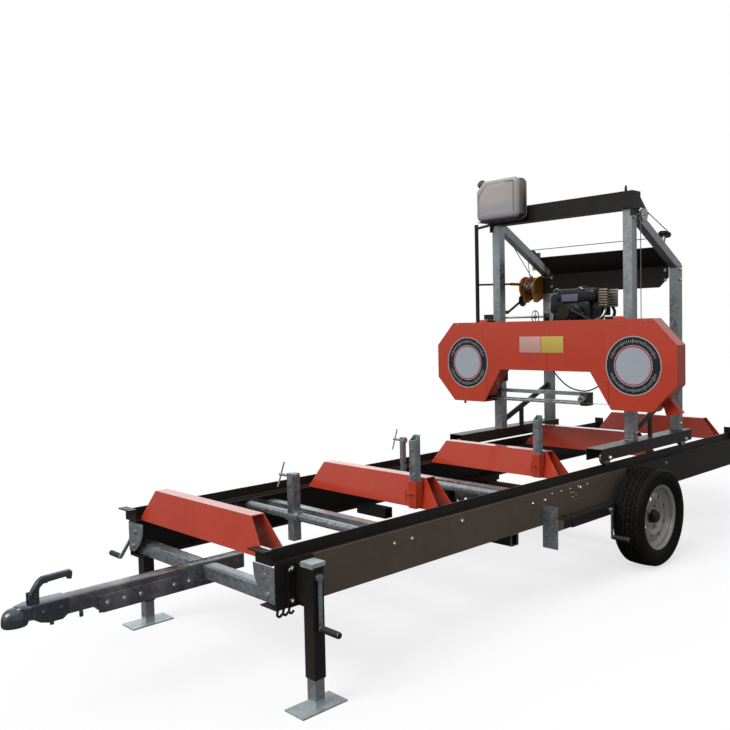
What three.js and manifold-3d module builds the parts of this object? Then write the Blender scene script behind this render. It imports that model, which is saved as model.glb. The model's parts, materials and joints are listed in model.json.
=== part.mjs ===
// Portable band sawmill on a road trailer: a log bed, a carriage that rolls along it and a
// saw head that a winch lifts on four posts. Millimetres, +Z up. +X runs from the coupler to
// the rear end, and the near side is -Y.
import * as THREE from "three";
import { mergeVertices } from "three/addons/utils/BufferGeometryUtils.js";
import Module from "manifold-3d";

const wasm = await Module();
wasm.setup();

// Shared values
const NEAR = -1;
const FAR = 1;
const SEAT_GAP = 0.3;
const SLIDE_GAP = 0.6;
const OVERRUN = 5;
const ROUND_SIDES = 16;
const FINE_SIDES = 24;
const BOLT_SIDES = 6;
const SHEET = 4;
const PLATE = 6;
const HALF = 0.5;
const BITE = 0.5;
const QUARTER_TURN = Math.PI / 2;

// Bed: two channel rails with a roller track on each
const BED_LENGTH = 4200;
const RAIL_HALF_WIDTH = 565;
const RAIL_BOTTOM = 376;
const RAIL_HEIGHT = 180;
const RAIL_FLANGE = 100;
const TRACK_HEIGHT = 48;
const TRACK_INSET = 28;
const TRACK_FOOT = 44;
const STOP_REACH = 35;
const STOP_DROP = 6;

// Bunks: folded sheet channels, open beneath and at both ends
const BUNK_COUNT = 5;
const BUNK_PITCH = 1020;
const BUNK_FRONT = 10;
const BUNK_HEIGHT = 146;
const BUNK_BASE = 112;
const BUNK_TOP = 62;
const BUNK_BASE_LENGTH = 960;
const BUNK_TOP_LENGTH = 742;

// Cross members between the rails
const CLAMP_TUBE_DIAMETER = 42;
const CLAMP_TUBE_WALL = 3;
const CLAMP_TUBE_SETBACK = 610;
const CLAMP_TUBE_HEIGHT = 526;
const CROSS_TUBE_SIZE = 50;
const CROSS_TUBE_SETBACK = 750;
const CROSS_TUBE_HEIGHT = 505;
const END_PLATE_HEIGHT = 68;

// Log clamps and log stops
const CLAMP_POST_SIZES = [45, 26];
const CLAMP_POST_PLACES = [95, 335];
const CLAMP_POST_BELOW = 118;
const CLAMP_POST_TOPS = [208, 249];
const CLAMP_SLEEVE_DIAMETER = 54;
const CLAMP_SLEEVE_LENGTH = 100;
const CLAMP_SCREW_DIAMETER = 14;
const CLAMP_SCREW_DROP = 18;
const CLAMP_SCREW_LENGTHS = [137, 97];
const CLAMP_PAD_DIAMETER = 34;
const CLAMP_PAD_THICKNESS = 9;
const CLAMP_BAR_DIAMETER = 9;
const CLAMP_BAR_LENGTH = 125;
const CLAMP_BAR_SLANT = 0.35;
const LOG_STOP_SIZE = 38;
const LOG_STOP_PLACE = -345;
const LOG_STOP_TOP = 912;
const LOG_STOP_LENGTH = 350;
const LOG_STOP_BEVEL = 26;
const SLEEVE_WALL = 4;
const SLEEVE_LENGTH = 130;
const SLEEVE_LIFT = 6;
const RIB_REACH = 16;
const LOCK_ROD_DIAMETER = 10;
const LOCK_ROD_LENGTH = 42;
const LOCK_ROD_DROP = 62;
const LOCK_BAR_DIAMETER = 8;
const LOCK_BAR_LENGTH = 62;

// Parking jacks
const JACK_PLACE = 120;
const JACK_OUTREACH = 641;
const JACK_TUBE = 55;
const JACK_TUBE_BOTTOM = 112;
const JACK_TUBE_TOP = 540;
const JACK_CAP = 68;
const JACK_CAP_HEIGHT = 16;
const JACK_LEG_TOP = 430;
const JACK_FOOT_LENGTH = 220;
const JACK_FOOT_WIDTH = 110;
const JACK_CRANK_HEIGHT = 500;
const JACK_CRANK_ARM = 200;
const JACK_CRANK_WIDTH = 16;
const JACK_CRANK_THICKNESS = 7;
const JACK_HUB_DIAMETER = 30;
const JACK_HUB_LENGTH = 14;
const JACK_GRIP_DIAMETER = 24;
const JACK_GRIP_LENGTH = 100;
const FAR_CRANK_ANGLE = 0.62;
const JACK_BRACKET_WIDTH = 130;
const JACK_BRACKET_HEIGHT = 172;
const JACK_BLOCK_WIDTH = 50;
const SWING_PIVOT_PLACE = 2105;
const SWING_PIVOT_HEIGHT = 372;
const SWING_PIN_DIAMETER = 30;
const SWING_JACK_OUTREACH = 612;
const SWING_LEG_SHOWN = 165;
const SWING_FOOT_WIDTH = 90;
const SWING_CRANK_ARM = 160;
const SWING_FOOT_REACH = 366;

// Axle, road wheels and drawbar
const AXLE_PLACE = 2645;
const WHEEL_DIAMETER = 573;
const TYRE_WIDTH = 175;
const OVERALL_WIDTH = 1567;
const RIM_DIAMETER = 378;
const RIM_WELL_DIAMETER = 300;
const RIM_GAUGE = 5;
const RIM_DISC_SHIFT = 14;
const RIM_WIDTH = 140;
const RIM_FLANGE = 12;
const RIM_NUTS = 5;
const RIM_NUT_CIRCLE = 66;
const RIM_NUT = 20;
const RIM_SLOTS = 8;
const RIM_SLOT_CIRCLE = 118;
const RIM_SLOT_DIAMETER = 28;
const TYRE_SHOULDER = 16;
const TYRE_GROOVE = 9;
const HUB_DIAMETER = 90;
const HUB_REACH = 26;
const AXLE_TUBE = 60;
const STUB_DIAMETER = 40;
const AXLE_BRACKET_LENGTH = 200;
const AXLE_END_PLATE = 10;
const DRAWBAR_TUBE = 65;
const DRAWBAR_TOP = 450;
const DRAWBAR_FRONT = -640;
const DRAWBAR_REAR = 235;
const DRAWBAR_SHOE_FRONT = -450;
const DRAWBAR_SHOE_REAR = 140;
const DRAWBAR_SHOE_DEPTH = 32;
const DRAWBAR_ARM_PLACE = 55;
const DRAWBAR_ARM_TUBE = 60;
const DRAWBAR_BOLT = 20;
const COUPLER_LENGTH = 200;
const COUPLER_OVERLAP = 70;
const COUPLER_CUP_DIAMETER = 66;
const COUPLER_CUP_HEIGHT = 62;
const COUPLER_BALL_DIAMETER = 51;
const COUPLER_NECK_WIDTH = 50;
const COUPLER_TOP = 476;
const LEVER_LENGTH = 112;
const LEVER_ELBOW = 50;
const LEVER_PIN_DIAMETER = 8;
const LEVER_RISE = 58;
const LEVER_WIDTH = 24;
const LEVER_THICKNESS = 9;
const RAMP_STUB_PLACE = 1500;
const RAMP_STUB_TUBE = 58;
const RAMP_STUB_LENGTH = 240;

// Carriage: its local origin is the axis of the front posts, on the ground, on the centre plane
const CARRIAGE_PLACE = 2813;
const POST_SIZE = 60;
const POST_WALL = 3;
const POST_SPACING = 988;
const SLOPE_FRONT_TOP = 2150;
const SLOPE_REAR_TOP = 1822;
const REAR_POST_SETBACK = 612;
const FRONT_POST_TOP = 2112;
const REAR_POST_TOP = 1795;
const BEAM_FRONT = -473;
const BEAM_REAR = 687;
const BEAM_WIDTH = 100;
const BEAM_BOTTOM = 630;
const BEAM_TOP = 700;
const ROLLER_RADIUS = 38;
const ROLLER_FLANGE = 5;
const ROLLER_WIDTH = 30;
const ROLLER_GROOVE = 10;
const ROLLER_SETBACK = 90;
const ROLLER_PIN_DIAMETER = 16;
const GUSSET_STRUT_PLACE = 245;
const GUSSET_LOW = 770;
const GUSSET_HIGH = 985;
const GUSSET_DEPTH = 40;
const GUSSET_WIDTH = 12;
const SLOPE_TUBE = 50;
const SLOPE_DEPTH = 62;
const TOP_BEAM_DEPTH = 100;
const TOP_BEAM_HEIGHT = 106;
const TOP_BEAM_OVERHANG = 16;
const EYE_RADIUS = 20;
const EYE_BAR = 9;
const EYE_TURN = 0.6;
const EYE_PLACE = 470;
const CHEEK_DROP = 46;
const PANEL_LOW = 1652;
const PANEL_LEAN_RUN = 190;
const PANEL_LEAN_RISE = 112;
const PANEL_NEAR_END = -462;
const PANEL_FAR_END = 600;
const PANEL_LEAN_FAR_END = 425;
const PANEL_SHEET = 5;
const PANEL_TALL_TOP = 1925;
const PANEL_TALL_WIDTH = 36;
const PANEL_CUT = 70;
const SCALE_BAR = 20;
const SCALE_PLACE = 780;
const SCALE_SETBACK = 118;
const SCALE_BOTTOM = 1330;
const SCALE_TOP = 2160;
const SCALE_ARM_HEIGHT = 1722;
const SCALE_ARM_DIAMETER = 14;

// Water tank
const TANK_WIDTH = 350;
const TANK_DEPTH = 135;
const TANK_HEIGHT = 275;
const TANK_PLACE = 372;
const TANK_SETBACK = -122;
const TANK_BOTTOM = 2128;
const TANK_CORNER = 42;
const TANK_EDGE = 14;
const TANK_NECK_DIAMETER = 46;
const TANK_NECK_HEIGHT = 16;
const TANK_CAP_DIAMETER = 60;
const TANK_CAP_HEIGHT = 30;
const TANK_CHAMFER = 62;

// Lift: winch, sheaves and cable
const WINCH_PLACE = 566;
const WINCH_HEIGHT = 1700;
const WINCH_WIDTH = 92;
const WINCH_SHAFT_SHIFT = [-10, -95];
const WINCH_LUG_SHARE = 2.5;
const WINCH_BRAKE_DIAMETER = 92;
const WINCH_HOUSING = 12;
const WINCH_SHAPE_SHARES = [
  [0.93, -1.05], [0.93, 1.1], [0.24, 0.9], [-0.38, 0.54], [-0.6, -0.5], [-0.4, -1.36], [0.12, -1.4],
];
const WINCH_SIDE = 8;
const WINCH_GEAR_RADIUS = 82;
const DRUM_RADIUS = 24;
const DRUM_SETBACK = 80;
const DRUM_FLANGE_RADIUS = 50;
const DRUM_FLANGE = 5;
const CABLE_DIAMETER = 6;
const CABLE_TURNS = 3;
const CABLE_PITCH = 6.6;
const CABLE_SIDES = 6;
const CABLE_STEPS_A_TURN = 14;
const CABLE_ARC_STEPS = 10;
const CRANK_ARM = 210;
const CRANK_GRIP_LENGTH = 90;
const CRANK_GRIP_DIAMETER = 24;
const CRANK_SHAFT_DIAMETER = 16;
const CRANK_ANGLE = 1.1;
const CRANK_STANDOFF = 21;
const SHEAVE_RADIUS = 40;
const SHEAVE_WIDTH = 16;
const SHEAVE_GROOVE = 5;
const SHEAVE_BORE = 12;
const SHEAVE_PEDESTAL = 78;
const BRACE_SHEAVE_SETBACK = 440;
const BRACE_SHEAVE_HEIGHT = 1987;
const TOP_SHEAVE_SETBACK = 86;
const TOP_SHEAVE_HEIGHT = 2079;
const SHEAVE_OUTREACH = 540;
const TURNING_SHEAVE_PLACE = 552;

// Saw head: its local frame is the carriage's
const WHEEL_SPACING = 1240;
const WHEEL_HEIGHT = 1168;
const BAND_WHEEL_DIAMETER = 480;
const BAND_WHEEL_WIDTH = 34;
const BAND_WHEEL_RIM = 16;
const BAND_WHEEL_WEB = 9;
const BAND_WHEEL_HUB_DIAMETER = 84;
const BAND_WHEEL_HOLES = 5;
const BAND_WHEEL_HOLE_DIAMETER = 78;
const BAND_SHAFT_DIAMETER = 30;
const BLADE_WIDTH = 34;
const BLADE_THICKNESS = 1.4;
const BLADE_TOOTH_PITCH = 26;
const BLADE_GULLET = 6;
const TOOTH_SHARE = 0.7;
const BLADE_PLANE = -163;
const COVER_FRONT = -208;
const COVER_DEPTH = 95;
const COVER_SHEET = 3;
const COVER_TOP = 277;
const COVER_BOTTOM = -268;
const COVER_HALF_WIDTH = 888;
const COVER_SHOULDER = 742;
const COVER_SIDE_TOP = 122;
const COVER_SIDE_BOTTOM = -106;
const COVER_FOOT_OUTER = 738;
const COVER_FOOT_INNER = 477;
const THROAT_HALF_WIDTH = 337;
const THROAT_TOP = -43;
const COVER_SLOT = 26;
// Sawdust chute under the drive wheel, in Y and height, as shares of the wheel's radius
const CHUTE_SHARES = [[-0.508, -0.804], [-0.75, -0.817], [-1.037, -1.142], [-0.658, -1.233]];
const HINGE_DIAMETER = 16;
const HINGE_RISE = 10;
const HINGE_LENGTH = 60;
const HINGE_PLACE = 450;
const LATCH_PLACE = 700;
const HEAD_BEAM_DEPTH = 36;
const HEAD_BEAM_HEIGHT = 78;
const HEAD_BEAM_TOP = 1436;
const HEAD_BEAM_LENGTH = 1340;
const SLEEVE_BOTTOM = 1030;
const SLEEVE_TOP = 1436;
const SLEEVE_CLEAR = 3;
const SLEEVE_SHEET = 5;
const LUG_HEIGHT = 46;
const ENGINE_BED_TOP = 1392;
const ENGINE_BED_LENGTH = 340;
const ENGINE_BED_WIDTH = 640;
const REAR_BEAM_DEPTH = 36;
const BEARING_DIAMETER = 78;
const BEARING_LENGTH = 26;
const GUIDE_BAR = 24;
const GUIDE_BAR_HIGH = 976;
const GUIDE_BAR_LOW = 918;
const GUIDE_BAR_LENGTH = 1000;
const GUIDE_BAR_SETBACK = -78;
const GUIDE_PLACE = -250;
const GUIDE_HOLDER_PLACE = 480;
const GUIDE_HOLDER_LENGTH = 60;
const GUIDE_BLOCK_WIDTH = 46;
const GUIDE_ROLLER_DIAMETER = 44;
const GUIDE_ROLLER_WIDTH = 24;
const GUIDE_ROLLER_EDGE = 1;
const DRIVE_PULLEY_DIAMETER = 180;
const ENGINE_PULLEY_DIAMETER = 90;
const PULLEY_WIDTH = 22;
const BELT_PLANE = -52;
const BELT_WIDTH = 13;
const BELT_THICKNESS = 9;
const ENGINE_WIDTH = 440;
const ENGINE_BED_ARM = 150;
const ENGINE_LENGTH = 250;
const ENGINE_PLACE = -60;
const ENGINE_FRONT = 78;
const ENGINE_SHAFT_RISE = 106;
const ENGINE_SHAFT_DIAMETER = 20;
const ENGINE_TOP = 1660;
const ENGINE_CAP_DIAMETER = 62;
const ENGINE_CAP_RISE = 12;
const ENGINE_SHROUD_DIAMETER = 200;
const ENGINE_STARTER_DIAMETER = 150;
const ENGINE_STARTER_DEPTH = 30;
// Crankcase, feet, cylinder, fuel tank, air cleaner and silencer, as shares of length, width, height
const ENGINE_BLOCK_SHARES = [
  [[0.06, 0.76], [-0.22, 0.2], [0.04, 0.66]],
  [[0.02, 0.8], [-0.25, 0.25], [0, 0.08]],
  [[0.2, 0.7], [-0.4, -0.08], [0.34, 0.68]],
  [[0.04, 0.9], [-0.34, 0.34], [0.64, 1]],
  [[0.12, 0.6], [0.18, 0.5], [0.42, 0.86]],
  [[0.1, 0.66], [-0.5, -0.3], [0.5, 0.88]],
];
const TENSION_PLACE = 62;
const TENSION_HEIGHT = 1474;
const TENSION_ROD_DIAMETER = 14;
const TENSION_WHEEL_DIAMETER = 84;
const TENSION_BRACKET_PLACE = 150;
const TENSION_BRACKET_SHEET = 20;
const TENSION_WHEEL_PLACE = 240;
const TENSION_SLIDE_WIDTH = 100;
const TENSION_SLIDE_THICKNESS = 24;
const TENSION_SLIDE_LOW = 1120;
const TENSION_SLIDE_TOP = 1500;
const TENSION_GUIDE_HEIGHTS = [1240, 1404];
const TENSION_GUIDE_DEPTH = 50;
const TENSION_GUIDE_SHEET = 10;
const TENSION_STROKE = 14;
const HOSE_DIAMETER = 9;
const HOSE_STEPS = 22;
const HOSE_ROUTE = [
  [-101.6, 0, 1150], [-101.6, -8, 1118], [-98, -60, 1060], [-98, -120, 1018], [-98, -180, 1000],
  [-98, -245, 997], [-98, -300, 1014], [-100, -355, 1046], [-101.6, -405, 1080],
];

// Finishes
const finish = (color, roughness, metalness) => ({ color, roughness, metalness });
const BLACK_PAINT = finish(0x1c1a19, 0.42, 0.2);
const ORANGE_PAINT = finish(0xc6401f, 0.45, 0.1);
const GALVANISED = finish(0x9aa4aa, 0.42, 0.85);
const ZINC = finish(0xc4c6c2, 0.35, 0.9);
const RUBBER = finish(0x18181a, 0.85, 0);
const SILVER = finish(0xb9bcc0, 0.4, 0.7);
const CAST_IRON = finish(0x6d7073, 0.55, 0.7);
const BLADE_STEEL = finish(0xaeb2b5, 0.3, 0.95);
const ENGINE_BLACK = finish(0x15151a, 0.4, 0.2);
const WINCH_YELLOW = finish(0xd08a1c, 0.45, 0.3);
const TANK_PLASTIC = finish(0xe4e2dc, 0.5, 0);
const CAP_PLASTIC = finish(0x5a4f4a, 0.6, 0);
const CABLE_STEEL = finish(0x8c8f92, 0.4, 0.85);

// Solids: three.js shapes, joined and cut by the solid library
function solidOf(geometry) {
  const bare = new THREE.BufferGeometry();
  const source = geometry.index ? geometry.toNonIndexed() : geometry;
  bare.setAttribute("position", source.getAttribute("position").clone());
  const merged = mergeVertices(bare, 1e-3);
  const at = merged.getAttribute("position");
  const corner = (index) => new THREE.Vector3().fromBufferAttribute(at, index);
  const faces = [];
  let volume = 0;
  for (let i = 0; i < merged.index.count; i += 3) {
    const [a, b, c] = merged.index.array.slice(i, i + 3);
    if (a === b || b === c || c === a) continue;
    faces.push([a, b, c]);
    volume += corner(a).dot(corner(b).cross(corner(c)));
  }
  const outward = faces.map(([a, b, c]) => (volume < 0 ? [a, c, b] : [a, b, c]));
  const mesh = { numProp: 3, vertProperties: at.array, triVerts: new Uint32Array(outward.flat()) };
  return new wasm.Manifold(new wasm.Mesh(mesh));
}

function geometryOf(solid) {
  const mesh = solid.getMesh();
  const geometry = new THREE.BufferGeometry();
  geometry.setAttribute("position", new THREE.BufferAttribute(mesh.vertProperties, 3));
  geometry.setIndex(new THREE.BufferAttribute(mesh.triVerts, 1));
  const flat = geometry.toNonIndexed();
  flat.computeVertexNormals();
  return flat;
}

const join = (...solids) => solids.flat().reduce((sum, each) => sum.add(each));
const cut = (solid, ...tools) => tools.flat().reduce((rest, each) => rest.subtract(each), solid);
const around = (middle, size) => [middle - size * HALF, middle + size * HALF];
const point = (x, y, z) => new THREE.Vector3(x, y, z);

// A box between two bounds on each axis, in either order.
function block(xs, ys, zs) {
  const size = [xs, ys, zs].map(([a, b]) => Math.abs(b - a));
  const middle = [xs, ys, zs].map(([a, b]) => (a + b) * HALF);
  return solidOf(new THREE.BoxGeometry(...size).translate(...middle));
}

function shapeOf(outline) {
  return new THREE.Shape(outline.map(([a, b]) => new THREE.Vector2(a, b)));
}

// An outline in Y and Z drawn out along X.
function alongX(outline, from, to) {
  const made = new THREE.ExtrudeGeometry(shapeOf(outline), { depth: to - from, bevelEnabled: false });
  return solidOf(made.rotateX(QUARTER_TURN).rotateZ(QUARTER_TURN).translate(from, 0, 0));
}

// An outline in X and Z drawn out along Y.
function alongY(outline, from, to) {
  const depth = Math.abs(to - from);
  const made = new THREE.ExtrudeGeometry(shapeOf(outline), { depth, bevelEnabled: false });
  return solidOf(made.rotateX(QUARTER_TURN).translate(0, Math.max(from, to), 0));
}

// A round bar, or a bar with flats, between two points.
function bar(from, to, diameter, sides = ROUND_SIDES) {
  const run = to.clone().sub(from);
  const made = new THREE.CylinderGeometry(diameter * HALF, diameter * HALF, run.length(), sides);
  const turn = new THREE.Quaternion().setFromUnitVectors(point(0, 1, 0), run.clone().normalize());
  const middle = from.clone().add(to).multiplyScalar(HALF);
  return solidOf(made.applyQuaternion(turn).translate(middle.x, middle.y, middle.z));
}

// A profile of [radius, place] points turned about a line through a centre.
function turned(profile, axis, centre, sides = ROUND_SIDES) {
  const points = profile.map(([radius, place]) => new THREE.Vector2(radius, place));
  const made = new THREE.LatheGeometry(points, sides);
  const turn = new THREE.Quaternion().setFromUnitVectors(point(0, 1, 0), axis.clone().normalize());
  return solidOf(made.applyQuaternion(turn).translate(centre.x, centre.y, centre.z));
}

// A rectangular bar with its length along one axis, hollow and open at both ends.
function hollow(outer, wall, openAxis) {
  const inner = outer.map(([a, b], axis) => {
    const [low, high] = [Math.min(a, b), Math.max(a, b)];
    return axis === openAxis ? [low - OVERRUN, high + OVERRUN] : [low + wall, high - wall];
  });
  return cut(block(...outer), block(...inner));
}

// A route through exact points, for ropes and tubes.
class Route extends THREE.Curve {
  constructor(points) {
    super();
    this.points = points;
  }
  getPoint(share) {
    const place = share * (this.points.length - 1);
    const before = Math.min(Math.floor(place), this.points.length - 2);
    return this.points[before].clone().lerp(this.points[before + 1], place - before);
  }
  getSpacedPoints() {
    return this.points;
  }
  getTangentAt(share) {
    const last = this.points.length - 1;
    const here = Math.round(share * last);
    const ahead = this.points[Math.min(here + 1, last)];
    return ahead.clone().sub(this.points[Math.max(here - 1, 0)]).normalize();
  }
}

function rope(points, diameter, sides) {
  const ring = Array.from({ length: sides }, (_, i) => {
    const angle = (i / sides) * 2 * Math.PI;
    return [Math.cos(angle) * diameter * HALF, Math.sin(angle) * diameter * HALF];
  });
  const route = { steps: points.length - 1, extrudePath: new Route(points) };
  return solidOf(new THREE.ExtrudeGeometry(shapeOf(ring), route));
}

// Points of an arc about a centre, from one angle to another, in the plane of two directions.
function arc(centre, first, second, radius, from, to, steps) {
  return Array.from({ length: steps + 1 }, (_, i) => {
    const angle = from + ((to - from) * i) / steps;
    const out = first.clone().multiplyScalar(Math.cos(angle) * radius);
    return centre.clone().add(out).addScaledVector(second, Math.sin(angle) * radius);
  });
}

function piece(group, name, solid, look) {
  const mesh = new THREE.Mesh(geometryOf(solid), new THREE.MeshStandardMaterial(look));
  mesh.name = name;
  group.add(mesh);
  return mesh;
}

const SIDE_NAMES = new Map([[NEAR, "near"], [FAR, "far"]]);
const RAIL_TOP = RAIL_BOTTOM + RAIL_HEIGHT;
const TRACK_TOP = RAIL_TOP + TRACK_HEIGHT;
const TRACK_FACE = RAIL_HALF_WIDTH - TRACK_INSET;
const TRACK_MIDDLE = TRACK_FACE - PLATE * HALF;
const RAIL_INNER = RAIL_HALF_WIDTH - RAIL_FLANGE;
const POST_MIDDLE = POST_SPACING * HALF;

// Channel rail with its track, front and rear stops, jack tube and ramp stub
function railOutline(side) {
  const footEnd = TRACK_FACE - PLATE - TRACK_FOOT;
  const web = RAIL_HALF_WIDTH - PLATE;
  const corners = [
    [RAIL_HALF_WIDTH, RAIL_BOTTOM], [RAIL_HALF_WIDTH, RAIL_TOP], [TRACK_FACE, RAIL_TOP],
    [TRACK_FACE, TRACK_TOP], [TRACK_FACE - PLATE, TRACK_TOP],
    [TRACK_FACE - PLATE, RAIL_TOP + PLATE], [footEnd, RAIL_TOP + PLATE], [footEnd, RAIL_TOP],
    [RAIL_INNER, RAIL_TOP], [RAIL_INNER, RAIL_TOP - PLATE], [web, RAIL_TOP - PLATE],
    [web, RAIL_BOTTOM + PLATE], [RAIL_INNER, RAIL_BOTTOM + PLATE], [RAIL_INNER, RAIL_BOTTOM],
  ];
  return corners.map(([y, z]) => [side * y, z]);
}

function frontStop(side) {
  const face = -STOP_REACH * HALF;
  const lip = face - STOP_REACH;
  const top = TRACK_TOP + STOP_DROP;
  const bent = [
    [SHEET, RAIL_TOP - PLATE], [face, RAIL_TOP - PLATE], [face, top - PLATE],
    [lip, top - PLATE], [lip, top], [face + PLATE, top], [face + PLATE, RAIL_TOP], [SHEET, RAIL_TOP],
  ];
  return alongY(bent, side * RAIL_INNER, side * RAIL_HALF_WIDTH);
}

function jackTube(x, y, bottom, top) {
  const walls = hollow([around(x, JACK_TUBE), around(y, JACK_TUBE), [bottom, top]], SHEET, 2);
  const cap = [top - SHEET, top + JACK_CAP_HEIGHT];
  return join(walls, block(around(x, JACK_CAP), around(y, JACK_CAP), cap));
}

function rail(side) {
  const jackFace = JACK_OUTREACH - JACK_TUBE * HALF;
  const plateFace = RAIL_HALF_WIDTH + PLATE;
  const stubY = side * (RAIL_HALF_WIDTH - RAMP_STUB_LENGTH);
  const rearStopTop = TRACK_TOP + STOP_REACH;
  const solids = [
    alongX(railOutline(side), 0, BED_LENGTH),
    frontStop(side),
    block([BED_LENGTH - PLATE, BED_LENGTH], [side * (TRACK_FACE - TRACK_FOOT), side * RAIL_HALF_WIDTH],
      [RAIL_TOP - PLATE, rearStopTop]),
    jackTube(JACK_PLACE, side * JACK_OUTREACH, JACK_TUBE_BOTTOM, JACK_TUBE_TOP),
    block(around(JACK_PLACE, JACK_BRACKET_WIDTH), [side * (RAIL_HALF_WIDTH - BITE), side * plateFace],
      [RAIL_BOTTOM, RAIL_BOTTOM + JACK_BRACKET_HEIGHT]),
    block(around(JACK_PLACE, JACK_BLOCK_WIDTH), [side * RAIL_HALF_WIDTH, side * (jackFace + BITE)],
      [RAIL_BOTTOM + PLATE, RAIL_BOTTOM + JACK_BRACKET_HEIGHT - PLATE]),
    hollow([around(RAMP_STUB_PLACE, RAMP_STUB_TUBE), [stubY, side * RAIL_HALF_WIDTH],
      [RAIL_BOTTOM - RAMP_STUB_TUBE, RAIL_BOTTOM + BITE]], SHEET, 1),
  ];
  if (side === NEAR) solids.push(swingBracket());
  return join(solids);
}

// Pivot plate and pin of the jack that swings down on the near side
function swingBracket() {
  const y = -RAIL_HALF_WIDTH;
  const plate = block(around(SWING_PIVOT_PLACE, JACK_BRACKET_WIDTH), [y + BITE, y - PLATE],
    [SWING_PIVOT_HEIGHT - JACK_TUBE * HALF, RAIL_BOTTOM + JACK_BRACKET_HEIGHT * HALF]);
  const pinEnd = -SWING_JACK_OUTREACH + JACK_TUBE * HALF - SHEET;
  return join(plate, bar(point(SWING_PIVOT_PLACE, y, SWING_PIVOT_HEIGHT),
    point(SWING_PIVOT_PLACE, pinEnd, SWING_PIVOT_HEIGHT), SWING_PIN_DIAMETER));
}

// Bunk: a folded channel with leaning sides, its ends cut on a slant
function bunkBody() {
  const lean = (BUNK_BASE - BUNK_TOP) * HALF;
  const run = Math.hypot(lean, BUNK_HEIGHT) / BUNK_HEIGHT;
  const gauge = SHEET * run;
  const tuck = gauge + (lean * (BUNK_HEIGHT - SHEET)) / BUNK_HEIGHT;
  const section = [
    [0, 0], [lean, BUNK_HEIGHT], [BUNK_BASE - lean, BUNK_HEIGHT], [BUNK_BASE, 0],
    [BUNK_BASE - gauge, 0], [BUNK_BASE - tuck, BUNK_HEIGHT - SHEET], [tuck, BUNK_HEIGHT - SHEET],
    [gauge, 0],
  ];
  const half = BUNK_BASE_LENGTH * HALF;
  const topHalf = BUNK_TOP_LENGTH * HALF;
  const slope = (half - topHalf) / BUNK_HEIGHT;
  const wedge = (side) => alongX([
    [side * (half + slope * OVERRUN), -OVERRUN],
    [side * (topHalf - slope * OVERRUN), BUNK_HEIGHT + OVERRUN],
    [side * (half + OVERRUN * 2), BUNK_HEIGHT + OVERRUN],
    [side * (half + OVERRUN * 2), -OVERRUN],
  ], -OVERRUN, BUNK_BASE + OVERRUN);
  return cut(alongY(section, -half, half), wedge(NEAR), wedge(FAR));
}

// Sleeve for a log stop, welded to the front of a bunk, with its tee-handled lock screw
function stopSleeve(base) {
  const outer = LOG_STOP_SIZE + 2 * (SLIDE_GAP + SLEEVE_WALL);
  const rear = SHEET;
  const xs = [rear - outer, rear];
  const ys = around(LOG_STOP_PLACE, outer);
  const zs = [SLEEVE_LIFT, SLEEVE_LIFT + SLEEVE_LENGTH];
  const rib = block([rear - BITE, rear + RIB_REACH], around(LOG_STOP_PLACE, SLEEVE_WALL),
    [zs[1] - LOCK_ROD_DIAMETER * 2, zs[1] - LOCK_ROD_DIAMETER]);
  const rodHeight = zs[1] - LOCK_ROD_DROP;
  const rodEnd = xs[0] - LOCK_ROD_LENGTH;
  const rod = bar(point(rodEnd, LOG_STOP_PLACE, rodHeight),
    point(xs[0] + SLEEVE_WALL * HALF, LOG_STOP_PLACE, rodHeight), LOCK_ROD_DIAMETER, BOLT_SIDES * 2);
  const tee = bar(point(rodEnd, LOG_STOP_PLACE, rodHeight - LOCK_BAR_LENGTH * HALF),
    point(rodEnd, LOG_STOP_PLACE, rodHeight + LOCK_BAR_LENGTH * HALF), LOCK_BAR_DIAMETER, BOLT_SIDES);
  const middle = base - outer * HALF + rear;
  return { solids: [hollow([xs, ys, zs], SLEEVE_WALL, 2), rib, rod, tee], middle };
}

function logStop() {
  const bottom = LOG_STOP_TOP - LOG_STOP_LENGTH;
  const half = LOG_STOP_SIZE * HALF;
  const tube = hollow([[-half, half], [-half, half], [bottom, LOG_STOP_TOP]], SHEET, 2);
  const bevel = alongY([
    [-half - OVERRUN, LOG_STOP_TOP - LOG_STOP_BEVEL - OVERRUN],
    [half + OVERRUN, LOG_STOP_TOP + OVERRUN], [-half - OVERRUN, LOG_STOP_TOP + OVERRUN],
  ], -half - OVERRUN, half + OVERRUN);
  return cut(tube, bevel);
}

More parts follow.
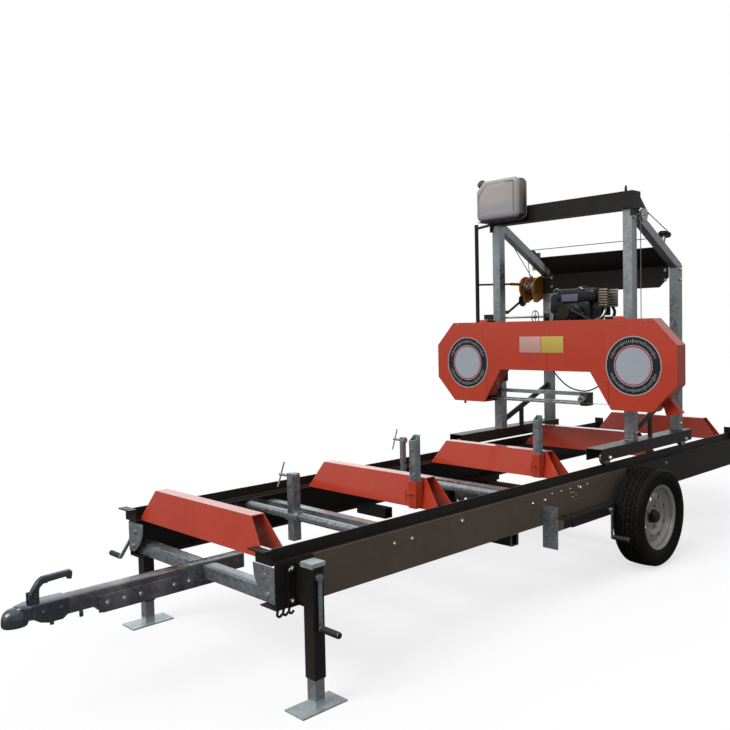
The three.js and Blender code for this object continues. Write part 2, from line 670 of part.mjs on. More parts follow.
// Cross members: a round clamp tube and a square tube with shared end plates
function crossMember() {
  const reach = RAIL_HALF_WIDTH - PLATE - SEAT_GAP;
  const middle = (CLAMP_TUBE_SETBACK + CROSS_TUBE_SETBACK) * HALF;
  const width = CROSS_TUBE_SETBACK - CLAMP_TUBE_SETBACK + CROSS_TUBE_SIZE;
  const top = RAIL_TOP - PLATE - SEAT_GAP;
  const plates = [NEAR, FAR].map((side) => block(around(middle, width),
    [side * (reach - PLATE), side * reach], [top - END_PLATE_HEIGHT, top]));
  const tubeEnd = reach - PLATE * HALF;
  const round = bar(point(CLAMP_TUBE_SETBACK, -tubeEnd, CLAMP_TUBE_HEIGHT),
    point(CLAMP_TUBE_SETBACK, tubeEnd, CLAMP_TUBE_HEIGHT), CLAMP_TUBE_DIAMETER);
  const bore = bar(point(CLAMP_TUBE_SETBACK, -reach - OVERRUN, CLAMP_TUBE_HEIGHT),
    point(CLAMP_TUBE_SETBACK, reach + OVERRUN, CLAMP_TUBE_HEIGHT),
    CLAMP_TUBE_DIAMETER - 2 * CLAMP_TUBE_WALL);
  const square = block(around(CROSS_TUBE_SETBACK, CROSS_TUBE_SIZE), [-tubeEnd, tubeEnd],
    around(CROSS_TUBE_HEIGHT, CROSS_TUBE_SIZE));
  const inside = block(around(CROSS_TUBE_SETBACK, CROSS_TUBE_SIZE - 2 * CLAMP_TUBE_WALL),
    [-reach - OVERRUN, reach + OVERRUN], around(CROSS_TUBE_HEIGHT, CROSS_TUBE_SIZE - 2 * CLAMP_TUBE_WALL));
  return cut(join(round, square, plates), bore, inside);
}

// Log clamp: a post with a sleeve that slides on the clamp tube, about the tube's axis
function clampPost(size, top) {
  const length = CLAMP_SLEEVE_LENGTH * HALF;
  const post = block(around(0, size), around(0, size), [-CLAMP_POST_BELOW, top]);
  const sleeve = bar(point(0, -length, 0), point(0, length, 0), CLAMP_SLEEVE_DIAMETER);
  const bore = bar(point(0, -length - OVERRUN, 0), point(0, length + OVERRUN, 0),
    CLAMP_TUBE_DIAMETER + SLIDE_GAP);
  const screwZ = top - CLAMP_SCREW_DROP;
  const nut = bar(point(0, -length, screwZ), point(0, length, screwZ), CLAMP_SCREW_DIAMETER + SLIDE_GAP);
  return cut(join(post, sleeve), bore, nut);
}

function clampScrew(size, length) {
  const pad = -size * HALF - SLIDE_GAP;
  const end = pad - CLAMP_PAD_THICKNESS + length;
  const rod = bar(point(0, pad - BITE, 0), point(0, end, 0), CLAMP_SCREW_DIAMETER, BOLT_SIDES * 2);
  const disc = bar(point(0, pad - CLAMP_PAD_THICKNESS, 0), point(0, pad, 0), CLAMP_PAD_DIAMETER);
  const lean = point(Math.sin(CLAMP_BAR_SLANT), 0, Math.cos(CLAMP_BAR_SLANT));
  const barY = point(0, end - CLAMP_BAR_DIAMETER, 0);
  const tee = bar(barY.clone().addScaledVector(lean, -CLAMP_BAR_LENGTH * HALF),
    barY.clone().addScaledVector(lean, CLAMP_BAR_LENGTH * HALF), CLAMP_BAR_DIAMETER, BOLT_SIDES + 2);
  return join(rod, disc, tee);
}

// Parking jack: the leg with its foot, and the side crank
function jackLeg() {
  const legSize = JACK_TUBE - 2 * SHEET - 2 * SEAT_GAP;
  const leg = hollow([around(0, legSize), around(0, legSize), [PLATE - BITE, JACK_LEG_TOP]], SHEET, 2);
  const foot = block(around(0, JACK_FOOT_LENGTH), around(0, JACK_FOOT_WIDTH), [0, PLATE]);
  return join(leg, foot);
}

function jackCrank(side, angle, length) {
  const arm = point(-Math.sin(angle), 0, -Math.cos(angle));
  const across = point(Math.cos(angle), 0, -Math.sin(angle)).multiplyScalar(JACK_CRANK_WIDTH * HALF);
  const end = arm.clone().multiplyScalar(length);
  const corners = [across.clone(), end.clone().add(across), end.clone().sub(across), across.clone().negate()];
  const outer = JACK_HUB_LENGTH;
  const armSolid = alongY(corners.map((each) => [each.x, each.z]),
    side * (outer - JACK_CRANK_THICKNESS), side * outer);
  const hub = bar(point(0, 0, 0), point(0, side * outer, 0), JACK_HUB_DIAMETER);
  const gripPlace = arm.clone().multiplyScalar(length - JACK_CRANK_WIDTH * HALF);
  const gripStart = gripPlace.clone().add(point(0, side * (outer - BITE), 0));
  const gripEnd = gripPlace.clone().add(point(0, side * (outer + JACK_GRIP_LENGTH), 0));
  return join(hub, armSolid, bar(gripStart, gripEnd, JACK_GRIP_DIAMETER, BOLT_SIDES * 2));
}

// Swing jack: the whole jack lies along the rail, about its pivot
function swingJack() {
  const footPlace = -SWING_FOOT_REACH;
  const tubeStart = footPlace + PLATE + SWING_LEG_SHOWN;
  const tubeEnd = tubeStart + JACK_TUBE_TOP - JACK_TUBE_BOTTOM;
  const legSize = JACK_TUBE - 2 * SHEET;
  const foot = block([footPlace, footPlace + PLATE], around(0, SWING_FOOT_WIDTH),
    around(0, JACK_FOOT_LENGTH));
  const leg = block([footPlace + PLATE - BITE, tubeStart + OVERRUN], around(0, legSize), around(0, legSize));
  const tube = block([tubeStart, tubeEnd], around(0, JACK_TUBE), around(0, JACK_TUBE));
  const cap = block([tubeEnd - BITE, tubeEnd + JACK_CAP_HEIGHT], around(0, JACK_TUBE), around(0, JACK_CAP));
  const crankPlace = tubeEnd - (JACK_TUBE_TOP - JACK_CRANK_HEIGHT);
  const crank = jackCrank(NEAR, 0, SWING_CRANK_ARM).translate([crankPlace, -JACK_TUBE * HALF, 0]);
  const pinHole = bar(point(0, JACK_TUBE, 0), point(0, JACK_TUBE * HALF - SHEET - SEAT_GAP, 0),
    SWING_PIN_DIAMETER + SLIDE_GAP);
  return cut(join(foot, leg, tube, cap, crank), pinHole);
}

// Axle and road wheels
function axle() {
  const hubHeight = WHEEL_DIAMETER * HALF;
  const wheelPlace = (OVERALL_WIDTH - TYRE_WIDTH) * HALF;
  const tubeTop = hubHeight + AXLE_TUBE;
  const tubeHalf = RAIL_HALF_WIDTH - PLATE;
  const tube = block(around(AXLE_PLACE, AXLE_TUBE), [-tubeHalf, tubeHalf], [hubHeight, tubeTop]);
  const ends = [NEAR, FAR].flatMap((side) => [
    block(around(AXLE_PLACE, AXLE_TUBE + PLATE),
      [side * (tubeHalf - BITE), side * (tubeHalf + AXLE_END_PLATE)],
      [hubHeight - AXLE_TUBE * HALF, tubeTop]),
    bar(point(AXLE_PLACE, side * tubeHalf, hubHeight),
      point(AXLE_PLACE, side * (wheelPlace + RIM_DISC_SHIFT), hubHeight), STUB_DIAMETER),
    block(around(AXLE_PLACE, AXLE_BRACKET_LENGTH), [side * RAIL_INNER, side * (RAIL_HALF_WIDTH - PLATE)],
      [tubeTop - BITE, RAIL_BOTTOM - SEAT_GAP]),
  ]);
  return join(tube, ends);
}

function tyre(group, name, side) {
  const outer = WHEEL_DIAMETER * HALF;
  const bead = RIM_DIAMETER * HALF;
  const half = TYRE_WIDTH * HALF;
  const seat = bead - RIM_FLANGE;
  const beadHalf = RIM_WIDTH * HALF - RIM_GAUGE;
  const right = [
    [seat, beadHalf], [bead + SEAT_GAP, beadHalf], [bead + PLATE, half - TYRE_SHOULDER],
    [(bead + outer) * HALF, half], [outer - TYRE_SHOULDER, half - PLATE],
    [outer - PLATE, half - TYRE_SHOULDER], [outer, half - 2 * TYRE_SHOULDER],
    [outer, TYRE_GROOVE * 2], [outer - TYRE_GROOVE, TYRE_GROOVE * 2 - PLATE * HALF],
    [outer - TYRE_GROOVE, TYRE_GROOVE], [outer, TYRE_GROOVE - PLATE * HALF],
  ];
  const left = right.map(([radius, place]) => [radius, -place]).reverse();
  const profile = [...right, ...left, right[0]];
  const centre = point(0, 0, 0);
  const solid = turned(profile, point(0, 1, 0), centre, FINE_SIDES);
  const mesh = piece(group, name, solid, RUBBER);
  mesh.position.set(AXLE_PLACE, side * (OVERALL_WIDTH - TYRE_WIDTH) * HALF, WHEEL_DIAMETER * HALF);
}

function rim(group, name, side) {
  const flange = RIM_DIAMETER * HALF;
  const seat = flange - RIM_FLANGE - SEAT_GAP;
  const well = RIM_WELL_DIAMETER * HALF;
  const edge = RIM_WIDTH * HALF;
  const slopes = [
    [flange, edge], [flange, edge - RIM_GAUGE + SEAT_GAP], [seat, edge - RIM_GAUGE + SEAT_GAP],
    [seat, well * HALF * HALF], [well, well * HALF * HALF - RIM_FLANGE],
  ];
  const outside = [...slopes, ...slopes.map(([radius, place]) => [radius, -place]).reverse()];
  const inside = [[flange - RIM_GAUGE, -edge], [seat - RIM_GAUGE, 2 * RIM_GAUGE - edge],
    [seat - RIM_GAUGE, -well * HALF * HALF], [well - RIM_GAUGE, RIM_FLANGE - well * HALF * HALF]];
  const inner = [...inside, ...inside.map(([radius, place]) => [radius, -place]).reverse()];
  const along = point(0, side, 0);
  const barrel = turned([...outside, ...inner, outside[0]], along, point(0, 0, 0), FINE_SIDES);
  const disc = turned([
    [0, RIM_DISC_SHIFT], [well - BITE, RIM_DISC_SHIFT], [well - BITE, RIM_DISC_SHIFT + RIM_GAUGE],
    [HUB_DIAMETER * HALF, RIM_DISC_SHIFT + RIM_GAUGE], [HUB_DIAMETER * HALF, RIM_DISC_SHIFT + HUB_REACH],
    [HUB_DIAMETER * HALF - PLATE, RIM_DISC_SHIFT + HUB_REACH + PLATE],
    [0, RIM_DISC_SHIFT + HUB_REACH + PLATE], [0, RIM_DISC_SHIFT],
  ], along, point(0, 0, 0), FINE_SIDES);
  const backHub = bar(point(0, side * (RIM_DISC_SHIFT + BITE), 0),
    point(0, -side * HUB_REACH, 0), HUB_DIAMETER);
  const bore = bar(point(0, -side * (HUB_REACH + OVERRUN), 0),
    point(0, side * (RIM_DISC_SHIFT + BITE), 0), STUB_DIAMETER + 2 * SLIDE_GAP);
  const spots = (count, radius, turn) => Array.from({ length: count }, (_, i) => {
    const angle = ((i + turn) / count) * 2 * Math.PI;
    return [Math.cos(angle) * radius, Math.sin(angle) * radius];
  });
  const nuts = spots(RIM_NUTS, RIM_NUT_CIRCLE, 0).map(([x, z]) => bar(
    point(x, side * (RIM_DISC_SHIFT + BITE), z), point(x, side * (RIM_DISC_SHIFT + RIM_GAUGE + RIM_NUT), z),
    RIM_NUT, BOLT_SIDES));
  const slots = spots(RIM_SLOTS, RIM_SLOT_CIRCLE, HALF).map(([x, z]) => bar(
    point(x, side * (RIM_DISC_SHIFT - OVERRUN), z),
    point(x, side * (RIM_DISC_SHIFT + RIM_GAUGE + OVERRUN), z), RIM_SLOT_DIAMETER, BOLT_SIDES + 2));
  const mesh = piece(group, name, cut(join(barrel, disc, backHub, nuts), bore, slots), SILVER);
  mesh.position.set(AXLE_PLACE, side * (OVERALL_WIDTH - TYRE_WIDTH) * HALF, WHEEL_DIAMETER * HALF);
}

const leverPlace = DRAWBAR_FRONT + COUPLER_OVERLAP - COUPLER_LENGTH + COUPLER_CUP_DIAMETER + LEVER_WIDTH;

// Drawbar with its cross arm, shoe and ball coupler
function drawbar() {
  const half = DRAWBAR_TUBE * HALF;
  const bottom = DRAWBAR_TOP - DRAWBAR_TUBE;
  const armHalf = RAIL_HALF_WIDTH - PLATE - SEAT_GAP;
  const armLow = RAIL_BOTTOM + PLATE + SEAT_GAP;
  const tube = hollow([[DRAWBAR_FRONT, DRAWBAR_REAR], [-half, half], [bottom, DRAWBAR_TOP]], SHEET, 0);
  const arm = hollow([around(DRAWBAR_ARM_PLACE, DRAWBAR_ARM_TUBE), [-armHalf, armHalf],
    [armLow, armLow + DRAWBAR_ARM_TUBE]], SHEET, 1);
  const shoe = block([DRAWBAR_SHOE_FRONT, DRAWBAR_SHOE_REAR], around(0, DRAWBAR_TUBE - PLATE),
    [bottom - DRAWBAR_SHOE_DEPTH, bottom + BITE]);
  const boltAt = [DRAWBAR_SHOE_FRONT + DRAWBAR_TUBE, DRAWBAR_SHOE_FRONT * HALF, -DRAWBAR_TUBE];
  const bolts = boltAt.map((x) => bar(point(x, -half - PLATE, bottom + half),
    point(x, half + PLATE, bottom + half), DRAWBAR_BOLT, BOLT_SIDES));
  const nose = DRAWBAR_FRONT + COUPLER_OVERLAP - COUPLER_LENGTH;
  const ballPlace = nose + COUPLER_CUP_DIAMETER * HALF;
  const cupTop = DRAWBAR_TOP + PLATE;
  const cupLow = cupTop - COUPLER_CUP_HEIGHT;
  const cup = bar(point(ballPlace, 0, cupLow), point(ballPlace, 0, cupTop), COUPLER_CUP_DIAMETER);
  const neck = block([ballPlace, DRAWBAR_FRONT + BITE], around(0, COUPLER_NECK_WIDTH),
    [bottom + half * HALF, cupTop]);
  const saddle = cut(
    block([DRAWBAR_FRONT - COUPLER_NECK_WIDTH, DRAWBAR_FRONT + COUPLER_OVERLAP],
      around(0, DRAWBAR_TUBE + 2 * PLATE), [bottom + PLATE, cupTop]),
    block([DRAWBAR_FRONT - COUPLER_NECK_WIDTH - OVERRUN, DRAWBAR_FRONT - OVERRUN],
      around(0, DRAWBAR_TUBE), [bottom, cupTop - PLATE]));
  const cheeks = [NEAR, FAR].map((side) => block(around(leverPlace, LEVER_WIDTH),
    [side * (LEVER_WIDTH * HALF + SLIDE_GAP), side * (LEVER_WIDTH * HALF + SLIDE_GAP + SHEET)],
    [cupTop - BITE, COUPLER_TOP + LEVER_THICKNESS]));
  const pin = bar(point(leverPlace, -LEVER_WIDTH, COUPLER_TOP), point(leverPlace, LEVER_WIDTH, COUPLER_TOP),
    LEVER_PIN_DIAMETER);
  const socket = bar(point(ballPlace, 0, cupLow - OVERRUN),
    point(ballPlace, 0, cupTop - 2 * PLATE), COUPLER_BALL_DIAMETER);
  const tubeBore = block([DRAWBAR_FRONT - OVERRUN, DRAWBAR_REAR + OVERRUN],
    around(0, DRAWBAR_TUBE - 2 * SHEET), [bottom + SHEET, DRAWBAR_TOP - SHEET]);
  return cut(join(arm, shoe, bolts, cup, neck, saddle, cheeks, pin, tube), tubeBore, socket);
}

// The coupler's locking lever, about its pivot
function couplerLever() {
  const [half, thick] = [LEVER_WIDTH * HALF, LEVER_THICKNESS];
  const rise = LEVER_RISE;
  const bent = [
    [-thick, -thick * HALF], [thick, -thick * HALF], [LEVER_ELBOW, rise - thick],
    [LEVER_ELBOW + LEVER_LENGTH, rise - thick], [LEVER_ELBOW + LEVER_LENGTH, rise],
    [LEVER_ELBOW - thick, rise],
  ];
  const bore = bar(point(0, -half - OVERRUN, 0), point(0, half + OVERRUN, 0), LEVER_PIN_DIAMETER + SLIDE_GAP);
  return cut(alongY(bent, -half, half), bore);
}

// Carriage side frame: roller beam, gusset, posts and the slope brace
function sideFrame(side) {
  const middle = side * POST_MIDDLE;
  const outer = side * RAIL_HALF_WIDTH;
  const inner = side * (RAIL_HALF_WIDTH - BEAM_WIDTH);
  const post = (x, top) => hollow([around(x, POST_SIZE), around(middle, POST_SIZE), [BEAM_TOP - BITE, top]],
    POST_WALL, 2);
  const beam = cut(block([BEAM_FRONT, BEAM_REAR], [inner, outer], [BEAM_BOTTOM, BEAM_TOP]),
    block([BEAM_FRONT - OVERRUN, BEAM_REAR + OVERRUN],
      [side * (RAIL_HALF_WIDTH - SHEET), side * (RAIL_HALF_WIDTH - BEAM_WIDTH + SHEET)],
      [BEAM_BOTTOM - OVERRUN, BEAM_TOP - SHEET]));
  const pins = rollerPlaces().map((x) => bar(point(x, inner, ROLLER_HEIGHT), point(x, outer, ROLLER_HEIGHT),
    ROLLER_PIN_DIAMETER));
  const [postFace, rearFace] = [POST_SIZE * HALF, REAR_POST_SETBACK - POST_SIZE * HALF];
  const width = [middle - GUSSET_WIDTH * HALF, middle + GUSSET_WIDTH * HALF];
  const gusset = alongY([
    [postFace - BITE, GUSSET_LOW], [rearFace + BITE, GUSSET_HIGH],
    [rearFace + BITE, GUSSET_HIGH - GUSSET_DEPTH], [postFace - BITE, GUSSET_LOW - GUSSET_DEPTH],
  ], ...width);
  const strutTop = GUSSET_LOW + ((GUSSET_HIGH - GUSSET_LOW) * GUSSET_STRUT_PLACE) / rearFace;
  const strut = block(around(GUSSET_STRUT_PLACE, GUSSET_DEPTH), width,
    [BEAM_TOP - BITE, strutTop - GUSSET_DEPTH * HALF]);
  const beamEdge = TOP_BEAM_DEPTH * HALF + SEAT_GAP;
  const rearEnd = REAR_POST_SETBACK + POST_SIZE * HALF;
  const brace = alongY([
    [postFace - BITE, slopeTop(postFace) - SLOPE_DEPTH], [rearEnd, slopeTop(rearEnd) - SLOPE_DEPTH],
    [rearEnd, slopeTop(rearEnd)], [beamEdge, slopeTop(beamEdge)],
    [beamEdge, FRONT_POST_TOP - SEAT_GAP], [postFace - BITE, FRONT_POST_TOP - SEAT_GAP],
  ], middle - SLOPE_TUBE * HALF, middle + SLOPE_TUBE * HALF);
  return join(beam, pins, post(0, FRONT_POST_TOP), post(REAR_POST_SETBACK, REAR_POST_TOP), gusset, strut,
    brace, sheavePins(side));
}

const ROLLER_HEIGHT = TRACK_TOP + ROLLER_RADIUS + SEAT_GAP;
const rollerPlaces = () => [BEAM_FRONT + ROLLER_SETBACK, BEAM_REAR - ROLLER_SETBACK];
const slopeTop = (x) => SLOPE_FRONT_TOP - ((SLOPE_FRONT_TOP - SLOPE_REAR_TOP) * x) / REAR_POST_SETBACK;

// Cable layout: a rope from each side of the head runs over a top sheave; the near one crosses
// over two brace sheaves, and both wind on the one drum
const ROPE_RADIUS = SHEAVE_RADIUS - SHEAVE_GROOVE + CABLE_DIAMETER * HALF + SEAT_GAP;
const DRUM_ROPE_RADIUS = DRUM_RADIUS + CABLE_DIAMETER * HALF + 2 * SLIDE_GAP;
const PANEL_REAR = REAR_POST_SETBACK - POST_SIZE * HALF - SEAT_GAP;
const PANEL_FACE = PANEL_REAR - PANEL_SHEET;
const DRUM_AXIS = point(PANEL_FACE - DRUM_SETBACK, 0, WINCH_HEIGHT);
const topSheave = (side) => point(TOP_SHEAVE_SETBACK, side * SHEAVE_OUTREACH, TOP_SHEAVE_HEIGHT);

// The near run lies in a plane that leans down to the rear from the top sheave.
const leanDistance = Math.hypot(BRACE_SHEAVE_SETBACK - TOP_SHEAVE_SETBACK,
  TOP_SHEAVE_HEIGHT - BRACE_SHEAVE_HEIGHT);
const RUN_LEAN = Math.asin(ROPE_RADIUS / leanDistance)
  + Math.atan2(TOP_SHEAVE_HEIGHT - BRACE_SHEAVE_HEIGHT, BRACE_SHEAVE_SETBACK - TOP_SHEAVE_SETBACK);
const RUN_DOWN = point(Math.cos(RUN_LEAN), 0, -Math.sin(RUN_LEAN));
const RUN_NORMAL = point(Math.sin(RUN_LEAN), 0, Math.cos(RUN_LEAN));
const NEAR_BRACE_SHEAVE = point(BRACE_SHEAVE_SETBACK, ROPE_RADIUS - SHEAVE_OUTREACH, BRACE_SHEAVE_HEIGHT);
const CROSSING = NEAR_BRACE_SHEAVE.clone().addScaledVector(RUN_DOWN, ROPE_RADIUS);

// The crossing rope turns down over an upright sheave to the rear side of the drum.
const dropX = DRUM_AXIS.x - CROSSING.x;
const dropZ = CROSSING.z - DRUM_AXIS.z;
const DROP_LEAN = Math.atan2(dropX, dropZ) + Math.asin(DRUM_ROPE_RADIUS / Math.hypot(dropX, dropZ));
const DROP_DOWN = point(Math.sin(DROP_LEAN), 0, -Math.cos(DROP_LEAN));
const DROP_AXIS = point(Math.cos(DROP_LEAN), 0, Math.sin(DROP_LEAN));
const FAR_BRACE_SHEAVE = point(CROSSING.x, TURNING_SHEAVE_PLACE, CROSSING.z)
  .addScaledVector(DROP_DOWN, ROPE_RADIUS);

function sheavePins(side) {
  const braceFace = side * (POST_MIDDLE + SLOPE_TUBE * HALF - BITE);
  const pinHalf = SHEAVE_WIDTH * HALF + PLATE;
  const top = topSheave(side);
  const topPin = bar(point(top.x, braceFace, top.z), point(top.x, top.y + side * pinHalf, top.z), SHEAVE_BORE,
    BOLT_SIDES * 2);
  if (side === NEAR) {
    const foot = NEAR_BRACE_SHEAVE.clone().addScaledVector(RUN_NORMAL, -SHEAVE_PEDESTAL);
    const seat = NEAR_BRACE_SHEAVE.clone().addScaledVector(RUN_NORMAL, -SHEAVE_WIDTH * HALF - SLIDE_GAP);
    const head = NEAR_BRACE_SHEAVE.clone().addScaledVector(RUN_NORMAL, pinHalf);
    return join(topPin, bar(foot, seat, SHEAVE_BORE * 2, BOLT_SIDES * 2),
      bar(foot, head, SHEAVE_BORE, BOLT_SIDES * 2));
  }
  const rear = FAR_BRACE_SHEAVE.clone().addScaledVector(DROP_AXIS, pinHalf + SHEAVE_WIDTH);
  const front = FAR_BRACE_SHEAVE.clone().addScaledVector(DROP_AXIS, -pinHalf);
  const plate = block([rear.x - PLATE, rear.x], [braceFace - SLOPE_TUBE * HALF, rear.y + SHEAVE_BORE],
    [slopeTop(rear.x) - SLOPE_TUBE, rear.z + SHEAVE_BORE]);
  return join(topPin, bar(front, rear, SHEAVE_BORE, BOLT_SIDES * 2), plate);
}

function sheave(axis, centre) {
  const [half, lip, floor] = [SHEAVE_WIDTH * HALF, SHEAVE_GROOVE, CABLE_DIAMETER * HALF + SEAT_GAP];
  const bore = (SHEAVE_BORE + SLIDE_GAP) * HALF;
  const profile = [
    [bore, -half], [SHEAVE_RADIUS, -half], [SHEAVE_RADIUS, -lip], [SHEAVE_RADIUS - SHEAVE_GROOVE, -floor],
    [SHEAVE_RADIUS - SHEAVE_GROOVE, floor], [SHEAVE_RADIUS, lip], [SHEAVE_RADIUS, half], [bore, half],
    [bore, -half],
  ];
  return turned(profile, axis, centre);
}

// Turns on the drum, from an angle and a place along it.
function winding(angle, place, stepY, extra) {
  const turn = CABLE_TURNS * 2 * Math.PI + extra;
  const steps = Math.ceil((turn / (2 * Math.PI)) * CABLE_STEPS_A_TURN);
  return Array.from({ length: steps + 1 }, (_, i) => {
    const now = angle - (turn * i) / steps;
    const along = place + (stepY * (turn * i)) / steps / (2 * Math.PI);
    return point(DRUM_AXIS.x + Math.cos(now) * DRUM_ROPE_RADIUS, along,
      DRUM_AXIS.z + Math.sin(now) * DRUM_ROPE_RADIUS);
  });
}

const X_WAY = point(1, 0, 0);
const Y_WAY = point(0, 1, 0);
const Z_WAY = point(0, 0, 1);

function liftCable() {
  const farTop = topSheave(FAR);
  const nearTop = topSheave(NEAR);
  const run = Math.hypot(DRUM_AXIS.x - farTop.x, farTop.z - DRUM_AXIS.z);
  const farLean = Math.atan2(farTop.z - DRUM_AXIS.z, DRUM_AXIS.x - farTop.x)
    + Math.asin((ROPE_RADIUS - DRUM_ROPE_RADIUS) / run);
  const farAngle = QUARTER_TURN - farLean;
  const nearAngle = DROP_LEAN;
  const overTop = (centre, end) => arc(centre, X_WAY, Z_WAY, ROPE_RADIUS, Math.PI, end, CABLE_ARC_STEPS);
  const farRope = [...overTop(farTop, farAngle),
    ...winding(farAngle, SHEAVE_OUTREACH, CABLE_PITCH, farAngle - nearAngle)];
  const leaving = TURNING_SHEAVE_PLACE + ROPE_RADIUS;
  const nearRope = [
    ...overTop(nearTop, QUARTER_TURN - RUN_LEAN),
    ...arc(NEAR_BRACE_SHEAVE, Y_WAY, RUN_DOWN, ROPE_RADIUS, Math.PI, QUARTER_TURN, CABLE_ARC_STEPS),
    ...arc(FAR_BRACE_SHEAVE, Y_WAY, DROP_DOWN, ROPE_RADIUS, -QUARTER_TURN, 0, CABLE_ARC_STEPS),
    ...winding(nearAngle, leaving, -CABLE_PITCH, 0),
  ];
  const farEnd = farRope.at(-1);
  const nearEnd = nearRope.at(-1);
  const clampX = [farEnd.x - BITE, farEnd.x + CABLE_DIAMETER];
  const clamp = block(clampX, [farEnd.y - BITE, nearEnd.y + BITE], around(farEnd.z, CABLE_DIAMETER));
  const least = CABLE_PITCH - CABLE_DIAMETER;
  console.log(`least gap between the turns on the drum ${least.toFixed(2)} mm`);
  return join(rope(farRope, CABLE_DIAMETER, CABLE_SIDES), rope(nearRope, CABLE_DIAMETER, CABLE_SIDES), clamp);
}

function cableDrop(side) {
  const place = TOP_SHEAVE_SETBACK - ROPE_RADIUS;
  return bar(point(place, side * SHEAVE_OUTREACH, SLEEVE_TOP + SEAT_GAP),
    point(place, side * SHEAVE_OUTREACH, TOP_SHEAVE_HEIGHT - SEAT_GAP), CABLE_DIAMETER, CABLE_SIDES);
}

// Winch: side plates with a gear housing, the drum and the crank
function winchFrame() {
  const outline = WINCH_SHAPE_SHARES.map(([x, z]) => [
    DRUM_AXIS.x + x * WINCH_GEAR_RADIUS, DRUM_AXIS.z + z * WINCH_GEAR_RADIUS,
  ]);
  const [nearFace, farFace] = [WINCH_PLACE - WINCH_WIDTH * HALF, WINCH_PLACE + WINCH_WIDTH * HALF];
  const base = block([PANEL_FACE - SEAT_GAP - PLATE, PANEL_FACE - SEAT_GAP], [nearFace, farFace],
    around(WINCH_HEIGHT - PLATE, WINCH_GEAR_RADIUS * 2));
  const housing = bar(point(DRUM_AXIS.x, farFace - BITE, DRUM_AXIS.z),
    point(DRUM_AXIS.x, farFace + WINCH_HOUSING, DRUM_AXIS.z), WINCH_GEAR_RADIUS * 2, FINE_SIDES);
  const pin = bar(point(DRUM_AXIS.x, nearFace, DRUM_AXIS.z), point(DRUM_AXIS.x, farFace, DRUM_AXIS.z),
    CRANK_SHAFT_DIAMETER);
  const shaft = crankPlace();
  const boss = bar(point(shaft.x, farFace - BITE, shaft.z), point(shaft.x, farFace + WINCH_HOUSING, shaft.z),
    CRANK_SHAFT_DIAMETER * 2);
  const bore = bar(point(shaft.x, farFace - WINCH_SIDE - OVERRUN, shaft.z),
    point(shaft.x, farFace + WINCH_HOUSING + OVERRUN, shaft.z), CRANK_SHAFT_DIAMETER + SLIDE_GAP);
  const lugFront = DRUM_AXIS.x - WINCH_GEAR_RADIUS * WINCH_LUG_SHARE;
  const lug = block([lugFront, DRUM_AXIS.x - WINCH_GEAR_RADIUS * HALF], [farFace - WINCH_SIDE, farFace],
    around(SCALE_ARM_HEIGHT, SCALE_BAR));
  return cut(join(base, alongY(outline, nearFace, nearFace + WINCH_SIDE),
    alongY(outline, farFace - WINCH_SIDE, farFace), housing, boss, pin, lug), bore);
}

const crankPlace = () => point(DRUM_AXIS.x + WINCH_SHAFT_SHIFT[0], 0, DRUM_AXIS.z + WINCH_SHAFT_SHIFT[1]);

function winchDrum() {
  const half = WINCH_WIDTH * HALF - WINCH_SIDE - SLIDE_GAP;
  const bore = (CRANK_SHAFT_DIAMETER + SLIDE_GAP) * HALF;
  return turned([
    [bore, -half], [DRUM_FLANGE_RADIUS, -half], [DRUM_FLANGE_RADIUS, DRUM_FLANGE - half],
    [DRUM_RADIUS, DRUM_FLANGE - half], [DRUM_RADIUS, half - DRUM_FLANGE],
    [DRUM_FLANGE_RADIUS, half - DRUM_FLANGE], [DRUM_FLANGE_RADIUS, half], [bore, half], [bore, -half],
  ], Y_WAY, point(DRUM_AXIS.x, WINCH_PLACE, DRUM_AXIS.z));
}

function winchCrank() {
  const face = WINCH_PLACE + WINCH_WIDTH * HALF + WINCH_HOUSING + CRANK_STANDOFF;
  const shaft = crankPlace();
  const arm = point(-Math.sin(CRANK_ANGLE), 0, -Math.cos(CRANK_ANGLE));
  const across = point(-arm.z, 0, arm.x).multiplyScalar(CRANK_SHAFT_DIAMETER * HALF);
  const end = shaft.clone().addScaledVector(arm, CRANK_ARM);
  const start = shaft.clone().addScaledVector(arm, -CRANK_SHAFT_DIAMETER);
  const corners = [start.clone().add(across), end.clone().add(across), end.clone().sub(across),
    start.clone().sub(across)];
  const plate = alongY(corners.map((each) => [each.x, each.z]), face, face + WINCH_SIDE);
  const rod = bar(point(shaft.x, WINCH_PLACE + WINCH_WIDTH * HALF - WINCH_SIDE + BITE, shaft.z),
    point(shaft.x, face + WINCH_SIDE, shaft.z), CRANK_SHAFT_DIAMETER);
  const grip = shaft.clone().addScaledVector(arm, CRANK_ARM - CRANK_SHAFT_DIAMETER);
  const handle = bar(point(grip.x, face + WINCH_SIDE - BITE, grip.z),
    point(grip.x, face + WINCH_SIDE + CRANK_GRIP_LENGTH, grip.z), CRANK_GRIP_DIAMETER, BOLT_SIDES * 2);
  const brake = bar(point(shaft.x, face - WINCH_SIDE, shaft.z), point(shaft.x, face + BITE, shaft.z),
    WINCH_BRAKE_DIAMETER);
  return join(plate, rod, handle, brake);
}

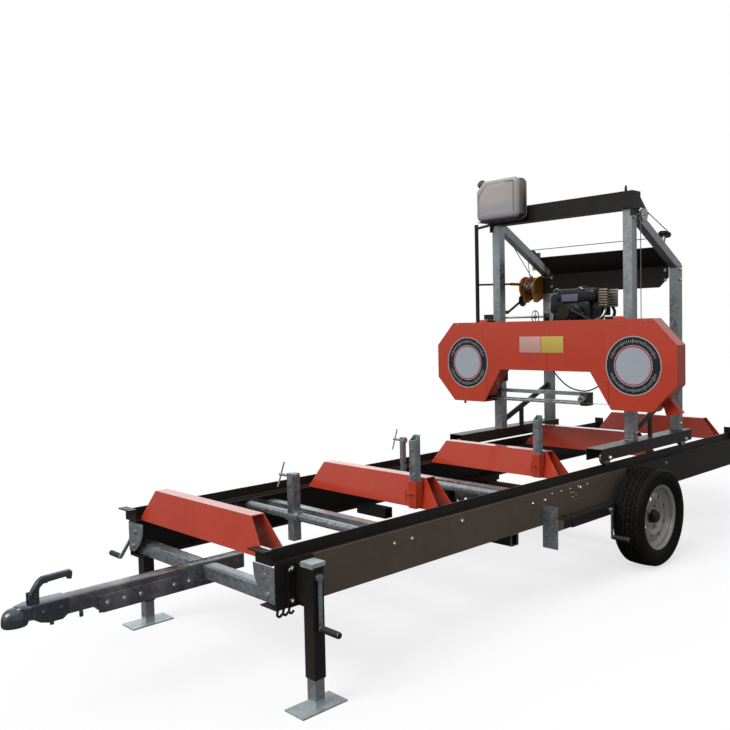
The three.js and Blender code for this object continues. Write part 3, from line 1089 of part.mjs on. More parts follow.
// Top beam with its end brackets, lifting eye, tank shelf and height scale
function topBeam() {
  const half = TOP_BEAM_DEPTH * HALF;
  const low = FRONT_POST_TOP + SEAT_GAP;
  const top = low + TOP_BEAM_HEIGHT;
  const end = POST_MIDDLE + POST_SIZE * HALF + TOP_BEAM_OVERHANG;
  const tube = hollow([[-half, half], [-end, end], [low, top]], SHEET, 1);
  const caps = [NEAR, FAR].map((side) => block([-half, half], [side * (end - SHEET), side * end],
    [low, top]));
  const drain = bar(point(0, -end - OVERRUN, top - SCALE_BAR), point(0, end + OVERRUN, top - SCALE_BAR),
    SCALE_BAR * HALF, BOLT_SIDES + 2);
  const beam = cut(join(tube, caps), drain);
  const cheekInner = POST_MIDDLE + POST_SIZE * HALF + SEAT_GAP;
  const cheeks = [NEAR, FAR].map((side) => alongY([
    [-half, low + BITE], [-half, low - CHEEK_DROP], [half, low - CHEEK_DROP * HALF], [half, low + BITE],
  ], side * cheekInner, side * (cheekInner + PLATE)));
  const ring = new THREE.TorusGeometry(EYE_RADIUS, EYE_BAR * HALF, BOLT_SIDES + 2, ROUND_SIDES);
  const standing = ring.rotateX(QUARTER_TURN).rotateZ(EYE_TURN);
  const eye = solidOf(standing.translate(0, -EYE_PLACE, top + EYE_RADIUS));
  const shelfTop = TANK_BOTTOM - SEAT_GAP;
  const shelf = block([TANK_SETBACK - TANK_DEPTH * HALF, -half + BITE],
    around(TANK_PLACE, TANK_WIDTH - TANK_CORNER), [shelfTop - SHEET, shelfTop]);
  const scaleHalf = SCALE_BAR * HALF;
  const scale = block(around(SCALE_SETBACK, SCALE_BAR), around(SCALE_PLACE, SCALE_BAR),
    [SCALE_BOTTOM, SCALE_TOP]);
  const tieHeight = low + SCALE_BAR;
  const tie = bar(point(0, end - SCALE_BAR, tieHeight), point(SCALE_SETBACK, SCALE_PLACE, tieHeight),
    SCALE_BAR, BOLT_SIDES * 2);
  const lugFront = DRUM_AXIS.x - WINCH_GEAR_RADIUS * WINCH_LUG_SHARE - SEAT_GAP;
  const lugMiddle = WINCH_PLACE + WINCH_WIDTH * HALF - WINCH_SIDE * HALF;
  const from = point(SCALE_SETBACK, SCALE_PLACE, SCALE_ARM_HEIGHT);
  const to = point(lugFront, lugMiddle, SCALE_ARM_HEIGHT);
  const past = to.clone().add(to.clone().sub(from).normalize().multiplyScalar(SCALE_BAR));
  const trim = block([lugFront, lugFront + SCALE_BAR * 2], [lugMiddle - SCALE_BAR, lugMiddle + SCALE_BAR],
    [SCALE_ARM_HEIGHT - scaleHalf, SCALE_ARM_HEIGHT + scaleHalf]);
  const arm = cut(bar(from, past, SCALE_ARM_DIAMETER, BOLT_SIDES * 2), trim);
  return join(beam, cheeks, eye, shelf, scale, tie, arm);
}

// Rear panel: a folded sheet in front of the rear posts
function rearPanel() {
  const foldHeight = REAR_POST_TOP;
  const braceInner = POST_MIDDLE - SLOPE_TUBE * HALF - OVERRUN;
  const farTop = slopeTop(PANEL_REAR) - SLOPE_DEPTH - OVERRUN;
  const lower = block([PANEL_FACE, PANEL_REAR], [PANEL_NEAR_END, braceInner], [PANEL_LOW, foldHeight]);
  const farPart = block([PANEL_FACE, PANEL_REAR], [braceInner - BITE, PANEL_FAR_END], [PANEL_LOW, farTop]);
  const lean = alongY([
    [PANEL_REAR, foldHeight - PANEL_SHEET], [PANEL_REAR, foldHeight],
    [PANEL_REAR - PANEL_LEAN_RUN, foldHeight + PANEL_LEAN_RISE],
    [PANEL_FACE - PANEL_LEAN_RUN, foldHeight + PANEL_LEAN_RISE - PANEL_SHEET],
    [PANEL_FACE, foldHeight - PANEL_SHEET],
  ], PANEL_NEAR_END, PANEL_LEAN_FAR_END);
  const strip = block([PANEL_FACE, PANEL_REAR], [braceInner - PANEL_TALL_WIDTH, braceInner],
    [foldHeight - BITE, PANEL_TALL_TOP]);
  const corner = alongX([
    [PANEL_NEAR_END - OVERRUN, PANEL_LOW - OVERRUN], [PANEL_NEAR_END + PANEL_CUT, PANEL_LOW - OVERRUN],
    [PANEL_NEAR_END - OVERRUN, PANEL_LOW + PANEL_CUT],
  ], PANEL_FACE - OVERRUN, PANEL_REAR + OVERRUN);
  return cut(join(lower, farPart, lean, strip), corner);
}

function carriageRoller() {
  const [half, groove] = [ROLLER_WIDTH * HALF, ROLLER_GROOVE * HALF];
  const rimRadius = ROLLER_RADIUS + ROLLER_FLANGE;
  const bore = (ROLLER_PIN_DIAMETER + SLIDE_GAP) * HALF;
  return turned([
    [bore, -half], [rimRadius, -half], [rimRadius, -groove], [ROLLER_RADIUS, PLATE * HALF * HALF - groove],
    [ROLLER_RADIUS, groove - PLATE * HALF * HALF], [rimRadius, groove], [rimRadius, half], [bore, half],
    [bore, -half],
  ], Y_WAY, point(0, 0, 0));
}

// Water tank: a blow-moulded can with a slanted filler corner
const TANK_FACE = TANK_CHAMFER * Math.SQRT1_2;
const FILLER_WAY = point(0, Math.SQRT1_2, Math.SQRT1_2);
const fillerSeat = () => point(TANK_SETBACK, TANK_PLACE + TANK_WIDTH * HALF - TANK_CHAMFER * HALF,
  TANK_BOTTOM + TANK_HEIGHT - TANK_CHAMFER * HALF);

function waterTank() {
  const [half, corner, edge] = [TANK_WIDTH * HALF - TANK_EDGE, TANK_CORNER, TANK_EDGE];
  const [low, top] = [TANK_BOTTOM + edge, TANK_BOTTOM + TANK_HEIGHT - edge];
  const [left, right] = [TANK_PLACE - half, TANK_PLACE + half];
  const shape = new THREE.Shape();
  shape.moveTo(left + corner, low);
  shape.lineTo(right - corner, low);
  shape.absarc(right - corner, low + corner, corner, -QUARTER_TURN, 0);
  shape.lineTo(right, top - TANK_CHAMFER);
  shape.lineTo(right - TANK_CHAMFER, top);
  shape.lineTo(left + corner, top);
  shape.absarc(left + corner, top - corner, corner, QUARTER_TURN, Math.PI);
  shape.lineTo(left, low + corner);
  shape.absarc(left + corner, low + corner, corner, Math.PI, Math.PI + QUARTER_TURN);
  const rounded = { depth: TANK_DEPTH - 2 * edge, bevelSize: edge, bevelThickness: edge,
    bevelSegments: 3, curveSegments: 6 };
  const body = new THREE.ExtrudeGeometry(shape, rounded).rotateX(QUARTER_TURN).rotateZ(QUARTER_TURN);
  const can = solidOf(body.translate(TANK_SETBACK - TANK_DEPTH * HALF + edge, 0, 0));
  const seat = fillerSeat();
  const neck = bar(seat.clone().addScaledVector(FILLER_WAY, -TANK_FACE),
    seat.clone().addScaledVector(FILLER_WAY, TANK_NECK_HEIGHT), TANK_NECK_DIAMETER);
  return join(can, neck);
}

function tankCap() {
  const base = fillerSeat().addScaledVector(FILLER_WAY, TANK_NECK_HEIGHT + SEAT_GAP);
  return bar(base, base.clone().addScaledVector(FILLER_WAY, TANK_CAP_HEIGHT), TANK_CAP_DIAMETER);
}

// Cover outline in Y and height over the wheel axis, drawn in by a distance from each edge
function coverOutline(inset) {
  const right = [
    [COVER_SHOULDER, COVER_TOP], [COVER_HALF_WIDTH, COVER_SIDE_TOP], [COVER_HALF_WIDTH, COVER_SIDE_BOTTOM],
    [COVER_FOOT_OUTER, COVER_BOTTOM], [COVER_FOOT_INNER, COVER_BOTTOM], [THROAT_HALF_WIDTH, THROAT_TOP],
  ];
  const ring = [...right, ...right.map(([y, z]) => [-y, z]).reverse()]
    .map(([y, z]) => new THREE.Vector2(y, z + WHEEL_HEIGHT));
  const lineAt = (i) => {
    const from = ring[i % ring.length];
    const way = ring[(i + 1) % ring.length].clone().sub(from).normalize();
    const inward = new THREE.Vector2(way.y, -way.x);
    return { from: from.clone().addScaledVector(inward, inset), way };
  };
  return ring.map((_, i) => {
    const before = lineAt(i + ring.length - 1);
    const after = lineAt(i);
    const turn = before.way.cross(after.way);
    const reach = after.from.clone().sub(before.from).cross(after.way) / turn;
    const corner = before.from.clone().addScaledVector(before.way, reach);
    return [corner.x, corner.y];
  });
}

const COVER_REAR = COVER_FRONT + COVER_DEPTH;
const HINGE_HEIGHT = WHEEL_HEIGHT + COVER_TOP + HINGE_RISE;
const WHEEL_RADIUS = BAND_WHEEL_DIAMETER * HALF;
const BLADE_LOW = WHEEL_HEIGHT - WHEEL_RADIUS - SEAT_GAP;
const HEAD_PLATE = COVER_REAR + SEAT_GAP;
const BEAM_FACE = HEAD_PLATE + PLATE;
const BEAM_BACK = BEAM_FACE + HEAD_BEAM_DEPTH;
const SLEEVE_HALF = POST_SIZE * HALF + SLEEVE_CLEAR + SLEEVE_SHEET;

function knuckles(places, leaf) {
  return places.flatMap((y) => [
    bar(point(COVER_REAR, y, HINGE_HEIGHT), point(COVER_REAR, y + HINGE_LENGTH, HINGE_HEIGHT),
      HINGE_DIAMETER),
    block(leaf, [y, y + HINGE_LENGTH], [WHEEL_HEIGHT + COVER_TOP - HALF * SHEET, HINGE_HEIGHT]),
  ]);
}

function bladeCover() {
  const shell = alongX(coverOutline(0), COVER_FRONT, COVER_REAR);
  const inside = alongX(coverOutline(COVER_SHEET), COVER_FRONT + COVER_SHEET, COVER_REAR + OVERRUN);
  const slots = [NEAR, FAR].map((side) => block(
    [BLADE_PLANE - BLADE_WIDTH * HALF - COVER_SLOT * HALF, COVER_REAR + OVERRUN],
    [side * THROAT_HALF_WIDTH, side * (COVER_FOOT_INNER + COVER_SLOT)], around(BLADE_LOW, COVER_SLOT)));
  const latches = [NEAR, FAR].map((side) => bar(
    point(COVER_REAR - COVER_SLOT, side * LATCH_PLACE, WHEEL_HEIGHT + COVER_BOTTOM + BITE),
    point(COVER_REAR - COVER_SLOT, side * LATCH_PLACE, WHEEL_HEIGHT + COVER_BOTTOM - COVER_SLOT),
    HINGE_DIAMETER, BOLT_SIDES * 2));
  const places = [-HINGE_PLACE - HINGE_LENGTH - SLIDE_GAP, HINGE_PLACE + HINGE_LENGTH + SLIDE_GAP];
  return join(cut(shell, inside, slots), latches,
    knuckles(places, [COVER_REAR - HINGE_DIAMETER * HALF, COVER_REAR - SEAT_GAP]));
}

// Head frame: back plate, cross beams, post sleeves, engine bed, guide holder and tension guides
function headFrame() {
  const plate = alongX(coverOutline(0), HEAD_PLATE, BEAM_FACE + BITE);
  const beamHalf = HEAD_BEAM_LENGTH * HALF;
  const beam = block([BEAM_FACE, BEAM_BACK], [-beamHalf, beamHalf],
    [HEAD_BEAM_TOP - HEAD_BEAM_HEIGHT, HEAD_BEAM_TOP]);
  const opening = POST_SIZE * HALF + SLEEVE_CLEAR;
  const sleeves = [NEAR, FAR].flatMap((side) => {
    const middle = side * POST_MIDDLE;
    const lugs = [HEAD_BEAM_TOP - BITE, SLEEVE_BOTTOM + LUG_HEIGHT].map((top) => block(
      [BEAM_FACE, BITE - SLEEVE_HALF], around(middle, POST_SIZE), [top - LUG_HEIGHT, top]));
    const lugEnd = SHEAVE_OUTREACH + CABLE_DIAMETER * 2;
    const ropeLug = block([POST_SIZE * HALF, TOP_SHEAVE_SETBACK - ROPE_RADIUS + CABLE_DIAMETER * 2],
      [side * (POST_MIDDLE + SLEEVE_HALF - BITE), side * lugEnd], [SLEEVE_TOP - LUG_HEIGHT, SLEEVE_TOP]);
    return [
      hollow([around(0, 2 * SLEEVE_HALF), around(middle, 2 * SLEEVE_HALF), [SLEEVE_BOTTOM, SLEEVE_TOP]],
        SLEEVE_SHEET, 2), ...lugs, ropeLug,
    ];
  });
  const sleeveInner = POST_MIDDLE - SLEEVE_HALF + BITE;
  const bedLow = ENGINE_BED_TOP - SHEET;
  const rearBeam = block([0, REAR_BEAM_DEPTH], [-sleeveInner, sleeveInner],
    [bedLow - REAR_BEAM_DEPTH, bedLow + BITE]);
  const bed = block([-REAR_BEAM_DEPTH, ENGINE_BED_LENGTH - REAR_BEAM_DEPTH],
    around(0, ENGINE_BED_WIDTH), [bedLow, ENGINE_BED_TOP]);
  const arm = block([BEAM_BACK - BITE, -REAR_BEAM_DEPTH + BITE],
    [ENGINE_BED_WIDTH * HALF - ENGINE_BED_ARM, ENGINE_BED_WIDTH * HALF], [bedLow, ENGINE_BED_TOP]);
  const shaftBoss = bar(point(BEAM_FACE, -WHEEL_SPACING * HALF, WHEEL_HEIGHT),
    point(BEAM_FACE + BEARING_LENGTH, -WHEEL_SPACING * HALF, WHEEL_HEIGHT), BEARING_DIAMETER);
  const shaftBore = bar(point(HEAD_PLATE - OVERRUN, -WHEEL_SPACING * HALF, WHEEL_HEIGHT),
    point(BEAM_FACE + BEARING_LENGTH + OVERRUN, -WHEEL_SPACING * HALF, WHEEL_HEIGHT),
    BAND_SHAFT_DIAMETER + SLIDE_GAP);
  const shaftSlot = block([HEAD_PLATE - OVERRUN, BEAM_FACE + OVERRUN],
    [WHEEL_SPACING * HALF - BAND_SHAFT_DIAMETER - TENSION_STROKE, WHEEL_SPACING * HALF + BAND_SHAFT_DIAMETER],
    around(WHEEL_HEIGHT, BAND_SHAFT_DIAMETER + COVER_SHEET));
  const chute = alongX(CHUTE_SHARES.map(([y, z]) => [
    y * WHEEL_RADIUS - WHEEL_SPACING * HALF, z * WHEEL_RADIUS + WHEEL_HEIGHT,
  ]), HEAD_PLATE, BEAM_BACK);
  const frameKnuckles = knuckles([-HINGE_PLACE, HINGE_PLACE], [HEAD_PLATE, BEAM_FACE]);
  return cut(join(plate, beam, sleeves, rearBeam, bed, arm, shaftBoss, guideHolder(), tensionGuides(),
    tensionBracket(), chute, frameKnuckles), shaftBore, shaftSlot);
}

function guideBarBlocks(from, to, grow) {
  return [GUIDE_BAR_HIGH, GUIDE_BAR_LOW].map((z) => block(around(GUIDE_BAR_SETBACK, GUIDE_BAR + grow),
    [from, to], around(z, GUIDE_BAR + grow)));
}

function guideHolder() {
  const margin = GUIDE_BAR * HALF + PLATE;
  const ys = [GUIDE_HOLDER_PLACE, GUIDE_HOLDER_PLACE + GUIDE_HOLDER_LENGTH];
  const body = block([BEAM_FACE, GUIDE_BAR_SETBACK + margin], ys,
    [GUIDE_BAR_LOW - margin, GUIDE_BAR_HIGH + margin]);
  return cut(body, guideBarBlocks(ys[0] - OVERRUN, ys[1] + OVERRUN, 2 * SLIDE_GAP));
}

function guideArm() {
  const blockHalf = GUIDE_BLOCK_WIDTH * HALF;
  const bars = guideBarBlocks(GUIDE_PLACE, GUIDE_PLACE + GUIDE_BAR_LENGTH, 0);
  const bladeBack = BLADE_PLANE + BLADE_WIDTH * HALF;
  const body = block([bladeBack + SHEET, GUIDE_BAR_SETBACK + GUIDE_BAR * HALF],
    [GUIDE_PLACE - blockHalf, GUIDE_PLACE + blockHalf],
    [GUIDE_BAR_LOW - GUIDE_BAR * HALF, GUIDE_BAR_HIGH + GUIDE_BAR * HALF]);
  const pin = bar(point(guideRollerFront() - PLATE, GUIDE_PLACE, guideRollerHeight()),
    point(bladeBack + SHEET + BITE, GUIDE_PLACE, guideRollerHeight()), SHEAVE_BORE);
  const bolts = [GUIDE_BAR_HIGH, GUIDE_BAR_LOW].map((z) => bar(
    point(GUIDE_BAR_SETBACK, GUIDE_PLACE - blockHalf - PLATE, z),
    point(GUIDE_BAR_SETBACK, GUIDE_PLACE - blockHalf + BITE, z), SHEAVE_BORE, BOLT_SIDES));
  return join(bars, body, pin, bolts);
}

const guideRollerHeight = () => BLADE_LOW + SEAT_GAP + GUIDE_ROLLER_DIAMETER * HALF;
const guideRollerFront = () => BLADE_PLANE - GUIDE_ROLLER_WIDTH * HALF;

function guideRoller() {
  const [half, radius] = [GUIDE_ROLLER_WIDTH * HALF, GUIDE_ROLLER_DIAMETER * HALF];
  const bore = (SHEAVE_BORE + SLIDE_GAP) * HALF;
  const edge = GUIDE_ROLLER_EDGE;
  return turned([[bore, -half], [radius - edge, -half], [radius, edge - half], [radius, half - edge],
    [radius - edge, half], [bore, half], [bore, -half]], X_WAY, point(0, 0, 0));
}

// The tension slide runs between two pairs of guide bars beside the far post.
function tensionGuides() {
  const front = TENSION_PLACE - TENSION_SLIDE_THICKNESS * HALF - SLIDE_GAP;
  const rear = TENSION_PLACE + TENSION_SLIDE_THICKNESS * HALF + SLIDE_GAP;
  const inner = POST_MIDDLE + SLEEVE_HALF;
  const end = WHEEL_SPACING * HALF + TENSION_SLIDE_WIDTH;
  return TENSION_GUIDE_HEIGHTS.flatMap((z) => [
    block([SLEEVE_HALF - BITE, front], [POST_MIDDLE, end], around(z, TENSION_GUIDE_DEPTH)),
    block([rear, rear + TENSION_GUIDE_SHEET], [inner, end], around(z, TENSION_GUIDE_DEPTH)),
    block([front - BITE, rear + BITE], [inner, inner + TENSION_GUIDE_SHEET], around(z, TENSION_GUIDE_DEPTH)),
  ]);
}

function tensionSlide() {
  const middle = WHEEL_SPACING * HALF;
  const half = TENSION_SLIDE_WIDTH * HALF;
  const body = block(around(TENSION_PLACE, TENSION_SLIDE_THICKNESS), [middle - half, middle + half],
    [TENSION_SLIDE_LOW, TENSION_SLIDE_TOP]);
  const boss = bar(point(TENSION_PLACE, middle, WHEEL_HEIGHT),
    point(TENSION_PLACE + BEARING_LENGTH, middle, WHEEL_HEIGHT), BEARING_DIAMETER);
  const shaft = bar(point(0, middle, WHEEL_HEIGHT),
    point(TENSION_PLACE + 2 * BEARING_LENGTH, middle, WHEEL_HEIGHT), BAND_SHAFT_DIAMETER + SLIDE_GAP);
  const thread = bar(point(TENSION_PLACE, middle - half - OVERRUN, TENSION_HEIGHT),
    point(TENSION_PLACE, middle + TENSION_STROKE, TENSION_HEIGHT), TENSION_ROD_DIAMETER + SLIDE_GAP);
  return cut(join(body, boss), shaft, thread);
}

function tensionBracket() {
  return cut(block(around(TENSION_PLACE, TENSION_WHEEL_DIAMETER * HALF),
    around(TENSION_BRACKET_PLACE, TENSION_BRACKET_SHEET),
    [ENGINE_BED_TOP - BITE, TENSION_HEIGHT + TENSION_BRACKET_SHEET]),
  bar(point(TENSION_PLACE, 0, TENSION_HEIGHT),
    point(TENSION_PLACE, TENSION_BRACKET_PLACE * 2, TENSION_HEIGHT), TENSION_ROD_DIAMETER + SLIDE_GAP));
}

function tensionScrew() {
  const at = (y) => point(TENSION_PLACE, y, TENSION_HEIGHT);
  const half = TENSION_BRACKET_SHEET * HALF + SLIDE_GAP;
  const collar = (y, way) => bar(at(y), at(y + way * PLATE), TENSION_ROD_DIAMETER * 2);
  const rod = bar(at(TENSION_BRACKET_PLACE - half - PLATE), at(WHEEL_SPACING * HALF - TENSION_STROKE),
    TENSION_ROD_DIAMETER);
  const ring = new THREE.TorusGeometry(TENSION_WHEEL_DIAMETER * HALF, TENSION_ROD_DIAMETER * HALF * HALF,
    BOLT_SIDES + 2, ROUND_SIDES);
  const wheel = solidOf(ring.rotateX(QUARTER_TURN).translate(...at(TENSION_WHEEL_PLACE).toArray()));
  const spoke = (way) => bar(at(TENSION_WHEEL_PLACE).addScaledVector(way, -TENSION_WHEEL_DIAMETER * HALF),
    at(TENSION_WHEEL_PLACE).addScaledVector(way, TENSION_WHEEL_DIAMETER * HALF), PLATE, BOLT_SIDES + 2);
  return join(rod, collar(TENSION_BRACKET_PLACE - half, -1), collar(TENSION_BRACKET_PLACE + half, 1), wheel,
    spoke(X_WAY), spoke(Z_WAY));
}

// Band wheels on their shafts, about their own centres
function bandWheel(shaftEnd) {
  const [half, radius, web] = [BAND_WHEEL_WIDTH * HALF, WHEEL_RADIUS, BAND_WHEEL_WEB * HALF];
  const inner = radius - BAND_WHEEL_RIM;
  const hub = BAND_WHEEL_HUB_DIAMETER * HALF;
  const profile = [
    [0, -half], [hub, -half], [hub, -web], [inner, -web], [inner, -half], [radius, -half], [radius, half],
    [inner, half], [inner, web], [hub, web], [hub, half], [0, half], [0, -half],
  ];
  const holes = Array.from({ length: BAND_WHEEL_HOLES }, (_, i) => {
    const angle = (i / BAND_WHEEL_HOLES) * 2 * Math.PI;
    const [y, z] = [Math.cos(angle), Math.sin(angle)].map((v) => v * (hub + inner) * HALF);
    return bar(point(-radius, y, z), point(radius, y, z), BAND_WHEEL_HOLE_DIAMETER, BOLT_SIDES + 2);
  });
  const shaft = bar(point(0, 0, 0), point(shaftEnd - BLADE_PLANE, 0, 0), BAND_SHAFT_DIAMETER);
  return join(cut(turned(profile, X_WAY, point(0, 0, 0), FINE_SIDES), holes), shaft);
}

function pulley(diameter) {
  const [half, radius] = [PULLEY_WIDTH * HALF, diameter * HALF];
  const depth = radius - BELT_THICKNESS - SHEET;
  const floor = BELT_WIDTH * HALF + SLIDE_GAP;
  return turned([
    [0, -half], [radius, -half], [radius, -floor - SLIDE_GAP], [depth, -floor], [depth, floor],
    [radius, floor + SLIDE_GAP], [radius, half], [0, half], [0, -half],
  ], X_WAY, point(0, 0, 0), FINE_SIDES);
}

function driveBelt() {
  const big = DRIVE_PULLEY_DIAMETER * HALF - BELT_THICKNESS - SHEET + SLIDE_GAP;
  const small = ENGINE_PULLEY_DIAMETER * HALF - BELT_THICKNESS - SHEET + SLIDE_GAP;
  const from = new THREE.Vector2(-WHEEL_SPACING * HALF, WHEEL_HEIGHT);
  const to = new THREE.Vector2(ENGINE_PLACE, ENGINE_BED_TOP + ENGINE_SHAFT_RISE);
  const way = to.clone().sub(from);
  const lean = Math.acos((big - small) / way.length());
  const heading = way.angle();
  const wrap = (centre, radius, start, end) => Array.from({ length: ROUND_SIDES + 1 }, (_, i) => {
    const angle = start + ((end - start) * i) / ROUND_SIDES;
    return [centre.x + Math.cos(angle) * radius, centre.y + Math.sin(angle) * radius];
  });
  const loop = (extra) => [
    ...wrap(from, big + extra, heading + lean, heading - lean + 2 * Math.PI),
    ...wrap(to, small + extra, heading - lean, heading + lean),
  ];
  const half = BELT_WIDTH * HALF;
  return cut(alongX(loop(BELT_THICKNESS), BELT_PLANE - half, BELT_PLANE + half),
    alongX(loop(0), BELT_PLANE - half - OVERRUN, BELT_PLANE + half + OVERRUN));
}

// Blade: one endless steel band with its teeth cut into the front edge
function sawBlade() {
  const radius = WHEEL_RADIUS + SEAT_GAP;
  const straight = WHEEL_SPACING;
  const round = Math.PI * radius;
  const length = 2 * (straight + round);
  const teeth = Math.round(length / BLADE_TOOTH_PITCH);
  const stations = Array.from({ length: teeth * 2 }, (_, i) => {
    const along = ((Math.floor(i / 2) + (i % 2) * TOOTH_SHARE) / teeth) * length;
    return { ...loopPoint(along, radius, straight, round), front: i % 2 ? 0 : BLADE_GULLET };
  });
  const back = BLADE_PLANE + BLADE_WIDTH * HALF;
  const edge = BLADE_PLANE - BLADE_WIDTH * HALF;
  const corners = stations.flatMap(({ place, out, front }) => {
    const skin = [place.clone(), place.clone().addScaledVector(out, BLADE_THICKNESS)];
    return [[edge + front, skin[0]], [edge + front, skin[1]], [back, skin[1]], [back, skin[0]]]
      .flatMap(([x, yz]) => [x, yz.x, yz.y]);
  });
  const faces = stations.flatMap((_, i) => {
    const next = (i + 1) % stations.length;
    return [0, 1, 2, 3].flatMap((k) => {
      const other = (k + 1) % 4;
      const [a, b, c, d] = [i * 4 + k, i * 4 + other, next * 4 + other, next * 4 + k];
      return [a, b, c, a, c, d];
    });
  });
  const band = new THREE.BufferGeometry();
  band.setAttribute("position", new THREE.Float32BufferAttribute(corners, 3));
  band.setIndex(faces);
  return solidOf(band);
}

// A place on the wheels' racetrack and the way outwards there, in Y and Z.
function loopPoint(along, radius, straight, round) {
  const half = straight * HALF;
  if (along < straight) {
    return { place: new THREE.Vector2(along - half, WHEEL_HEIGHT - radius), out: new THREE.Vector2(0, -1) };
  }
  if (along < straight + round) return loopTurn(half, (along - straight) / radius - QUARTER_TURN, radius);
  if (along < 2 * straight + round) {
    const back = along - straight - round;
    return { place: new THREE.Vector2(half - back, WHEEL_HEIGHT + radius), out: new THREE.Vector2(0, 1) };
  }
  return loopTurn(-half, (along - 2 * straight - round) / radius + QUARTER_TURN, radius);
}

function loopTurn(middle, angle, radius) {
  const out = new THREE.Vector2(Math.cos(angle), Math.sin(angle));
  return { place: new THREE.Vector2(middle, WHEEL_HEIGHT).addScaledVector(out, radius), out };
}

// Engine: crankcase, shrouded flywheel with its starter, fuel tank, air cleaner and silencer
function engine() {
  const low = ENGINE_BED_TOP + SEAT_GAP;
  const shaftZ = ENGINE_BED_TOP + ENGINE_SHAFT_RISE;
  const rear = ENGINE_FRONT + ENGINE_LENGTH;
  const part = (xs, ys, zs) => block(xs.map((x) => ENGINE_FRONT + x * ENGINE_LENGTH),
    ys.map((y) => ENGINE_PLACE + y * ENGINE_WIDTH), zs.map((z) => low + z * (ENGINE_TOP - low)));
  const boxes = ENGINE_BLOCK_SHARES.map(([xs, ys, zs]) => part(xs, ys, zs));
  const flywheel = bar(point(rear - ENGINE_STARTER_DEPTH * 2, ENGINE_PLACE, shaftZ),
    point(rear - ENGINE_STARTER_DEPTH, ENGINE_PLACE, shaftZ), ENGINE_SHROUD_DIAMETER);
  const starter = bar(point(rear - ENGINE_STARTER_DEPTH - BITE, ENGINE_PLACE, shaftZ),
    point(rear, ENGINE_PLACE, shaftZ), ENGINE_STARTER_DIAMETER);
  const shaft = bar(point(ENGINE_FRONT + ENGINE_STARTER_DEPTH, ENGINE_PLACE, shaftZ),
    point(BELT_PLANE + PULLEY_WIDTH * HALF + SLIDE_GAP, ENGINE_PLACE, shaftZ), ENGINE_SHAFT_DIAMETER);
  const capPlace = ENGINE_FRONT + ENGINE_LENGTH * HALF;
  const cap = bar(point(capPlace, ENGINE_PLACE, ENGINE_TOP - OVERRUN),
    point(capPlace, ENGINE_PLACE, ENGINE_TOP + ENGINE_CAP_RISE), ENGINE_CAP_DIAMETER);
  return join(boxes, flywheel, starter, shaft, cap);
}

function waterHose() {
  const curve = new THREE.CatmullRomCurve3(HOSE_ROUTE.map((each) => point(...each)), false, "centripetal");
  return rope(curve.getSpacedPoints(HOSE_STEPS), HOSE_DIAMETER, BOLT_SIDES + 2);
}

// Bed
const bed = new THREE.Group();
for (const [side, name] of SIDE_NAMES) {
  piece(bed, `rail_${name}`, rail(side), BLACK_PAINT);
  const leg = piece(bed, `jack_leg_${name}`, jackLeg(), GALVANISED);
  leg.position.set(JACK_PLACE, side * JACK_OUTREACH, 0);
  const turn = side === FAR ? FAR_CRANK_ANGLE : 0;
  const crank = piece(bed, `jack_crank_${name}`, jackCrank(side, turn, JACK_CRANK_ARM), BLACK_PAINT);
  crank.position.set(JACK_PLACE, side * (JACK_OUTREACH + JACK_TUBE * HALF + SEAT_GAP), JACK_CRANK_HEIGHT);
  tyre(bed, `tyre_${name}`, side);
  rim(bed, `rim_${name}`, side);
}
const swing = piece(bed, "swing_jack", swingJack(), GALVANISED);
swing.position.set(SWING_PIVOT_PLACE, -SWING_JACK_OUTREACH, SWING_PIVOT_HEIGHT);
piece(bed, "axle", axle(), BLACK_PAINT);
piece(bed, "drawbar", drawbar(), GALVANISED);
const lever = piece(bed, "coupler_lever", couplerLever(), BLACK_PAINT);
lever.position.set(leverPlace, 0, COUPLER_TOP);

const BUNK_SEAT = RAIL_TOP + SEAT_GAP;
for (let i = 0; i < BUNK_COUNT; i += 1) {
  const withSleeve = i === 1 || i === 2;
  const sleeve = stopSleeve(0);
  const solid = withSleeve ? join(bunkBody(), sleeve.solids) : bunkBody();
  const front = BUNK_FRONT + BUNK_PITCH * i;
  piece(bed, `bunk_${i + 1}`, solid, ORANGE_PAINT).position.set(front, 0, BUNK_SEAT);
  if (!withSleeve) continue;
  piece(bed, `log_stop_${i}`, logStop(), GALVANISED).position.set(front + sleeve.middle, LOG_STOP_PLACE, 0);
}
CLAMP_POST_SIZES.forEach((size, i) => {
  const shift = BUNK_FRONT + BUNK_PITCH * i;
  piece(bed, `clamp_tube_${i + 1}`, crossMember(), GALVANISED).position.set(shift, 0, 0);
  const place = [shift + CLAMP_TUBE_SETBACK, CLAMP_POST_PLACES[i]];
  piece(bed, `clamp_post_${i + 1}`, clampPost(size, CLAMP_POST_TOPS[i]), GALVANISED)
    .position.set(...place, CLAMP_TUBE_HEIGHT);
  piece(bed, `clamp_screw_${i + 1}`, clampScrew(size, CLAMP_SCREW_LENGTHS[i]), ZINC).position.set(...place,
    CLAMP_TUBE_HEIGHT + CLAMP_POST_TOPS[i] - CLAMP_SCREW_DROP);
});

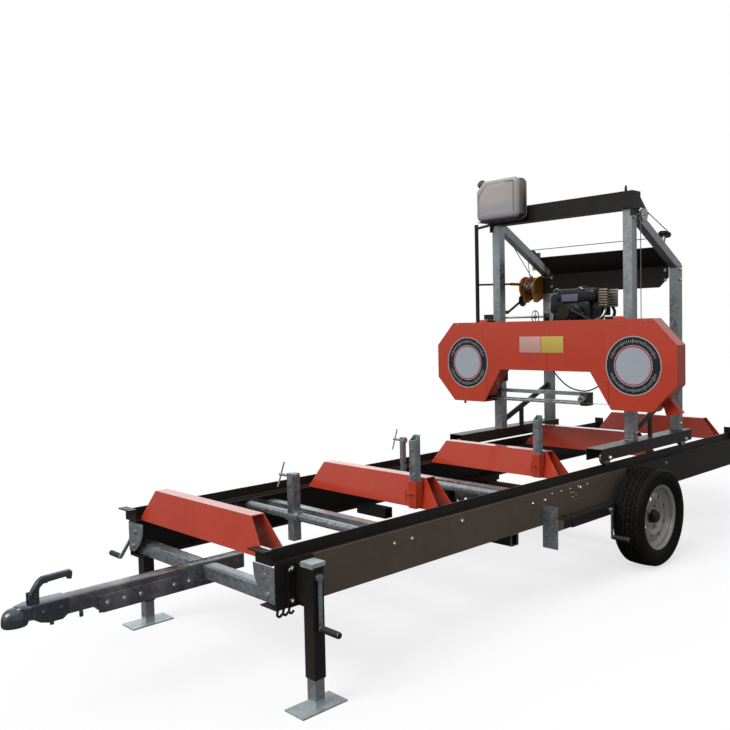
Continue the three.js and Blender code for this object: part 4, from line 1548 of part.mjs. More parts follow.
// Carriage
const carriage = new THREE.Group();
carriage.position.set(CARRIAGE_PLACE, 0, 0);
for (const [side, name] of SIDE_NAMES) {
  piece(carriage, `side_frame_${name}`, sideFrame(side), GALVANISED);
  rollerPlaces().forEach((x, i) => {
    const roller = piece(carriage, `carriage_roller_${name}_${i + 1}`, carriageRoller(), ZINC);
    roller.position.set(x, side * TRACK_MIDDLE, ROLLER_HEIGHT);
  });
  piece(carriage, `top_sheave_${name}`, sheave(Y_WAY, topSheave(side)), ZINC);
  piece(carriage, `lift_cable_${name}_drop`, cableDrop(side), CABLE_STEEL);
}
piece(carriage, "brace_sheave_near", sheave(RUN_NORMAL, NEAR_BRACE_SHEAVE), BLACK_PAINT);
piece(carriage, "brace_sheave_far", sheave(DROP_AXIS, FAR_BRACE_SHEAVE), BLACK_PAINT);
piece(carriage, "lift_cable", liftCable(), CABLE_STEEL);
piece(carriage, "top_beam", topBeam(), BLACK_PAINT);
piece(carriage, "rear_panel", rearPanel(), BLACK_PAINT);
piece(carriage, "water_tank", waterTank(), TANK_PLASTIC);
piece(carriage, "tank_cap", tankCap(), CAP_PLASTIC);
piece(carriage, "winch_frame", winchFrame(), WINCH_YELLOW);
piece(carriage, "winch_drum", winchDrum(), ZINC);
piece(carriage, "winch_crank", winchCrank(), BLACK_PAINT);

// Saw head
const head = new THREE.Group();
carriage.add(head);
piece(head, "head_frame", headFrame(), BLACK_PAINT);
piece(head, "blade_cover", bladeCover(), ORANGE_PAINT);
piece(head, "saw_blade", sawBlade(), BLADE_STEEL);
const drive = join(bandWheel(BELT_PLANE),
  pulley(DRIVE_PULLEY_DIAMETER).translate([BELT_PLANE - BLADE_PLANE, 0, 0]));
piece(head, "drive_wheel", drive, CAST_IRON).position.set(BLADE_PLANE, -WHEEL_SPACING * HALF, WHEEL_HEIGHT);
const idlerEnd = TENSION_PLACE + BEARING_LENGTH;
piece(head, "idler_wheel", bandWheel(idlerEnd), CAST_IRON)
  .position.set(BLADE_PLANE, WHEEL_SPACING * HALF, WHEEL_HEIGHT);
piece(head, "tension_slide", tensionSlide(), BLACK_PAINT);
piece(head, "tension_screw", tensionScrew(), ZINC);
piece(head, "engine", engine(), ENGINE_BLACK);
piece(head, "engine_pulley", pulley(ENGINE_PULLEY_DIAMETER), CAST_IRON)
  .position.set(BELT_PLANE, ENGINE_PLACE, ENGINE_BED_TOP + ENGINE_SHAFT_RISE);
piece(head, "drive_belt", driveBelt(), RUBBER);
piece(head, "guide_arm", guideArm(), GALVANISED);
piece(head, "guide_roller", guideRoller(), ZINC).position.set(BLADE_PLANE, GUIDE_PLACE, guideRollerHeight());
piece(head, "water_hose", waterHose(), RUBBER);

// The whole, with the middle of its foot at the origin
const sawmill = new THREE.Group();
sawmill.add(bed, carriage);
sawmill.updateMatrixWorld(true);
const bounds = new THREE.Box3().setFromObject(sawmill, true);
const centre = bounds.getCenter(new THREE.Vector3());
for (const each of [bed, carriage]) each.position.sub(point(centre.x, centre.y, bounds.min.z));

export default sawmill;
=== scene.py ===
"""Looks of a portable band sawmill on a road trailer.

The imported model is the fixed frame. This script gives every piece its finish, puts fine
smooth forms over the turned and moulded pieces, and sets the studio and the camera.
Metres, +Z up, +X from the coupler to the rear end, the near side is -Y.
"""

import json
import logging
import math
from dataclasses import dataclass, field
from enum import Enum
from typing import Callable, Iterable, Optional, Sequence

import bmesh
import bpy
from mathutils import Matrix, Vector


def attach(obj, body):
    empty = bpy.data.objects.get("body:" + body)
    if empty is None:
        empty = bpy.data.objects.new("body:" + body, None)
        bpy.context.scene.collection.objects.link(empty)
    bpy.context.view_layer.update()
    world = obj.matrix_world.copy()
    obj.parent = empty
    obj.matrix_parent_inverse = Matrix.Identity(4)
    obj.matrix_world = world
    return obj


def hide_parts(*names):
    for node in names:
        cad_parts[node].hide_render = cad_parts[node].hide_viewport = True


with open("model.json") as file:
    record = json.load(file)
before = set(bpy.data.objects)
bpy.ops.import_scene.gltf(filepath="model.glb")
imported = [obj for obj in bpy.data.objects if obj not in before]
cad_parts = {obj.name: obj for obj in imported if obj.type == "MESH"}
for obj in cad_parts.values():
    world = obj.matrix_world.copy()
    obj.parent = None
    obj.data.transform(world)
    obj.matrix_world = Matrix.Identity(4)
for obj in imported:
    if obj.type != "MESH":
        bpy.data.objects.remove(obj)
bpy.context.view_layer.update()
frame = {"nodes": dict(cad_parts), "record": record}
log = logging.getLogger("sawmill")
logging.basicConfig(level=logging.INFO, format="%(name)s: %(message)s")

Colour = tuple[float, float, float]
Point = tuple[float, float, float]
Span = tuple[float, float]
Profile = Sequence[Span]
Mesh = bmesh.types.BMesh
MeshPoint = bmesh.types.BMVert
Output = bpy.types.NodeSocket
MM = 0.001
BED_FRONT = 1716.0
POST_FRONT = 1097.0


class Side(Enum):
    """The two sides of the machine, with the sign of Y on each."""

    NEAR = -1
    FAR = 1

    @property
    def label(self) -> str:
        """The side's name as the nodes spell it."""
        return self.name.lower()


class Axis(Enum):
    """A direction in the row frame."""

    X = (1.0, 0.0, 0.0)
    Y = (0.0, 1.0, 0.0)
    Z = (0.0, 0.0, 1.0)

    @property
    def vector(self) -> Vector:
        """The direction as a new vector."""
        return Vector(self.value)


def bed(x: float, y: float, z: float) -> Vector:
    """A point of the log bed, from millimetres behind its front end."""
    return Vector((x - BED_FRONT, y, z)) * MM


def car(x: float, y: float, z: float) -> Vector:
    """A point of the carriage, from millimetres behind its front posts."""
    return Vector((x + POST_FRONT, y, z)) * MM


# ---- Node trees -------------------------------------------------------------------------


class Graph:
    """A short way to write a node tree."""

    def __init__(self, tree: bpy.types.NodeTree) -> None:
        """Take the tree that the nodes go into."""
        self.tree = tree

    def add(self, kind: str, values: Optional[dict] = None, **settings: object) -> bpy.types.Node:
        """Make a node.

        Args:
            kind: The node's type name, without the ShaderNode part.
            values: Input name or index to a constant or to an output socket.
            settings: Properties of the node.

        Returns:
            The node.
        """
        node = self.tree.nodes.new("ShaderNode" + kind)
        for name, value in settings.items():
            setattr(node, name, value)
        for key, value in (values or {}).items():
            self.feed(node.inputs[key], value)
        return node

    def feed(self, socket: Output, value: object) -> None:
        """Link an output to a socket, or set the socket's constant.

        Args:
            socket: The input.
            value: An output socket, a colour or a number.
        """
        if isinstance(value, Output):
            self.tree.links.new(value, socket)
        elif isinstance(value, tuple) and len(value) == 3 and socket.type == "RGBA":
            socket.default_value = (*value, 1.0)
        else:
            socket.default_value = value

    def maths(self, operation: str, a: object, b: object = 0.0, clamp: bool = False) -> Output:
        """One arithmetic step, and its output."""
        return self.add("Math", {0: a, 1: b}, operation=operation, use_clamp=clamp).outputs[0]

    def mix(self, share: object, a: object, b: object) -> Output:
        """A colour between a and b."""
        return self.add("Mix", {0: share, 6: a, 7: b}, data_type="RGBA").outputs[2]

    def between(self, share: object, a: object, b: object) -> Output:
        """A number between a and b."""
        return self.add("Mix", {0: share, 2: a, 3: b}, data_type="FLOAT").outputs[0]

    def spread(self, value: object, low: float, high: float, to_low: float = 0.0,
               to_high: float = 1.0) -> Output:
        """A number carried from one range to another, held at its ends."""
        made = self.add("MapRange", {0: value, 1: low, 2: high, 3: to_low, 4: to_high}, clamp=True)
        return made.outputs[0]

    def place(self, stretch: Point = (1.0, 1.0, 1.0)) -> Output:
        """The point on the object, stretched along the axes."""
        where = self.add("TexCoord").outputs["Object"]
        return self.add("Mapping", {0: where, 3: stretch}).outputs[0]

    def noise(self, where: Output, scale: object, detail: float = 4.0) -> Output:
        """Cloudy noise at a point."""
        return self.add("TexNoise", {"Vector": where, "Scale": scale, "Detail": detail}).outputs[0]


@dataclass(frozen=True)
class Socket:
    """One socket of a shared effect."""

    name: str
    kind: str = "NodeSocketFloat"
    default: Optional[float] = None


class Effect:
    """A shader node group that several finishes use, built once."""

    name = ""
    inputs: tuple[Socket, ...] = ()
    outputs: tuple[Socket, ...] = ()

    def group(self) -> bpy.types.NodeTree:
        """The group, built on first use.

        Returns:
            The group.
        """
        found = bpy.data.node_groups.get(self.name)
        if found:
            return found
        tree = bpy.data.node_groups.new(self.name, "ShaderNodeTree")
        for way, sockets in (("INPUT", self.inputs), ("OUTPUT", self.outputs)):
            for socket in sockets:
                made = tree.interface.new_socket(socket.name, in_out=way, socket_type=socket.kind)
                if socket.default is not None:
                    made.default_value = socket.default
        entry = tree.nodes.new("NodeGroupInput")
        leave = tree.nodes.new("NodeGroupOutput")
        for key, value in self.wire(Graph(tree), entry.outputs).items():
            tree.links.new(value, leave.inputs[key])
        return tree

    def wire(self, graph: Graph, given: bpy.types.NodeInputs) -> dict:
        """Make the group's nodes.

        Args:
            graph: The group's tree.
            given: The group's input values.

        Returns:
            Output name to the socket that feeds it.
        """
        raise NotImplementedError

    def use(self, graph: Graph, **values: object) -> bpy.types.Node:
        """Place the group in a material, with underscores for spaces in the input names.

        Args:
            graph: The material's tree.
            values: Input name to a constant or an output socket.

        Returns:
            The group's node.
        """
        node = graph.tree.nodes.new("ShaderNodeGroup")
        node.node_tree = self.group()
        for key, value in values.items():
            graph.feed(node.inputs[key.replace("_", " ")], value)
        return node


class Mottle(Effect):
    """Slow and fine unevenness of a coat, 0 to 1 around a half."""

    name = "mottle"
    inputs = (Socket("Scale", default=6.0),)
    outputs = (Socket("Value"),)
    fine_scale = 9.0
    fine_share = 0.35
    contrast = (0.3, 0.7)

    def wire(self, graph: Graph, given: bpy.types.NodeInputs) -> dict:
        """Mix a broad cloud with a fine one.

        Args:
            graph: The group's tree.
            given: The group's input values.

        Returns:
            Output name to the socket that feeds it.
        """
        where = graph.place()
        broad = graph.noise(where, given["Scale"], 3.0)
        fine = graph.noise(where, graph.maths("MULTIPLY", given["Scale"], self.fine_scale), 5.0)
        both = graph.between(self.fine_share, broad, fine)
        return {"Value": graph.spread(both, *self.contrast)}


class EdgeWear(Effect):
    """Rubbed edges, and the normal of softly rounded edges."""

    name = "edge wear"
    inputs = (Socket("Radius", default=0.003), Socket("Amount", default=0.5),
              Socket("Scale", default=40.0))
    outputs = (Socket("Mask"), Socket("Normal", "NodeSocketVector"))
    bend = (0.995, 0.86)
    gaps = (0.5, 0.62)

    def wire(self, graph: Graph, given: bpy.types.NodeInputs) -> dict:
        """Compare the rounded normal with the flat one, and break the edge with noise.

        Args:
            graph: The group's tree.
            given: The group's input values.

        Returns:
            Output name to the socket that feeds it.
        """
        soft = graph.add("Bevel", {"Radius": given["Radius"]}, samples=4).outputs[0]
        flat = graph.add("NewGeometry").outputs["True Normal"]
        meet = graph.add("VectorMath", {0: soft, 1: flat}, operation="DOT_PRODUCT").outputs["Value"]
        edge = graph.spread(meet, *self.bend)
        noise = graph.noise(graph.place(), given["Scale"], 6.0)
        broken = graph.spread(noise, *self.gaps)
        mask = graph.maths("MULTIPLY", graph.maths("MULTIPLY", edge, broken), given["Amount"],
                           clamp=True)
        return {"Mask": mask, "Normal": soft}


class Dust(Effect):
    """Dust and sawdust that lies on faces turned up."""

    name = "dust"
    inputs = (Socket("Amount", default=0.3), Socket("Scale", default=14.0))
    outputs = (Socket("Mask"),)
    upward = (0.35, 1.0)
    patches = (0.35, 0.75)
    patchy = 0.7

    def wire(self, graph: Graph, given: bpy.types.NodeInputs) -> dict:
        """Take the upward share of the normal through patchy noise.

        Args:
            graph: The group's tree.
            given: The group's input values.

        Returns:
            Output name to the socket that feeds it.
        """
        normal = graph.add("NewGeometry").outputs["Normal"]
        up = graph.spread(graph.add("SeparateXYZ", {0: normal}).outputs[2], *self.upward)
        patch = graph.spread(graph.noise(graph.place(), given["Scale"], 7.0), *self.patches)
        cover = graph.maths("ADD", graph.maths("MULTIPLY", patch, self.patchy), 1 - self.patchy)
        both = graph.maths("MULTIPLY", up, cover)
        return {"Mask": graph.maths("MULTIPLY", both, given["Amount"], clamp=True)}


class RoadDirt(Effect):
    """Splashed dirt that fades with height over the ground."""

    name = "road dirt"
    inputs = (Socket("Height", default=0.35), Socket("Amount", default=0.4))
    outputs = (Socket("Mask"),)
    speck_scale = 55.0
    speck_edge = (0.42, 0.66)

    def wire(self, graph: Graph, given: bpy.types.NodeInputs) -> dict:
        """Fade by the height on the object, broken by specks.

        Args:
            graph: The group's tree.
            given: The group's input values.

        Returns:
            Output name to the socket that feeds it.
        """
        where = graph.place()
        height = graph.add("SeparateXYZ", {0: where}).outputs[2]
        low = graph.maths("SUBTRACT", 1.0, graph.maths("DIVIDE", height, given["Height"]),
                          clamp=True)
        specks = graph.spread(graph.noise(where, self.speck_scale, 8.0), *self.speck_edge)
        return {"Mask": graph.maths("MULTIPLY", graph.maths("MULTIPLY", low, specks),
                                    given["Amount"], clamp=True)}


class Grain(Effect):
    """Fine surface height: orange peel, casting grain or a drawn grain along one axis."""

    name = "grain"
    inputs = (Socket("Scale", default=300.0), Socket("Stretch", "NodeSocketVector"))
    outputs = (Socket("Height"),)

    def wire(self, graph: Graph, given: bpy.types.NodeInputs) -> dict:
        """Noise of the stretched place.

        Args:
            graph: The group's tree.
            given: The group's input values.

        Returns:
            Output name to the socket that feeds it.
        """
        where = graph.add("TexCoord").outputs["Object"]
        stretched = graph.add("VectorMath", {0: where, 1: given["Stretch"]},
                              operation="MULTIPLY").outputs[0]
        return {"Height": graph.noise(stretched, given["Scale"], 3.0)}


class Spangle(Effect):
    """The crystal flakes of a hot-dip zinc coat, with white bloom between them."""

    name = "zinc spangle"
    inputs = (Socket("Scale", default=70.0),)
    outputs = (Socket("Flake"), Socket("Bloom"))
    run = (1.0, 1.0, 0.35)
    bloom_scale = 9.0
    bloom_edge = (0.48, 0.72)

    def wire(self, graph: Graph, given: bpy.types.NodeInputs) -> dict:
        """Take the colour of Voronoi cells, and a cloud drawn out downward for the bloom.

        Args:
            graph: The group's tree.
            given: The group's input values.

        Returns:
            Output name to the socket that feeds it.
        """
        where = graph.place()
        cells = graph.add("TexVoronoi", {"Vector": where, "Scale": given["Scale"]}).outputs["Color"]
        flake = graph.add("SeparateColor", {0: cells}).outputs[0]
        runs = graph.noise(graph.place(self.run), self.bloom_scale, 6.0)
        return {"Flake": flake, "Bloom": graph.spread(runs, *self.bloom_edge)}


MOTTLE = Mottle()
EDGE = EdgeWear()
DUST = Dust()
DIRT = RoadDirt()
GRAIN = Grain()
SPANGLE = Spangle()
DUST_COLOUR = (0.42, 0.34, 0.25)
DIRT_COLOUR = (0.13, 0.10, 0.075)
COAT_ROUGHNESS = 0.12
WORN_ROUGHNESS = 0.42
DUSTY_ROUGHNESS = 0.85


# ---- Finishes ---------------------------------------------------------------------------


@dataclass(frozen=True)
class Finish:
    """A coated or bare surface with uneven colour, worn edges, dust and fine grain."""

    name: str
    slot: str
    colour: Colour
    second: Colour
    roughness: float = 0.45
    spread: float = 0.12
    metallic: float = 0.0
    coat: float = 0.0
    worn: Colour = (0.34, 0.33, 0.32)
    worn_metallic: float = 0.9
    wear: float = 0.6
    rounding: float = 0.0025
    mottle: float = 5.0
    grain: float = 260.0
    stretch: Point = (1.0, 1.0, 1.0)
    relief: float = 0.05
    dust: float = 0.25
    dirt: float = 0.35
    specular: float = 0.5

    def material(self) -> bpy.types.Material:
        """The material, made on first use.

        Returns:
            The material.
        """
        found = bpy.data.materials.get(self.name)
        if found:
            return found
        made = bpy.data.materials.new(self.name)
        made.use_nodes = True
        made.node_tree.nodes.clear()
        graph = Graph(made.node_tree)
        shader = graph.add("BsdfPrincipled")
        shader.inputs["Coat Weight"].default_value = self.coat
        shader.inputs["Coat Roughness"].default_value = COAT_ROUGHNESS
        shader.inputs["Specular IOR Level"].default_value = self.specular
        self.dress(graph, shader)
        out = graph.add("OutputMaterial")
        graph.feed(out.inputs["Surface"], shader.outputs[0])
        made.diffuse_color = (*self.colour, 1.0)
        return made

    def tint(self, graph: Graph, cloud: Output) -> Output:
        """The clean colour before wear and dust."""
        return graph.mix(cloud, self.colour, self.second)

    def height(self, graph: Graph) -> Output:
        """The fine height of the surface."""
        return GRAIN.use(graph, Scale=self.grain, Stretch=self.stretch).outputs["Height"]

    def shine(self, graph: Graph, cloud: Output) -> Output:
        """Roughness before wear and dust."""
        low, high = self.roughness - self.spread * 0.5, self.roughness + self.spread * 0.5
        return graph.between(cloud, low, high)

    def dress(self, graph: Graph, shader: bpy.types.Node) -> None:
        """Feed the four channels to the shader."""
        for name, value in self.channels(graph).items():
            graph.feed(shader.inputs[name], value)

    def channels(self, graph: Graph) -> dict:
        """Colour, roughness, metal and normal, by the shader's input names.

        Args:
            graph: The material's tree.

        Returns:
            Input name of the shader to the socket that feeds it.
        """
        cloud = MOTTLE.use(graph, Scale=self.mottle).outputs["Value"]
        edge = EDGE.use(graph, Radius=self.rounding, Amount=self.wear)
        dust = DUST.use(graph, Amount=self.dust).outputs["Mask"]
        dirt = DIRT.use(graph, Amount=self.dirt).outputs["Mask"]
        worn = graph.mix(edge.outputs["Mask"], self.tint(graph, cloud), self.worn)
        dusty = graph.mix(dust, worn, DUST_COLOUR)
        rough = graph.between(edge.outputs["Mask"], self.shine(graph, cloud), WORN_ROUGHNESS)
        dull = graph.maths("MAXIMUM", dust, dirt)
        metal = graph.between(edge.outputs["Mask"], self.metallic, self.worn_metallic)
        bump = graph.add("Bump", {"Height": self.height(graph), "Normal": edge.outputs["Normal"],
                                  "Strength": self.relief, "Distance": MM})
        return {"Base Color": graph.mix(dirt, dusty, DIRT_COLOUR),
                "Roughness": graph.between(dull, rough, DUSTY_ROUGHNESS),
                "Metallic": graph.between(dull, metal, 0.0), "Normal": bump.outputs[0]}


@dataclass(frozen=True)
class Galvanised(Finish):
    """Hot-dip zinc with flakes and white bloom."""

    flakes: float = 70.0
    aged: Colour = (0.22, 0.245, 0.26)
    aged_share: float = 0.45
    bloom: Colour = (0.62, 0.64, 0.64)
    bloom_share: float = 0.4

    def tint(self, graph: Graph, cloud: Output) -> Output:
        """Flakes between the two greys, with pale bloom over them.

        Args:
            graph: The material's tree.
            cloud: The slow unevenness of the coat, 0 to 1.

        Returns:
            The colour.
        """
        zinc = SPANGLE.use(graph, Scale=self.flakes)
        base = graph.mix(zinc.outputs["Flake"], self.colour, self.second)
        aged = graph.mix(graph.maths("MULTIPLY", cloud, self.aged_share), base, self.aged)
        pale = graph.maths("MULTIPLY", zinc.outputs["Bloom"], self.bloom_share)
        return graph.mix(pale, aged, self.bloom)

    def shine(self, graph: Graph, cloud: Output) -> Output:
        """Each flake shines by its own amount."""
        flake = SPANGLE.use(graph, Scale=self.flakes).outputs["Flake"]
        return graph.between(flake, self.roughness - self.spread, self.roughness + self.spread)


@dataclass(frozen=True)
class Zone:
    """A box of the row frame, in metres, open where a side is left out."""

    low: tuple[Optional[float], Optional[float], Optional[float]] = (None, None, None)
    high: tuple[Optional[float], Optional[float], Optional[float]] = (None, None, None)

    def mask(self, graph: Graph) -> Output:
        """One inside the box and nought outside it.

        Args:
            graph: The material's tree.

        Returns:
            The mask.
        """
        axes = graph.add("SeparateXYZ", {0: graph.place()}).outputs
        share: object = 1.0
        for axis, low, high in zip(axes, self.low, self.high):
            if low is not None:
                share = graph.maths("MULTIPLY", share, graph.maths("GREATER_THAN", axis, low))
            if high is not None:
                share = graph.maths("MULTIPLY", share, graph.maths("LESS_THAN", axis, high))
        return share


@dataclass(frozen=True)
class Zoned(Finish):
    """Two finishes on one piece, the second inside some zones."""

    base: Optional[Finish] = None
    other: Optional[Finish] = None
    zones: tuple[Zone, ...] = ()

    def channels(self, graph: Graph) -> dict:
        """The two finishes' channels, chosen by place.

        Args:
            graph: The material's tree.

        Returns:
            Input name of the shader to the socket that feeds it.
        """
        inside: object = 0.0
        for zone in self.zones:
            inside = graph.maths("MAXIMUM", inside, zone.mask(graph))
        first, second = self.base.channels(graph), self.other.channels(graph)
        mixed = {name: graph.between(inside, first[name], second[name])
                 for name in ("Roughness", "Metallic")}
        return {"Base Color": graph.mix(inside, first["Base Color"], second["Base Color"]),
                "Normal": first["Normal"], **mixed}


def zoned(name: str, base: Finish, other: Finish, *zones: Zone) -> Zoned:
    """A finish that is another one inside some zones."""
    return Zoned(name, base.slot, base.colour, base.second, coat=base.coat, specular=base.specular,
                 base=base, other=other, zones=zones)


@dataclass(frozen=True)
class TankWall(Finish):
    """Natural blow-moulded plastic that shows the water inside."""

    water: float = 2.25
    wet: Colour = (0.42, 0.405, 0.425)
    ripple: float = 0.004
    edge: Span = (0.006, -0.03)

    def tint(self, graph: Graph, cloud: Output) -> Output:
        """Paler above the water and greyer below it.

        Args:
            graph: The material's tree.
            cloud: The slow unevenness of the coat, 0 to 1.

        Returns:
            The colour.
        """
        height = graph.add("SeparateXYZ", {0: graph.place()}).outputs[2]
        wave = graph.maths("MULTIPLY", cloud, self.ripple)
        above, below = self.edge
        wet = graph.spread(graph.maths("ADD", height, wave), self.water + above, self.water + below)
        dry = graph.mix(cloud, self.colour, self.second)
        return graph.mix(wet, dry, self.wet)


@dataclass(frozen=True)
class TyreRubber(Finish):
    """Tyre rubber, with fine ribs round the sidewall."""

    rib_scale: float = 60.0
    rib_share: float = 0.25

    def height(self, graph: Graph) -> Output:
        """Fine ribs round the tyre, and grain.

        Args:
            graph: The material's tree.

        Returns:
            The height.
        """
        fine = GRAIN.use(graph, Scale=self.grain, Stretch=self.stretch).outputs["Height"]
        ribs = graph.add("TexWave", {"Vector": graph.place(), "Scale": self.rib_scale,
                                     "Distortion": 0.0}, wave_type="RINGS",
                         rings_direction="Y").outputs[1]
        return graph.between(self.rib_share, fine, ribs)


@dataclass(frozen=True)
class Strands(Finish):
    """Laid steel rope: strands that wind round along the rope's own length."""

    lay: float = 8.0

    def height(self, graph: Graph) -> Output:
        """Slanted bands of the rope's own coordinates.

        Args:
            graph: The material's tree.

        Returns:
            The height.
        """
        where = graph.add("UVMap", uv_map="along").outputs[0]
        wave = graph.add("TexWave", {"Vector": where, "Scale": self.lay, "Distortion": 0.0},
                         wave_type="BANDS", bands_direction="DIAGONAL")
        return wave.outputs[1]


@dataclass(frozen=True)
class Perforated(Finish):
    """Sheet with round holes that are not cut, drawn as dark dots of painted shade."""

    pitch: float = 0.009
    # Painted shade: the colour of the space seen through each hole.
    hole: Colour = (0.006, 0.005, 0.005)
    hole_edge: Span = (0.36, 0.30)

    def tint(self, graph: Graph, cloud: Output) -> Output:
        """Put dark dots of painted shade, for the holes, in the sheet's colour.

        Args:
            graph: The material's tree.
            cloud: The slow unevenness of the coat, 0 to 1.

        Returns:
            The colour.
        """
        where = graph.add("TexCoord").outputs["Object"]
        cell = graph.add("TexVoronoi", {"Vector": where, "Scale": 1.0 / self.pitch,
                                        "Randomness": 0.0})
        hole = graph.spread(cell.outputs["Distance"], *self.hole_edge)
        sheet = graph.mix(cloud, self.colour, self.second)
        return graph.mix(hole, sheet, self.hole)


def sticker(name: str, colour: Colour, second: Colour, roughness: float = 0.4,
            relief: float = 0.01) -> Finish:
    """A thin plain sheet that is stuck on the blade cover."""
    return Finish(name, "orange_paint", colour, second, roughness=roughness, wear=0.0,
                  rounding=0.0002, relief=relief, dust=0.08, dirt=0.0)


BLACK = Finish(
    "black coat", "black_paint", (0.012, 0.0105, 0.0095), (0.028, 0.021, 0.017), roughness=0.4,
    spread=0.16, wear=0.35, worn=(0.17, 0.155, 0.14), dust=0.03, dirt=0.1, relief=0.06, mottle=2.2,
    specular=0.32)
BROWNED = Finish(
    "browned steel", "black_paint", (0.075, 0.05, 0.036), (0.16, 0.115, 0.085), roughness=0.42,
    metallic=0.55, wear=0.3, worn=(0.3, 0.27, 0.24), dust=0.05, dirt=0.2, mottle=14.0)
ORANGE = Finish(
    "orange red coat", "orange_paint", (0.61, 0.058, 0.022), (0.53, 0.045, 0.016), roughness=0.38,
    coat=0.9, specular=0.4, wear=0.4, worn=(0.20, 0.10, 0.07), worn_metallic=0.4, dust=0.05,
    dirt=0.1, mottle=3.0)
ZINC_DIP = Galvanised(
    "hot dip zinc", "galvanised", (0.36, 0.395, 0.42), (0.52, 0.56, 0.58), roughness=0.36,
    spread=0.1, metallic=0.85, wear=0.25, worn=(0.62, 0.64, 0.65), dust=0.06, dirt=0.3)
ZINC_PLATE = Finish(
    "bright zinc plate", "zinc", (0.50, 0.50, 0.47), (0.60, 0.59, 0.55), roughness=0.3,
    metallic=1.0, wear=0.2, worn=(0.7, 0.7, 0.68), rounding=0.001, dust=0.12, dirt=0.2)
SILVER = Finish(
    "silver coat", "silver_paint", (0.44, 0.43, 0.41), (0.54, 0.53, 0.51), roughness=0.36,
    metallic=0.7, wear=0.3, worn=(0.2, 0.19, 0.18), dust=0.04, dirt=0.5)
IRON = Finish(
    "machined casting", "cast_iron", (0.14, 0.145, 0.15), (0.22, 0.22, 0.22), roughness=0.48,
    metallic=0.85, wear=0.3, grain=420.0, relief=0.14, dust=0.15, dirt=0.1)
BLADE = Finish(
    "spring steel band", "blade_steel", (0.46, 0.48, 0.50), (0.36, 0.37, 0.38), roughness=0.26,
    metallic=1.0, wear=0.2, rounding=0.0006, grain=900.0, stretch=(1.0, 0.05, 0.05), relief=0.1)
MOTOR = Finish(
    "engine black", "engine_black", (0.012, 0.012, 0.014), (0.022, 0.022, 0.026), roughness=0.3,
    coat=0.35, wear=0.2, worn=(0.16, 0.16, 0.17), dust=0.12, dirt=0.0, relief=0.1, specular=0.2)
MOTOR_PLATE = Finish(
    "blue grey plate", "engine_black", (0.09, 0.10, 0.17), (0.15, 0.165, 0.26), roughness=0.28,
    coat=0.3, wear=0.2, dust=0.1, dirt=0.0)
GUARD = Perforated(
    "heat browned guard", "engine_black", (0.34, 0.27, 0.20), (0.46, 0.38, 0.29), roughness=0.5,
    metallic=0.7, wear=0.3, dirt=0.0)
YELLOW = Finish(
    "yellow orange coat", "yellow_paint", (0.56, 0.22, 0.022), (0.44, 0.15, 0.015), roughness=0.36,
    metallic=0.25, coat=0.3, wear=0.6, worn=(0.22, 0.16, 0.10), dust=0.2, dirt=0.0)
TANK = TankWall(
    "natural plastic", "tank_plastic", (0.47, 0.43, 0.39), (0.55, 0.51, 0.47), roughness=0.42,
    spread=0.08, wear=0.0, rounding=0.004, relief=0.05, dust=0.05, dirt=0.0, specular=0.4)
CAP = Finish("dark moulded plastic", "cap_plastic", (0.085, 0.07, 0.06), (0.12, 0.10, 0.088),
             roughness=0.55, wear=0.0, rounding=0.001, relief=0.08, dust=0.15, dirt=0.0)
RUBBER = Finish(
    "smooth rubber", "rubber", (0.012, 0.012, 0.013), (0.02, 0.02, 0.021), roughness=0.6, wear=0.0,
    rounding=0.001, relief=0.12, grain=600.0, dust=0.15, dirt=0.1)
TYRE = TyreRubber(
    "tyre rubber", "tyre", (0.005, 0.0042, 0.0038), (0.009, 0.008, 0.007), roughness=0.62, wear=0.3,
    worn=(0.06, 0.055, 0.05), worn_metallic=0.0, relief=0.22, grain=500.0, dust=0.02, dirt=0.08,
    specular=0.12)
ROPE = Strands(
    "laid steel rope", "cable_steel", (0.23, 0.235, 0.24), (0.32, 0.32, 0.32), roughness=0.42,
    metallic=0.9, wear=0.0, rounding=0.0005, relief=0.7, dust=0.1, dirt=0.0)
ROPE_PLAIN = Finish(
    "straight steel rope", "cable_steel", (0.23, 0.235, 0.24), (0.32, 0.32, 0.32), roughness=0.42,
    metallic=0.9, wear=0.0, rounding=0.0005, relief=0.6, grain=900.0, dust=0.1, dirt=0.0)
DRAWBAR_COAT = Galvanised(
    "drawbar zinc", "galvanised", (0.13, 0.115, 0.13), (0.21, 0.19, 0.215), roughness=0.3,
    metallic=0.8, wear=0.35, worn=(0.5, 0.5, 0.52), dust=0.06, dirt=0.25)
COUPLER_CAST = Finish(
    "coupler casting", "galvanised", (0.10, 0.11, 0.13), (0.17, 0.19, 0.22), roughness=0.26,
    metallic=0.9, wear=0.6, worn=(0.5, 0.54, 0.58), grain=500.0, relief=0.14, dust=0.04, dirt=0.1)
BRIGHT_ZINC = Galvanised(
    "bright zinc", "galvanised", (0.55, 0.62, 0.64), (0.68, 0.76, 0.78), roughness=0.42,
    metallic=0.55, wear=0.2, worn=(0.7, 0.74, 0.76), dust=0.04, dirt=0.12)
BRASS = Finish(
    "brass", "zinc", (0.55, 0.36, 0.12), (0.66, 0.46, 0.18), roughness=0.3, metallic=1.0, wear=0.2,
    worn=(0.8, 0.65, 0.4), dust=0.05, dirt=0.1)
# Painted reflection: a brownish black that stands for the ground reflected in the near rail's web;
# its dust and dirt masks are real.
NEAR_WEB_REFLECTION_COAT = Finish(
    "dusty black coat", "black_paint", (0.12, 0.09, 0.066), (0.17, 0.132, 0.1), roughness=0.45,
    spread=0.14, wear=0.4, worn=(0.2, 0.18, 0.16), dust=0.1, dirt=0.2, relief=0.06, mottle=1.6)
BADGE_BLACK = sticker("badge black", (0.012, 0.010, 0.010), (0.016, 0.014, 0.013))
BADGE_PALE = sticker("badge pale grey", (0.40, 0.44, 0.50), (0.47, 0.50, 0.56), roughness=0.35)
BADGE_RED = sticker("badge red line", (0.42, 0.05, 0.05), (0.40, 0.05, 0.05))
